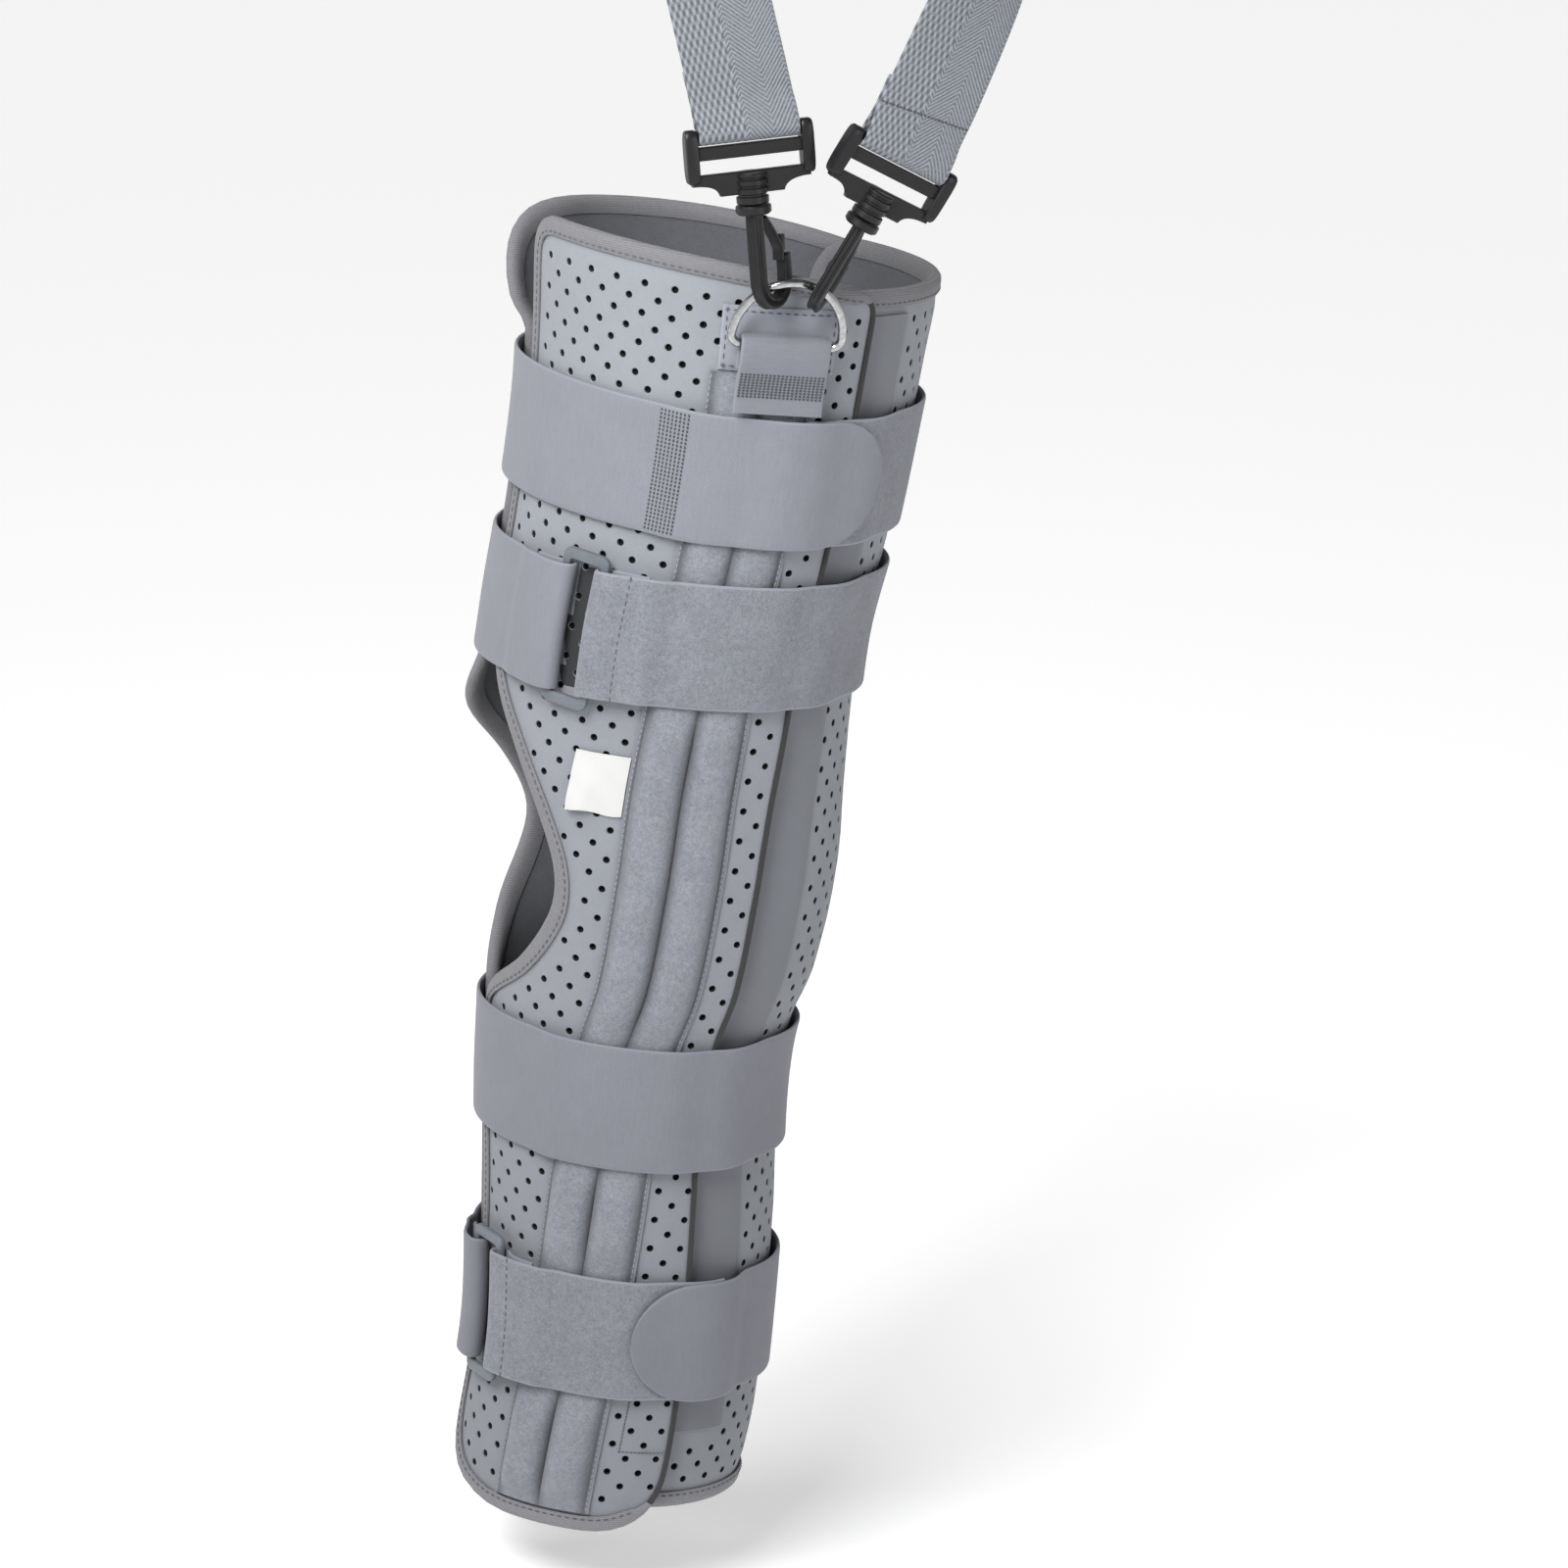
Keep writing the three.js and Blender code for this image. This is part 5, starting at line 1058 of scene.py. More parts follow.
def tip_stations(tip, direction, z):
    """A round end that lies on another strap, from its tip inwards."""
    angle = tip + direction * TIP_DISTANCES / mm_per_degree(z, STRAP_SIDE_LIFT)
    half = np.sqrt(STRAP_HALF**2 - (STRAP_HALF - TIP_DISTANCES) ** 2)
    return stations(angle, strap_bed(angle, z) + STRAP_WALL / 2 + STRAP_LAYER, half)


def whole_strap(start, end, z, raised):
    """Stations of a strap from its two ends and the bed between them."""
    between = bed_stations(start[-1, 0] + STATION_GAP, end[0, 0] - STATION_GAP, z, raised)
    return np.vstack([start, between, end])


def over_lap(lap):
    """Extra lift over another strap's end, which falls off past its lap."""
    return lambda angle: STRAP_LAYER * (1 - smooth_step(lap + LAP_RAMP[0], lap + LAP_RAMP[1], angle))


print("strap lifts, mm:", STRAP_SIDE_LIFT, STRAP_COVER_LIFT, STRAP_BACK_LIFT)

# %% Fold round a buckle bar
BUCKLE_WIDTH, BUCKLE_HEIGHT, BUCKLE_BAR, BUCKLE_RAIL, BUCKLE_WALL = 20, 62, 3.2, 4.6, 2.6
BAR_OFFSET = (BUCKLE_WIDTH - BUCKLE_BAR) / 2
FOLD_RADIUS, FOLD_RETURN, FOLD_TURN = 3.4, 17, 75
FOLD_SETTLE, FOLD_BEYOND, FOLD_STEPS = 6, 14, 14
FOLD_EASE, LAYER_RAMP = (3, FOLD_RETURN + 3), (FOLD_RETURN + 3, FOLD_RETURN + 12)
BUCKLE_LIFT = PANEL_FACE + FOLD_ROOM + STRAP_WALL / 2 + FOLD_RADIUS


def fold_stations(buckle, direction, z):
    """An end folded round a buckle bar: the hidden return, the turn, and the face that shows."""
    scale = mm_per_degree(z, BUCKLE_LIFT)
    bar = buckle + direction * BAR_OFFSET / scale
    bar_lift = BUCKLE_LIFT + BAR_OFFSET * math.radians(BAR_OFFSET / scale) / 2

    def bed(angle):
        return strap_bed(angle, z) + STRAP_WALL / 2

    back = np.linspace(FOLD_RETURN, 0, 8)
    angle = bar + direction * back / scale
    low = bar_lift - FOLD_RADIUS
    lift = low + (np.maximum(low, bed(angle)) - low) * smooth_step(0, FOLD_SETTLE, back)
    hidden = stations(angle, lift)
    degrees = np.radians(np.linspace(-FOLD_TURN, FOLD_TURN, 11))
    angle = bar - direction * FOLD_RADIUS * np.cos(degrees) / scale
    turn = stations(angle, bar_lift + FOLD_RADIUS * np.sin(degrees))
    out = np.linspace(0, FOLD_RETURN + FOLD_BEYOND, FOLD_STEPS)
    angle = bar + direction * out / scale
    low = bed(angle) + STRAP_LAYER * (1 - smooth_step(*LAYER_RAMP, out))
    ease = smooth_step(*FOLD_EASE, out)
    lift = np.maximum(low, (bar_lift + FOLD_RADIUS) * (1 - ease) + low * ease)
    return np.vstack([hidden, turn, stations(angle, lift)])


print("buckles lie", round(BUCKLE_LIFT, 1), "mm off the form")

# %% Sweep a strap
EDGE_ROUND = np.array([1, 0.994, 0.98, 0.95])
ROUND_FROM, ROUND_SPAN, EDGE_THIN = 0.95, 0.05, 0.06


def strap_piece(name, line, centre_z, material, looped=False, rise=0.0):
    """A strap with round edges along its stations, and its length."""
    inside = np.linspace(-0.88, 0.88, 9)
    height = np.concatenate([-EDGE_ROUND, inside, EDGE_ROUND[::-1]])
    past = ((np.abs(height) - ROUND_FROM) / ROUND_SPAN).clip(0)
    thin = np.sqrt(np.clip(1 - past**2, EDGE_THIN, 1)) * STRAP_WALL / 2
    angle, lift, half = line[:, :1], line[:, 1:2], line[:, 2:]
    z = centre_z + height * half + rise * np.maximum(np.cos(np.radians(angle)), 0)
    middle = on_form(angle, z, lift)
    if looped:
        along = np.roll(middle, -1, axis=0) - np.roll(middle, 1, axis=0)
    else:
        along = np.gradient(middle, axis=0)
    along[..., 2] = 0
    along = unit(along)
    out = np.stack([along[..., 1], -along[..., 0], 0 * along[..., 0]], -1) * thin[None, :, None]
    centre = middle[:, middle.shape[1] // 2]
    distance = lengths_along(centre)
    strap = sheet_piece(name, middle - out, middle + out, material, height * half, distance[:, None], looped)
    if looped:
        distance = np.append(distance, distance[-1] + np.linalg.norm(centre[0] - centre[-1]))
    return strap, distance[-1] * MM


def add_strap(name, line, z, node, brushed=False, **shape):
    """A strap of smooth or brushed cloth, pulled tight over the side panels."""
    strap, length = strap_piece(name, line, z, loop_cloth if brushed else strap_cloth, **shape)
    dress(strap, "brushed" if brushed else "smooth", node)
    print(name, "flat length", round(length, 3), "m")


# %% Thigh straps
UPPER_TIP, UPPER_LAP, MEDIAL_TIP, MEDIAL_LAP = 140, 113, -152, -112
UPPER_RISE = 5
over_medial = over_lap(MEDIAL_LAP)


def over_both(angle):
    """Extra lift over both ends of the brushed strap."""
    lateral = smooth_step(UPPER_LAP - LAP_RAMP[1], UPPER_LAP - LAP_RAMP[0], angle)
    return np.maximum(over_medial(angle), STRAP_LAYER * lateral)


z = THIGH_UPPER_Z
start, end = tip_stations(MEDIAL_TIP, 1, z), tip_stations(UPPER_TIP, -1, z)[::-1]
front = whole_strap(start, end, z, over_both)
add_strap("upper_thigh_strap", front, z, "thigh_strap_upper", rise=UPPER_RISE)
behind = bed_stations(UPPER_LAP, 360 + MEDIAL_LAP, z)
add_strap("upper_thigh_loop_strap", behind, z, "thigh_strap_upper_loop", brushed=True, rise=UPPER_RISE)

z = THIGH_LOWER_Z
start, fold = tip_stations(MEDIAL_TIP, 1, z), fold_stations(THIGH_BUCKLE_ANGLE, -1, z)[::-1]
add_strap("lower_thigh_strap", whole_strap(start, fold, z, over_medial), z, "thigh_strap_lower")
fold = fold_stations(THIGH_BUCKLE_ANGLE, 1, z)
behind = np.vstack([fold, bed_stations(fold[-1, 0] + STATION_GAP, 360 + MEDIAL_LAP, z)])
add_strap("lower_thigh_loop_strap", behind, z, "thigh_strap_lower_loop", brushed=True)

# %% Calf straps
CALF_TIP, CALF_LAP = 93, 128
z = CALF_UPPER_Z
add_strap("upper_calf_strap", bed_stations(0, 360, z)[:-1], z, "calf_strap_upper", looped=True)

z = CALF_LOWER_Z
start, fold = tip_stations(CALF_TIP, 1, z), fold_stations(CALF_BUCKLE_ANGLE, -1, z)[::-1]
fold = fold + np.array([360, 0, 0])
add_strap("lower_calf_strap", whole_strap(start, fold, z, over_lap(CALF_LAP)), z, "calf_strap_lower")
fold = fold_stations(CALF_BUCKLE_ANGLE, 1, z)
behind = np.vstack([fold, bed_stations(fold[-1, 0] + STATION_GAP, CALF_LAP, z)])
add_strap("lower_calf_loop_strap", behind, z, "calf_strap_lower_loop", brushed=True)

# %% [markdown]
# ## Label
# A blank woven label is caught under the edge of the stay cover. Its lower end is free, so it curls a
# little away from the panel.

# %% Blank label
LABEL_LOW, LABEL_HIGH, LABEL_WIDTH, LABEL_GAP, LABEL_WALL = 18.5, 42.5, 21, 0.4, 0.35
LABEL_SEWN, LABEL_CURL = 4, 2.6
z = np.linspace(LABEL_LOW, LABEL_HIGH, 15)[:, None]
across = np.linspace(-LABEL_WIDTH, 0, 13)[None]
angle = stay_angle(z) + (across - COVER_HALF - LABEL_GAP) / mm_per_degree(z)
free = smooth_step(-LABEL_SEWN, -LABEL_WIDTH, across) * smooth_step(LABEL_HIGH, LABEL_LOW, z)
curl = 0.2 + free * (LABEL_CURL + 0.9 * np.sin(across / 3.1)) + 0.3 * np.sin(z / 4 + across / 5) ** 2
wave = 0.6 * np.sin(across / 2.9) * smooth_step(LABEL_HIGH, LABEL_LOW, z)
inner = on_form(angle, z + wave, COVER_LIFT + curl)
outer = on_form(angle, z + wave, COVER_LIFT + curl + LABEL_WALL)
label = dress(sheet_piece("blank_label", inner, outer, label_cloth, across, z), "label", "size_label")
print("label stands out by up to", round(float(curl.max()), 1), "mm")

# %% [markdown]
# ## Ring, tab and patch
# The shoulder strap clips to a bent steel ring. A short tab folds round the ring's bar and is sewn down
# below it, over a plain patch that spreads the pull.

# %% Patch behind the ring
PATCH_FROM, PATCH_TO, PATCH_LOW, PATCH_HIGH, PATCH_WALL = 88, 119, 198, 223, 1.5
PATCH_HALF, PATCH_ROUND, PATCH_EDGE = 20.5, 1.6, 0.45
z = np.linspace(PATCH_LOW, PATCH_HIGH, 12)[:, None]
share = np.linspace(-1, 1, 21)[None]
angle = (PATCH_FROM + PATCH_TO) / 2 + share * (PATCH_TO - PATCH_FROM) / 2
across = share * PATCH_HALF
edge = np.minimum(PATCH_HALF - np.abs(across), np.minimum(z - PATCH_LOW, PATCH_HIGH - z))
round_edge = PATCH_WALL * (PATCH_EDGE + (1 - PATCH_EDGE) * smooth_step(0, PATCH_ROUND, edge))
inner, outer = on_form(angle, z, COVER_LIFT), on_form(angle, z, COVER_LIFT + round_edge)
patch = dress(sheet_piece("ring_patch_cloth", inner, outer, painted_light_patch_cloth, across, z), "smooth", "ring_patch")
print("patch faces:", len(patch.data.polygons))

# %% Directions of the ring
RING_ANGLE, RING_Z, RING_LEAN = 104, 210, math.radians(20)
RING_HALF, RING_HEIGHT, RING_CORNER, RING_WIRE, WIRE_TRIM = 20.8, 27, 4, 1.75, 0.1
TAB_HALF, TAB_WALL, TAB_LOW, TAB_BACK_LOW, TAB_LOW_LIFT, TAB_ROOM = 17, 1.8, 183.5, 200, 15.6, 0.4
TAB_FOLD = RING_WIRE + TAB_ROOM + TAB_WALL / 2
RING_LIFT = COVER_LIFT + PATCH_WALL + TAB_ROOM + TAB_WALL / 2 + TAB_FOLD
SIDEWAYS, BACKWARD, UP = np.eye(3)
ring_out = form_normal(RING_ANGLE, RING_Z)
ring_along = -np.cross(ring_out, UP)
ring_rise = UP * math.cos(RING_LEAN) + ring_out * math.sin(RING_LEAN)
ring_base = on_form(RING_ANGLE, RING_Z, RING_LIFT)
print("middle of the ring's bar:", ring_base.round(1).tolist())


def on_ring(along, rise):
    """A place in the plane of the ring."""
    along, rise = np.asarray(along, float)[..., None], np.asarray(rise, float)[..., None]
    return ring_base + ring_along * along + ring_rise * rise


def arch_rise(along):
    """Height of the bow above the bar."""
    return RING_CORNER + (RING_HEIGHT - RING_CORNER) * np.sqrt(1 - (along / RING_HALF) ** 2)


# %% [markdown]
# ### Plated steel
# The ring is bright plated wire with a faint drawn grain. Metal shows mostly what it mirrors, so two close
# greys and a very low bump are enough.

# %% Plated steel
def plated_steel():
    """Bright plating with a slight drawn grain."""
    material, finish = new_material("plated_steel", roughness=0.2, metallic=1.0)
    grain = finish.noise(finish.place(), scale=500, detail=4)
    finish.paint(finish.tint(grain, (0.36, 0.365, 0.375), (0.58, 0.585, 0.59)), grain, bump_mm=0.02)
    return material


steel = plated_steel()
print("metal made:", steel.name)

# %% Bend the ring
def sweep(name, centres, side, face, section, material, looped=False):
    """A section carried along a line: section points are (side, face) pairs, one list or one per station."""
    side, face = (np.broadcast_to(axis, centres.shape) for axis in (side, face))
    section = np.broadcast_to(section, (len(centres), *np.shape(section)[-2:]))
    points = centres[:, None] + side[:, None] * section[..., :1] + face[:, None] * section[..., 1:]
    return mesh_piece(name, points, ring_faces(len(centres), section.shape[1], looped), material)


def round_section(half_side, half_face, corners=24, power=2.0):
    """A round or rounded section, squarer with a higher power."""
    turn = (np.arange(corners) + 0.5) * 2 * math.pi / corners
    a, b = np.cos(turn), np.sin(turn)
    a, b = np.sign(a) * np.abs(a) ** (2 / power), np.sign(b) * np.abs(b) ** (2 / power)
    return np.stack([a * half_side, b * half_face], -1)


flat = RING_HALF - RING_CORNER
corner = np.radians(np.linspace(-90, 0, 9)[1:-1])
arch = np.radians(np.linspace(0, 180, 41))
bar = np.linspace(-flat, flat, 15)
corner_along, corner_rise = flat + RING_CORNER * np.cos(corner), RING_CORNER * (1 + np.sin(corner))
bow = RING_CORNER + (RING_HEIGHT - RING_CORNER) * np.sin(arch)
along = np.concatenate([bar, corner_along, RING_HALF * np.cos(arch), -corner_along[::-1]])
rise = np.concatenate([0 * bar, corner_rise, bow, corner_rise[::-1]])
centres = on_ring(along, rise)
ahead = unit(np.roll(centres, -1, axis=0) - np.roll(centres, 1, axis=0))
ring_face = np.cross(ring_along, ring_rise)
wire = round_section(RING_WIRE - WIRE_TRIM, RING_WIRE - WIRE_TRIM, 16)
ring = sweep("steel_ring", centres, np.cross(ahead, ring_face), ring_face, wire, steel, looped=True)
dress(ring, "steel", "d_ring")
print("ring bent from", len(centres), "stations")

# %% Fold the tab
TAB_STEP = 1.2
turn = np.radians(np.linspace(180, 0, 13))
line = [(TAB_BACK_LOW, RING_LIFT - TAB_FOLD), (RING_Z - 4, RING_LIFT - TAB_FOLD)]
line += [(RING_Z + TAB_FOLD * math.sin(t), RING_LIFT + TAB_FOLD * math.cos(t)) for t in turn]
line += [(RING_Z - 5, RING_LIFT + TAB_FOLD - 0.3), (RING_Z - 13, TAB_LOW_LIFT + 1.6)]
line += [(TAB_LOW + 8, TAB_LOW_LIFT), (TAB_LOW, TAB_LOW_LIFT)]
tab_line = smooth_path(np.column_stack([line, np.zeros(len(line))]), TAB_STEP)[:, :2]
ahead = unit(np.gradient(tab_line, axis=0))
share = np.array([-1, -0.985, -0.95, -0.8, -0.5, -0.2, 0.2, 0.5, 0.8, 0.95, 0.985, 1])
thin = np.interp(np.abs(share), [0, 0.95, 0.985, 1], [1, 1, 0.75, 0.3]) * TAB_WALL / 2
across = share[None] * TAB_HALF


def on_tab(z, lift, across):
    """The place of a point of the tab, by its height, its lift and its distance from the middle."""
    z, lift, across = (np.asarray(v, float)[..., None] for v in np.broadcast_arrays(z, lift, across))
    return ring_base + ring_along * across + ring_out * (lift - RING_LIFT) + UP * (z - RING_Z)


def tab_face(side):
    """One face of the tab, half a wall off its line."""
    z = tab_line[:, :1] - side * ahead[:, 1:] * thin
    return on_tab(z, tab_line[:, 1:] + side * ahead[:, :1] * thin, across)


along = np.arange(len(tab_line))[:, None] * TAB_STEP
tab = sheet_piece("folded_ring_tab", tab_face(-1), tab_face(1), painted_shade_tab_cloth, across, along)
dress(tab, "smooth", "ring_tab")
print("tab length", round(along.max(), 1), "mm")

# %% [markdown]
# ## Buckles
# Two straps turn back through flat slide buckles. Each buckle is a rounded frame: the same rounded
# section runs between an outer and an inner outline, so its bars and rails can differ in width.

# %% Moulded plastic
PLASTIC_GREY, PLASTIC_BLACK = (0.13, 0.145, 0.163), (0.011, 0.011, 0.012)


def moulded_plastic(name, colour, roughness, specular):
    """Moulded plastic: a fine eggshell grain and slight changes of tone."""
    material, finish = new_material(name, roughness, specular=specular)
    place = finish.place()
    grain = finish.noise(place, scale=900)
    patches = finish.noise(place, scale=90, detail=2)
    tone = finish.blend((grain, 0.5), (patches, 0.5))
    finish.paint(finish.tint(tone, shade(colour, 0.85), shade(colour, 1.15)), grain, bump_mm=0.025)
    return material


grey_plastic = moulded_plastic("grey_plastic", PLASTIC_GREY, roughness=0.42, specular=0.4)
black_plastic = moulded_plastic("black_plastic", PLASTIC_BLACK, roughness=0.33, specular=0.3)
print("plastics made:", grey_plastic.name, black_plastic.name)

# %% Slide buckles
BUCKLE_CORNER, SLOT_CORNER = 3.5, 1.5


def rounded_rectangle(half_wide, half_high, radius, steps=6):
    """The outline of a rectangle with round corners."""
    turn = np.radians(np.linspace(0, 90, steps))
    corner = np.stack([np.cos(turn), np.sin(turn)], -1) * radius + [half_wide - radius, half_high - radius]
    return np.vstack([corner, (corner * [-1, 1])[::-1], corner * [-1, -1], (corner * [1, -1])[::-1]])


def buckle_piece(name, angle, centre_z):
    """A frame whose rounded section runs between an outer and an inner outline."""
    outside = rounded_rectangle(BUCKLE_WIDTH / 2, BUCKLE_HEIGHT / 2, BUCKLE_CORNER)
    slot_width, slot_height = BUCKLE_WIDTH / 2 - BUCKLE_BAR, BUCKLE_HEIGHT / 2 - BUCKLE_RAIL
    inside = rounded_rectangle(slot_width, slot_height, SLOT_CORNER)
    low, high = (on_form(angle, centre_z + end * STRAP_HALF, BUCKLE_LIFT) for end in (-1, 1))
    upward = unit(high - low)
    across = unit(np.cross(upward, form_normal(angle, centre_z)))
    out = np.cross(across, upward)
    section = round_section(0.5, BUCKLE_WALL / 2, 12, 4.5)
    rings = []
    for outer, inner in zip(outside, inside):
        spots = (outer + inner) / 2 + (outer - inner) * section[:, :1]
        rings.append((low + high) / 2 + across * spots[:, :1] + upward * spots[:, 1:] + out * section[:, 1:])
    return mesh_piece(name, rings, ring_faces(len(rings), len(section), looped=True), grey_plastic)


for name, angle, z in BUCKLES:
    dress(buckle_piece(f"{name}_slide_buckle", angle, z), "plastic", f"{name}_buckle")
print("buckles made:", len(BUCKLES))

# %% [markdown]
# ## Snap hooks
# Each hook has a grooved shank and bend, a springy gate, and a frame for the webbing with a ribbed barrel
# where the hook swivels. The parts are made upright at the origin and then carried to their place, so one
# function serves both hooks. The barrel's ribs and the flange are turned shapes; solids that meet are
# joined into one.

# %% Parts of a hook
SHANK_HALF, HOOK_THICK, EYE_WIDTH, TIP_WIDTH, TIP_TOP = 3.6, 5, 13, 5, 14.5
FLANGE_LOW, FLANGE_HIGH, FLANGE_RADIUS, SOCKET_LOW, FRAME_Z = 32, 35.5, 6.6, 35.9, 48.2
POST_RADIUS, BULB_RADIUS, POST_PLAY, SOCKET_RADIUS = 2.6, 3.9, 0.5, 6
POST_TOP, BULB_LOW, BULB_TOP = 4, 5.2, 8
EYE_CENTRE = SHANK_HALF + EYE_WIDTH / 2
TURNED_SIDES, GROOVE_DEPTH = 32, 0.85


def grooved_section(half, depth):
    """A rounded bar with a groove down its back and both cheeks."""
    section = round_section(half * 0.95, HOOK_THICK * 0.47, 48, 4.5)
    a, b = section[:, 0], section[:, 1]
    cheek = np.exp(-((a / (0.36 * half)) ** 4)) * depth
    back = np.exp(-((b / 0.9) ** 4)) * depth * (a > 0)
    return np.stack([a - back, b - np.sign(b) * cheek], -1)


def hook_piece(name):
    """Shank, bend and tip in one sweep, joined to the turned stem on which the hook swivels."""
    bend = EYE_WIDTH / 2
    turn = np.linspace(180, 360, 25)
    share = (turn - 180) / 180
    half = SHANK_HALF + (TIP_WIDTH / 2 - SHANK_HALF) * np.minimum(1, 2 * share)
    arc_x = EYE_CENTRE + (bend + half) * np.cos(np.radians(turn))
    arc_z = bend + (bend + half) * np.sin(np.radians(turn))
    shank_z = np.linspace(FLANGE_LOW + 1, bend + 1, 10)
    tip_z = TIP_TOP - np.array([2, 1, 0.4, 0])
    tip_x = EYE_CENTRE + bend + TIP_WIDTH / 2 + np.array([0, 0.2, 0.4, 0.6])
    tip_half = TIP_WIDTH / 2 - np.array([0.1, 0.35, 0.75, 1.3])
    x = np.concatenate([0 * shank_z, arc_x, tip_x])
    z = np.concatenate([shank_z, arc_z, tip_z])
    half = np.concatenate([0 * shank_z + SHANK_HALF, half, tip_half])
    tilt = np.radians(np.concatenate([0 * shank_z - 90, turn + 90, 0 * tip_z + 90]))
    fading = GROOVE_DEPTH * (1 - smooth_step(0.3, 0.7, share))
    depth = np.concatenate([0 * shank_z + GROOVE_DEPTH, fading, 0 * tip_z])
    side = np.stack([np.sin(tilt), 0 * tilt, -np.cos(tilt)], -1)
    sections = np.stack([grooved_section(h, d) for h, d in zip(half, depth)])
    hook = sweep(name, np.stack([x, 0 * x, z], -1), side, BACKWARD, sections, black_plastic)
    stem = [(FLANGE_RADIUS - 1, FLANGE_LOW), (FLANGE_RADIUS, FLANGE_LOW + 0.8)]
    stem += [(FLANGE_RADIUS, FLANGE_HIGH - 0.5), (FLANGE_RADIUS - 0.5, FLANGE_HIGH)]
    stem += [(POST_RADIUS, FLANGE_HIGH), (POST_RADIUS, SOCKET_LOW + POST_TOP)]
    stem += [(BULB_RADIUS, SOCKET_LOW + BULB_LOW), (BULB_RADIUS - 0.8, SOCKET_LOW + BULB_TOP)]
    return combine(hook, turned("stem", stem, black_plastic, TURNED_SIDES), "UNION")


print("hook eye, mm wide:", EYE_WIDTH)

# %% Gate
GATE_OUT, GATE_UP, GATE_WALL, GATE_HALF, GATE_END_UP = SHANK_HALF + 1.5, 29, 1.6, 2.2, 12.2
THUMB_DEPTH, THUMB_WIDTH, THUMB_HEIGHT, THUMB_UP = 3, 4, 6, 4.2


def block(name, centre, halves):
    """A small block with rounded edges and ends."""
    height = np.array([-1, -0.97, -0.88, 0.88, 0.97, 1])
    scale = np.array([0.8, 0.94, 1, 1, 0.94, 0.8])[:, None, None]
    centres = np.array(centre) + np.outer(height * halves[2], UP)
    section = scale * round_section(halves[0], halves[1], 24, 6)
    return sweep(name, centres, SIDEWAYS, BACKWARD, section, black_plastic)


def gate_piece(name):
    """A thin springy strip from the shank to the tip, with a block to push it by."""
    end = SHANK_HALF + EYE_WIDTH - GATE_WALL / 2 - 0.5
    line = [(GATE_OUT, GATE_UP + 1), (GATE_OUT + 3.6, GATE_UP - 2.8), (GATE_OUT + 7.4, GATE_UP - 7.6)]
    line += [(end, GATE_UP - 12.4), (end, GATE_END_UP)]
    line = smooth_path([(x, 0, z) for x, z in line], 0.8)
    ahead = unit(np.gradient(line, axis=0))
    section = round_section(GATE_WALL / 2, GATE_HALF, 16, 5)
    gate = sweep(name, line, np.cross(BACKWARD, ahead), BACKWARD, section, black_plastic)
    centre = (end + (THUMB_DEPTH + 1 - GATE_WALL) / 2, 0, TIP_TOP + THUMB_UP)
    thumb = block("thumb", centre, (THUMB_DEPTH / 2, THUMB_WIDTH / 2, THUMB_HEIGHT / 2))
    return combine(gate, thumb, "UNION")


print("gate strip, mm thick:", GATE_WALL)

# %% Frame for the webbing
FRAME_HALF, EAR_WIDTH, EAR_THICK, EAR_LOW, FRAME_THICK = 23.8, 4.1, 7, -3, 3.4
LOWER_SLOT, MIDDLE_BAR, UPPER_SLOT, TOP_BAR = 5.2, 5, 3, 3
FRAME_TOP = LOWER_SLOT + MIDDLE_BAR + UPPER_SLOT + TOP_BAR
NECK_HALF, NECK_LOW, SHOULDER = 12, -8.5, -4
RIB_COUNT, RIB_TOP, RIB_PITCH, RIB_DEPTH, RIB_HALF = 3, -2, 3.1, 0.8, 0.7


def frame_bar(name, x, low, high):
    """A flat bar across the frame, whose lower edge may change along it."""
    middle, half = (np.asarray(low) + high) / 2 + 0 * x, (high - np.asarray(low)) / 2 + 0 * x
    sections = np.stack([round_section(FRAME_THICK / 2, h, 28, 7) for h in half])
    return sweep(name, np.stack([x, 0 * x, middle], -1), BACKWARD, UP, sections, black_plastic)


def ear_piece(side):
    """A rounded end plate of the frame."""
    inner, outer = FRAME_HALF - EAR_WIDTH - 0.2, FRAME_HALF + 0.3
    share = np.array([0, 0.06, 0.2, 0.8, 0.94, 1])
    scale = np.array([0.86, 0.95, 1, 1, 0.95, 0.82])[:, None, None]
    half = (FRAME_TOP + 0.6 - EAR_LOW) / 2
    x = side * (inner + (outer - inner) * share)
    centres = np.stack([x, 0 * x, 0 * x + EAR_LOW + half], -1)
    section = scale * round_section(EAR_THICK / 2, half, 40, 4)
    return sweep("ear", centres, BACKWARD, UP, section, black_plastic)


def barrel_profile():
    """Radius and height of the barrel, with its ribs."""
    low = SOCKET_LOW - FRAME_Z
    profile = [(SOCKET_RADIUS - 0.5, low), (SOCKET_RADIUS, low + 0.5)]
    for rib in reversed(range(RIB_COUNT)):
        top = RIB_TOP - rib * RIB_PITCH
        profile += [(SOCKET_RADIUS, top - 2 * RIB_HALF), (SOCKET_RADIUS - RIB_DEPTH, top - 1.4 * RIB_HALF)]
        profile += [(SOCKET_RADIUS - RIB_DEPTH, top - 0.6 * RIB_HALF), (SOCKET_RADIUS, top)]
    return profile + [(SOCKET_RADIUS, -1.1), (SOCKET_RADIUS - 0.5, -0.6)]


def cavity_profile():
    """Radius and height of the room for the hook's post, with play all round."""
    low, post, bulb = SOCKET_LOW - FRAME_Z, POST_RADIUS + POST_PLAY, BULB_RADIUS + POST_PLAY
    profile = [(post, low - 1), (post, low + POST_TOP)]
    return profile + [(bulb, low + BULB_LOW - POST_PLAY), (bulb, low + BULB_TOP + POST_PLAY)]


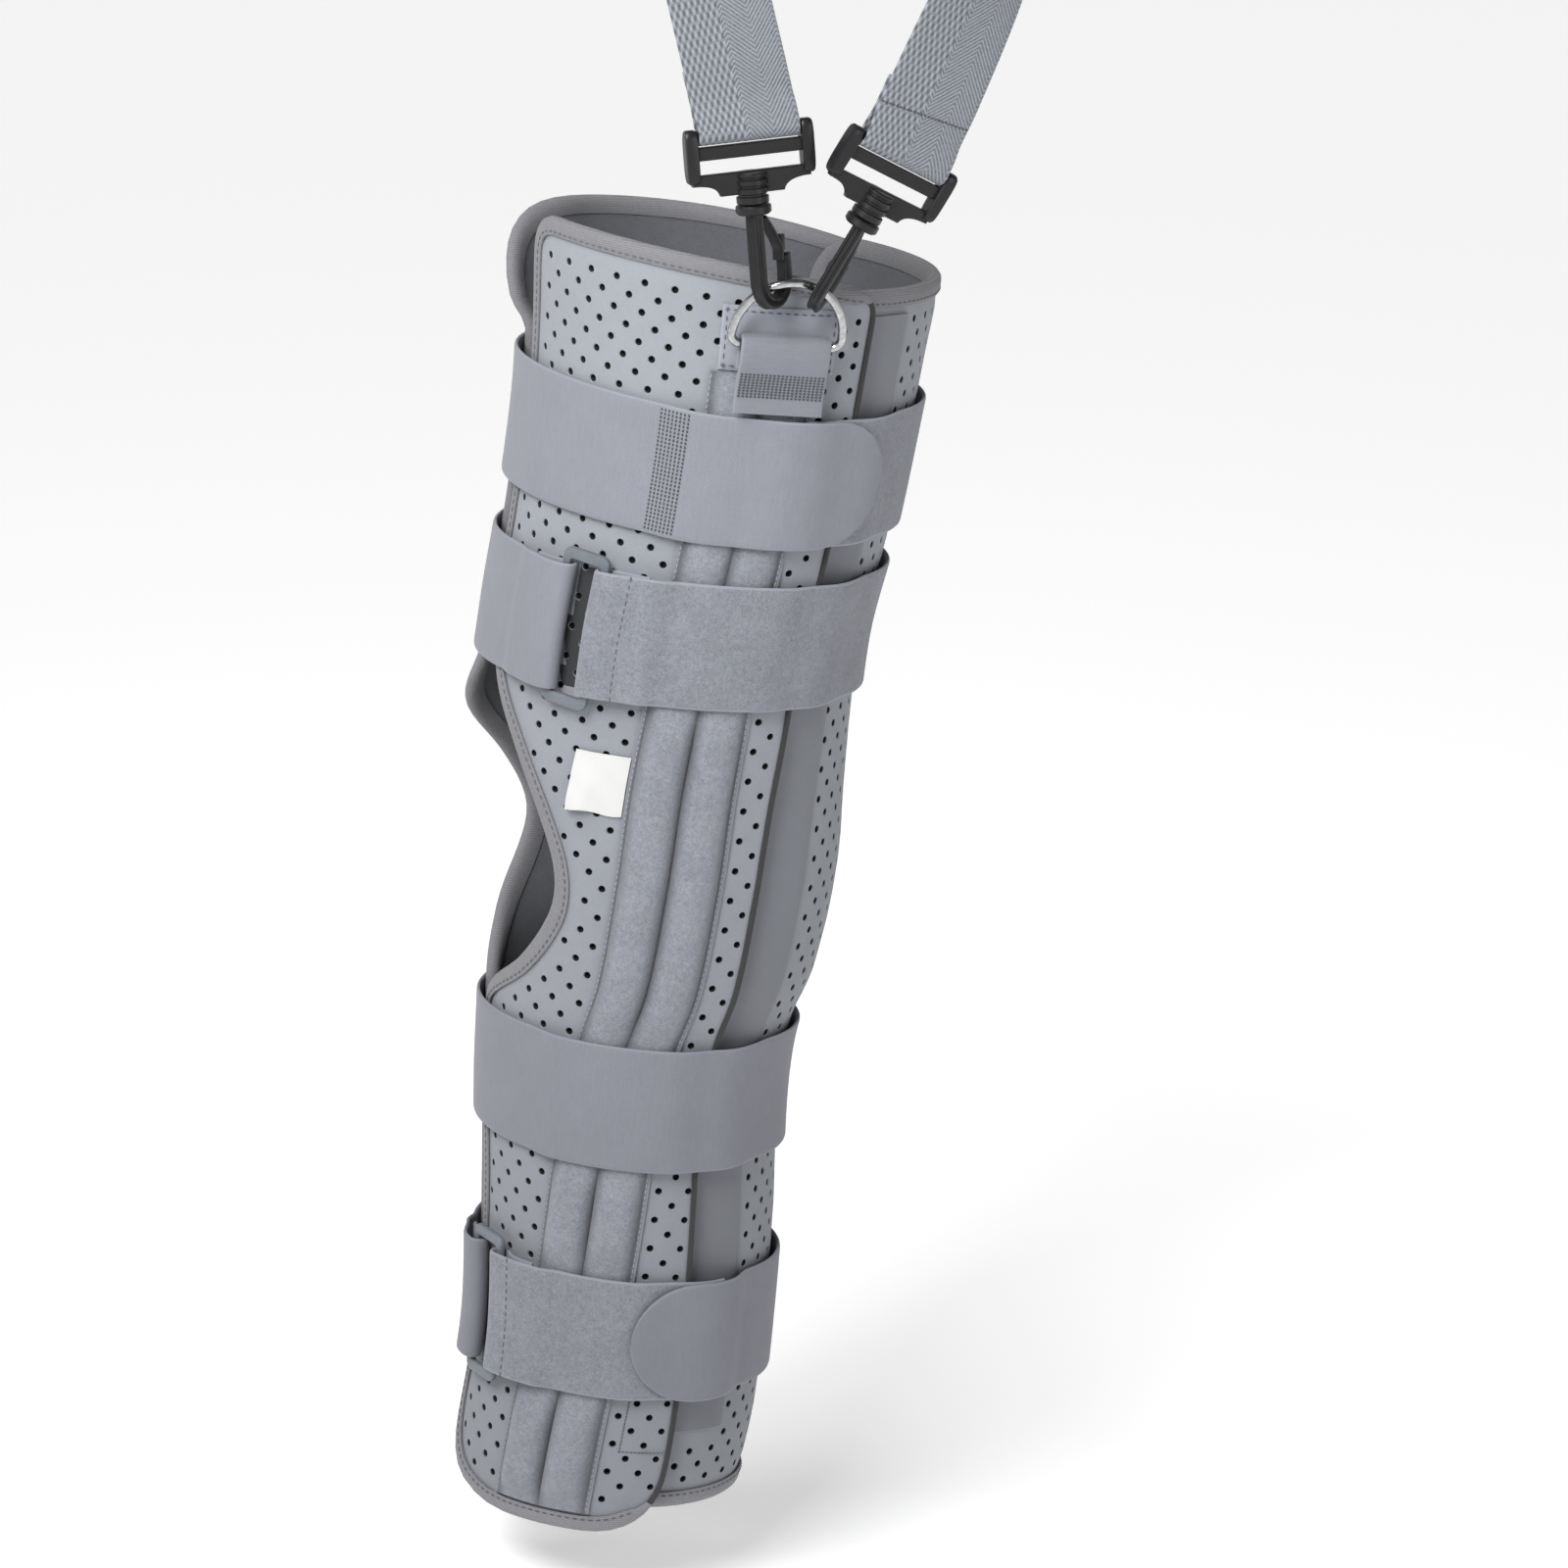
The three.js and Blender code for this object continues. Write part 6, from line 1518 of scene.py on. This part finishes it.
def frame_piece(name):
    """A curved lower plate, two bars, two ears and the barrel, joined into one."""
    reach = FRAME_HALF - 1.5
    straight = np.linspace(-reach, reach, 15)
    t = np.linspace(0, 1, 12)
    curve_x = NECK_HALF * (1 - t) ** 2 + (NECK_HALF + 1) * 2 * t * (1 - t) + reach * t**2
    curve_z = NECK_LOW * (1 - t) ** 2 + SHOULDER * (2 * t * (1 - t) + t**2)
    plate_x = np.concatenate([-curve_x[::-1], np.linspace(-NECK_HALF, NECK_HALF, 7)[1:-1], curve_x])
    plate_low = np.concatenate([curve_z[::-1], np.full(5, NECK_LOW), curve_z])
    piece = frame_bar(name, plate_x, plate_low, 0.0)
    parts = [frame_bar("middle_bar", straight, LOWER_SLOT, LOWER_SLOT + MIDDLE_BAR)]
    parts += [frame_bar("top_bar", straight, FRAME_TOP - TOP_BAR, FRAME_TOP), ear_piece(-1), ear_piece(1)]
    parts += [turned("barrel", barrel_profile(), black_plastic, TURNED_SIDES)]
    for part in parts:
        combine(piece, part, "UNION")
    return combine(piece, turned("cavity", cavity_profile(), black_plastic, TURNED_SIDES), "DIFFERENCE")


print("frame height over the hook, mm:", FRAME_TOP)

# %% Hang the hooks on the ring
HOOKS = (  # name, place along the ring, wire's height in the eye, lean, hook's turn, frame's turn
    ("front", -8.5, 3.25, -10, 62, 17),
    ("rear", 10.5, 2.85, 25, 80, 25),
)
RUN_LEANS = {"front": -19, "rear": 18}
webbing_ends = {}


def turned_axes(lean, turn):
    """The three directions of a hook or frame: across it, through it and up it."""
    lean, turn = math.radians(lean), math.radians(turn)
    upward = np.array([math.sin(lean), 0, math.cos(lean)])
    level = np.array([upward[2], 0, -upward[0]])
    across = level * math.cos(turn) + BACKWARD * math.sin(turn)
    return across, np.cross(upward, across), upward


def carry(obj, axes, base):
    """Moves a piece made at the origin to its place, in its mesh."""
    place = Matrix(np.column_stack([*axes, np.asarray(base) * MM]).tolist() + [[0, 0, 0, 1]])
    obj.data.transform(place)
    obj.data.update()
    return soften(obj, sharp=32)


for name, along, wire_up, lean, hook_turn, frame_turn in HOOKS:
    axes = turned_axes(lean, hook_turn)
    base = on_ring(along, arch_rise(along)) - axes[0] * EYE_CENTRE - axes[2] * wire_up
    dress(carry(hook_piece(f"{name}_snap_hook"), axes, base), "black", f"{name}_hook", body=f"{name}_hook")
    dress(carry(gate_piece(f"{name}_spring_gate"), axes, base), "black", f"{name}_gate", body=f"{name}_gate")
    axes = turned_axes(lean, frame_turn)
    base = base + axes[2] * FRAME_Z
    dress(carry(frame_piece(f"{name}_webbing_frame"), axes, base), "black", f"{name}_hook_frame")
    bar = base + axes[2] * (FRAME_TOP - TOP_BAR / 2)
    skew = math.tan(math.radians(RUN_LEANS[name] - lean))
    webbing_ends[name] = {"bar": bar, "skew": skew, "axes": axes}
print("hooks hung at", {name: end["bar"].round(1).tolist() for name, end in webbing_ends.items()})

# %% [markdown]
# ## Shoulder strap
# The strap is one length of webbing: a folded end on each hook's frame, two straight runs, and a round arch
# at the top. The stations of the route are placed first and then smoothed. The weave is drawn from the flat
# coordinates: staggered strands along one half and a fine herringbone along the other.

# %% Webbing finish
WEBBING_GREY = (0.185, 0.197, 0.219)
STRAND_ACROSS, STRAND_ALONG, STRAND_LIFT = 2.6, 1.1, 1.5
BONE_WIDTH, BONE_SLANT, BONE_TURNS, BONE_LIFT = 9.0, 1.1, 3.4, 0.8
HALVES_MEET = -1.5


def webbing_cloth():
    """Webbing woven in two ways, side by side."""
    material, finish = new_material("ribbed_webbing", roughness=0.75, sheen=0.1, specular=0.3)
    across, along, _ = finish.parts(finish.flat())

    def sine(value, turns):
        return finish.math("SINE", finish.times(value, turns))

    strands = finish.times(finish.times(sine(across, STRAND_ACROSS), sine(along, STRAND_ALONG)), STRAND_LIFT)
    zigzag = finish.times(finish.math("PINGPONG", across, BONE_WIDTH), BONE_SLANT)
    bone = finish.times(sine(finish.math("ADD", zigzag, along), BONE_TURNS), BONE_LIFT)
    left = finish.math("LESS_THAN", across, HALVES_MEET)
    right = finish.math("SUBTRACT", 1, left)
    weave = finish.math("ADD", finish.times(left, strands), finish.times(right, bone))
    threads = finish.noise(finish.place(), scale=1500, detail=2)
    tone = finish.math("ADD", finish.blend((weave, 0.22), (threads, 0.5)), 0.25)
    colours = finish.tint(tone, shade(WEBBING_GREY, 0.45), shade(WEBBING_GREY, 1.5), low=0.22, high=0.78)
    finish.paint(colours, tone, bump_mm=0.5)
    return material


webbing = webbing_cloth()
print("webbing finish made:", webbing.name)

# %% Route of the webbing
WEBBING_HALF, WEBBING_WALL, WEBBING_ROOM, ARCH_RADIUS, WEBBING_STEP = 19, 1.5, 0.35, 128, 1.5
RUN_STEPS, ARCH_STEPS = 8, 18
END_SPLAY, END_CLIMB = np.array([-1.1, -1.1, -2.2]), np.array([26, 12, 6])
TWIST_SHARES = {"front": 0.3, "rear": 0.12}


def webbing_fold(end):
    """Stations of a folded end: its hidden return, the turn round the frame's bar, and the face."""
    across, through, upward = end["axes"]
    outward = through if through[1] < 0 else -through
    radius = math.hypot(TOP_BAR, FRAME_THICK) / 2 + WEBBING_ROOM + WEBBING_WALL / 2
    turn = np.radians(np.arange(150, 391, 15))
    out = np.concatenate([END_SPLAY, radius * np.cos(turn), -END_SPLAY[::-1]])
    up = np.concatenate([END_CLIMB, radius * np.sin(turn), END_CLIMB[::-1]])
    centre = end["bar"] + np.outer(out, outward) + np.outer(up, upward)
    centre += np.outer(end["skew"] * np.maximum(up - 3, 0), across)
    return np.column_stack([centre, np.broadcast_to(across, centre.shape)])


def webbing_route(front, rear):
    """Stations of the two runs and the arch between the folded ends, seen from the side."""
    start, finish = front[-1, [0, 2]], rear[0, [0, 2]]
    leans = [math.radians(RUN_LEANS[name]) for name in ("front", "rear")]
    front_up, rear_up = (np.array([math.sin(lean), math.cos(lean)]) for lean in leans)
    front_in, rear_in = np.array([front_up[1], -front_up[0]]), np.array([-rear_up[1], rear_up[0]])
    gap = finish - start + (rear_in - front_in) * ARCH_RADIUS
    front_length, rear_length = np.linalg.solve(np.column_stack([front_up, -rear_up]), gap)
    centre = start + front_up * front_length + front_in * ARCH_RADIUS
    run = np.arange(1, RUN_STEPS)[:, None] / RUN_STEPS
    turn = np.linspace(math.pi - leans[0], -leans[1], ARCH_STEPS + 1)
    arch = centre + ARCH_RADIUS * np.stack([np.cos(turn), np.sin(turn)], -1)
    front_run, rear_run = start + front_up * front_length * run, finish + rear_up * rear_length * run[::-1]
    return np.vstack([front_run, arch, rear_run])


front, rear = webbing_fold(webbing_ends["front"]), webbing_fold(webbing_ends["rear"])[::-1]
route = webbing_route(front, rear)
share = (np.arange(len(route)) + 1) / (len(route) + 1)
reach = np.minimum(share, 1 - share)
fore = share < 0.5
twist = np.where(fore, TWIST_SHARES["front"], TWIST_SHARES["rear"])
settled = (0.7 * smooth_step(0, 1, reach / twist) + 0.3 * smooth_step(0, 0.35, reach))[:, None]
held = np.where(fore[:, None], webbing_ends["front"]["axes"][0], webbing_ends["rear"]["axes"][0])
level = front[-1, 1] + (rear[0, 1] - front[-1, 1]) * share
middle = np.column_stack([route[:, 0], level, route[:, 1], unit(held * (1 - settled) + BACKWARD * settled)])
webbing_line = smooth_path(np.vstack([front, middle, rear]), WEBBING_STEP)
print("webbing stations:", len(webbing_line))

# %% Weave the shoulder strap
webbing_centres, widths = webbing_line[:, :3], webbing_line[:, 3:]
ahead = unit(np.gradient(webbing_centres, axis=0))
webbing_width = unit(widths - ahead * (widths * ahead).sum(1, keepdims=True))
webbing_out = np.cross(ahead, webbing_width)
share = np.array([-1, -0.99, -0.96, -0.8, -0.5, -0.25, 0, 0.25, 0.5, 0.8, 0.96, 0.99, 1])
thin = np.interp(np.abs(share), [0, 0.96, 0.99, 1], [1, 1, 0.8, 0.35]) * WEBBING_WALL / 2
across = share[None] * WEBBING_HALF
grid = webbing_centres[:, None] + webbing_width[:, None] * across[..., None]
lifted = webbing_out[:, None] * thin[None, :, None]
along = lengths_along(webbing_centres)[:, None]
strap = sheet_piece("webbing_strap", grid - lifted, grid + lifted, webbing, across, along)
dress(strap, "webbing", "shoulder_strap")
print("webbing length", round(along[-1, 0]), "mm")

# %% [markdown]
# ## Stitching
# Every seam is a row of small raised stitches. The seams are drawn as plain lines that know which way the
# cloth faces; one node tree turns each line into a curve, spaces points along it and sets a stitch on every
# point.

# %% Stitch tree
def stitch_tree():
    """A tree that sets raised stitches along lines, turned to the way the cloth faces."""
    inputs = [("Spacing", "Float"), ("Length", "Float"), ("Width", "Float"), ("Thread", "Material")]
    tree, source, result = new_tree("stitched_seam", inputs)
    line = tree.nodes.new("GeometryNodeMeshToCurve")
    spaced = tree.nodes.new("GeometryNodeResampleCurve")
    spaced.mode = "LENGTH"
    bead = tree.nodes.new("GeometryNodeMeshUVSphere")
    bead.inputs["Segments"].default_value, bead.inputs["Rings"].default_value = 6, 4
    bead.inputs["Radius"].default_value = 0.5
    size = tree.nodes.new("ShaderNodeCombineXYZ")
    shape = tree.nodes.new("GeometryNodeTransform")
    tangent = tree.nodes.new("GeometryNodeInputTangent")
    turn = tree.nodes.new("FunctionNodeAxesToRotation")
    turn.primary_axis, turn.secondary_axis = "X", "Z"
    spread = tree.nodes.new("GeometryNodeInstanceOnPoints")
    real = tree.nodes.new("GeometryNodeRealizeInstances")
    paint = tree.nodes.new("GeometryNodeSetMaterial")
    link = tree.links.new
    link(source.outputs["Geometry"], line.inputs["Mesh"])
    link(line.outputs["Curve"], spaced.inputs["Curve"])
    link(source.outputs["Spacing"], spaced.inputs["Length"])
    link(source.outputs["Length"], size.inputs["X"])
    link(source.outputs["Width"], size.inputs["Y"])
    link(source.outputs["Width"], size.inputs["Z"])
    link(bead.outputs["Mesh"], shape.inputs["Geometry"])
    link(size.outputs["Vector"], shape.inputs["Scale"])
    link(tangent.outputs["Tangent"], turn.inputs["Primary Axis"])
    link(named_attribute(tree, "facing", "FLOAT_VECTOR"), turn.inputs["Secondary Axis"])
    link(spaced.outputs["Curve"], spread.inputs["Points"])
    link(shape.outputs["Geometry"], spread.inputs["Instance"])
    link(turn.outputs["Rotation"], spread.inputs["Rotation"])
    link(spread.outputs["Instances"], real.inputs["Geometry"])
    link(real.outputs["Geometry"], paint.inputs["Geometry"])
    link(source.outputs["Thread"], paint.inputs["Material"])
    link(paint.outputs["Geometry"], result.inputs["Geometry"])
    return tree


def stitched(name, seams, slot, thread, spacing, length, width):
    """One piece of stitches from several seams, each a list of places and the ways they face."""
    places, facings, edges = [], [], []
    for places_here, facing in seams:
        first = sum(len(part) for part in places)
        edges += [(first + k, first + k + 1) for k in range(len(places_here) - 1)]
        places.append(places_here)
        facings.append(np.broadcast_to(facing, places_here.shape))
    source = facing_points(f"{name}_lines", np.vstack(places), np.vstack(facings), edges)
    values = {"Spacing": spacing * MM, "Length": length * MM, "Width": width * MM, "Thread": thread}
    piece = dress(node_piece(name, source, stitches, values), slot)
    print(name, "faces:", len(piece.data.polygons))


stitches = stitch_tree()
print("stitch tree nodes:", len(stitches.nodes))

# %% Seams of the edge tape
TAPE_SEAM_SHARE, TAPE_SEAM_DEPTH, SEWN_UP_TO = 0.8, 4.7, 0.3
grey_seams = []
for name, outline in OUTLINES.items():
    line = inset(outline, (tape_width(name, outline) * TAPE_SEAM_SHARE)[:, None])
    line = np.vstack([line, line[:1]])
    angle, z = line[:, 0] / mm_per_degree(line[:, 1]), line[:, 1]
    sewn = np.flatnonzero(rear_nearness(name, np.vstack([outline, outline[:1]])) < SEWN_UP_TO)
    for run in np.split(sewn, np.flatnonzero(np.diff(sewn) > 1) + 1):
        facing = surface_facing(PLACES[name], angle[run], z[run], PANEL_WALL)
        grey_seams.append((PLACES[name](angle[run], z[run], TAPE_SEAM_DEPTH), facing))
print("tape seams:", len(grey_seams))

# %% Seams of the patch and the folded straps
PATCH_SEAM, PATCH_SEAM_DEGREES, SEAM_PROUD = 1.8, 1.3, 0.05
FOLD_SEAM_ANGLES = {"thigh": 74.5, "calf": 47.5}


def form_seam(angle, z, lift):
    """A seam on the form: its places and the ways they face."""
    return on_form(angle, z, lift), form_normal(angle, z)


def fold_face(angle, buckle, z):
    """Lift of the middle of a folded strap end's shown layer."""
    line = fold_stations(buckle, 1, z)[-FOLD_STEPS:]
    return np.interp(angle, line[:, 0], line[:, 1])


low, high = PATCH_LOW + PATCH_SEAM, PATCH_HIGH - PATCH_SEAM
near, far = PATCH_FROM + PATCH_SEAM_DEGREES, PATCH_TO - PATCH_SEAM_DEGREES
patch_face = COVER_LIFT + PATCH_WALL + SEAM_PROUD
grey_seams += [form_seam(np.linspace(near, far, 20), z, patch_face) for z in (low, high)]
grey_seams += [form_seam(angle, np.linspace(low, high, 12), patch_face) for angle in (near, far)]
for name, buckle, centre in BUCKLES:
    angle = FOLD_SEAM_ANGLES[name]
    z = np.linspace(-STRAP_HALF + 1, STRAP_HALF - 1, 26) + centre
    grey_seams.append(form_seam(angle, z, fold_face(angle, buckle, centre) + STRAP_WALL / 2))
stitched("grey_stitches", grey_seams, "binding", grey_thread, spacing=3.1, length=2.3, width=0.6)

# %% Sewn corner below the cover
CORNER_Z, CORNER_HIGH, CORNER_FROM, CORNER_PROUD = -243, -219, 27, 0.1
scale = mm_per_degree(CORNER_Z)
start = stay_angle(CORNER_Z) + CORNER_FROM / scale
level = np.linspace(start, rear_angle(CORNER_Z) - REAR_TAPE_WIDTH / scale, 16)
z = np.linspace(CORNER_Z, CORNER_HIGH, 10)
upright = stay_angle(z) + CORNER_FROM / mm_per_degree(z)
corner_seams = []
for angle, height in ((level, CORNER_Z), (upright, z)):
    places = PLACES["lateral"](angle, height, PANEL_WALL + CORNER_PROUD)
    corner_seams.append((places, form_normal(angle, height)))
stitched("corner_stitches", corner_seams, "cloth", grey_thread, spacing=1.5, length=1.5, width=0.6)

# %% Hems of the covers
HEM_SEAM, HEM_END = 1.2, 2
z = np.linspace(COVER_BOTTOM + HEM_END, COVER_TOP - HEM_END, 160)
hem_seams = []
for _, sign in SIDES:
    for across in (-COVER_HALF + HEM_SEAM, COVER_HALF - HEM_SEAM):
        angle = sign * (stay_angle(z) + across / mm_per_degree(z))
        hem_seams.append(form_seam(angle, z, COVER_LIFT + COVER_HEM - HEM_SUNK))
stitched("hem_stitches", hem_seams, "brushed", pale_thread, spacing=2.4, length=2.2, width=0.6)

# %% Sewn bands and lines
BAND_ANGLE, BAND_LINES, BAND_HALF, BAND_REACH = 78.5, 8, 5.2, 23
TAB_BAND_LOW, TAB_BAND_HIGH, TAB_BAND_LINES, TAB_BAND_REACH = 190, 198.8, 9, 15.5
WEBBING_SEAM, HIDDEN_STATIONS = 17, 20
dark_seams = []
scale = mm_per_degree(THIGH_UPPER_Z, STRAP_SIDE_LIFT)
for offset in np.linspace(-BAND_HALF, BAND_HALF, BAND_LINES):
    angle = BAND_ANGLE + offset / scale
    z = np.linspace(-BAND_REACH, BAND_REACH, 24) + THIGH_UPPER_Z + UPPER_RISE * math.cos(math.radians(angle))
    dark_seams.append(form_seam(angle, z, strap_bed(angle, THIGH_UPPER_Z) + STRAP_WALL + SEAM_PROUD))
tab_front = tab_line[np.argmax(tab_line[:, 0]):][::-1]
across = np.linspace(-TAB_BAND_REACH, TAB_BAND_REACH, 30)
for z in np.linspace(TAB_BAND_LOW, TAB_BAND_HIGH, TAB_BAND_LINES):
    lift = np.interp(z, tab_front[:, 0], tab_front[:, 1]) + TAB_WALL / 2 + SEAM_PROUD
    dark_seams.append((on_tab(z, lift, across), ring_out))
across = np.linspace(-WEBBING_HALF + 1, WEBBING_HALF - 1, 26)
reached = webbing_ends["rear"]["bar"] + webbing_ends["rear"]["axes"][2] * WEBBING_SEAM
middle = len(webbing_centres) // 2
near = middle + np.argmin(np.linalg.norm(webbing_centres[middle:-HIDDEN_STATIONS] - reached, axis=1))
out = webbing_out[near] if webbing_out[near, 1] < 0 else -webbing_out[near]
line = webbing_centres[near] + np.outer(across, webbing_width[near]) + out * (WEBBING_WALL / 2 + SEAM_PROUD)
dark_seams.append((line, out))
stitched("sewn_bands", dark_seams, "smooth", dark_thread, spacing=1.5, length=1.15, width=0.85)

# %% [markdown]
# ## Floor and light
# A plain pale floor and soft light from large lamps, as in a studio. The sky is pale near the floor, like
# the walls of a white room, and darker overhead, so that the top edges don't wash out.

# %% Floor
FLOOR_HALF, FLOOR_Z, FLOOR_WHITE, FLOOR_GLOW = 20, -0.31, (0.95, 0.95, 0.95, 1), 0.4
corners = [(FLOOR_HALF * x, FLOOR_HALF * y, FLOOR_Z) for x, y in ((-1, -1), (1, -1), (1, 1), (-1, 1))]
floor_mesh = bpy.data.meshes.new("floor")
floor_mesh.from_pydata(corners, [], [(0, 1, 2, 3)])
pale_floor, finish = new_material("pale_floor", roughness=0.9, specular=0.1)
sockets = finish.nodes["Principled BSDF"].inputs
sockets["Base Color"].default_value = FLOOR_WHITE
sockets["Emission Color"].default_value = (1, 1, 1, 1)
sockets["Emission Strength"].default_value = FLOOR_GLOW
floor_mesh.materials.append(pale_floor)
add_object("floor", floor_mesh)
print("floor at", FLOOR_Z, "m")

# %% Sky and lamps
WALL_LIGHT, CEILING_LIGHT = (0.64,) * 3, (0.1,) * 3
world = bpy.data.worlds.new("studio")
world.use_nodes = True
sky = Shading(world.node_tree)
height = sky.parts(sky.add("TexCoord").outputs["Generated"])["Z"]
walls = sky.tint(height, WALL_LIGHT, CEILING_LIGHT, low=0.3, high=0.5)
sky.link(walls, sky.nodes["Background"].inputs["Color"])
bpy.context.scene.world = world
bpy.context.scene.view_settings.view_transform = "Standard"


def lamp(name, kind, place, size, energy, aim=(0, 0, 0), beam=180):
    """A large panel lamp with its beam's angle, or a far one whose size is the angle it fills."""
    data = bpy.data.lights.new(name, kind)
    data.energy = energy
    if kind == "AREA":
        data.size, data.spread = size, math.radians(beam)
    else:
        data.angle = math.radians(size)
    obj = add_object(name, data)
    obj.location = place
    obj.rotation_euler = (Vector(aim) - Vector(place)).to_track_quat("-Z", "Y").to_euler()


lamp("key", "AREA", (-0.5, -1.15, 0.95), 0.6, 4.6, aim=(0.02, 0, 0.27), beam=80)
lamp("fill", "AREA", (1.5, -1.3, 0.7), 1.0, 7)
lamp("far", "SUN", (-0.9, -0.8, 1.6), 30, 1.3)
print("lamps made:", len(bpy.data.lights))

# %% [markdown]
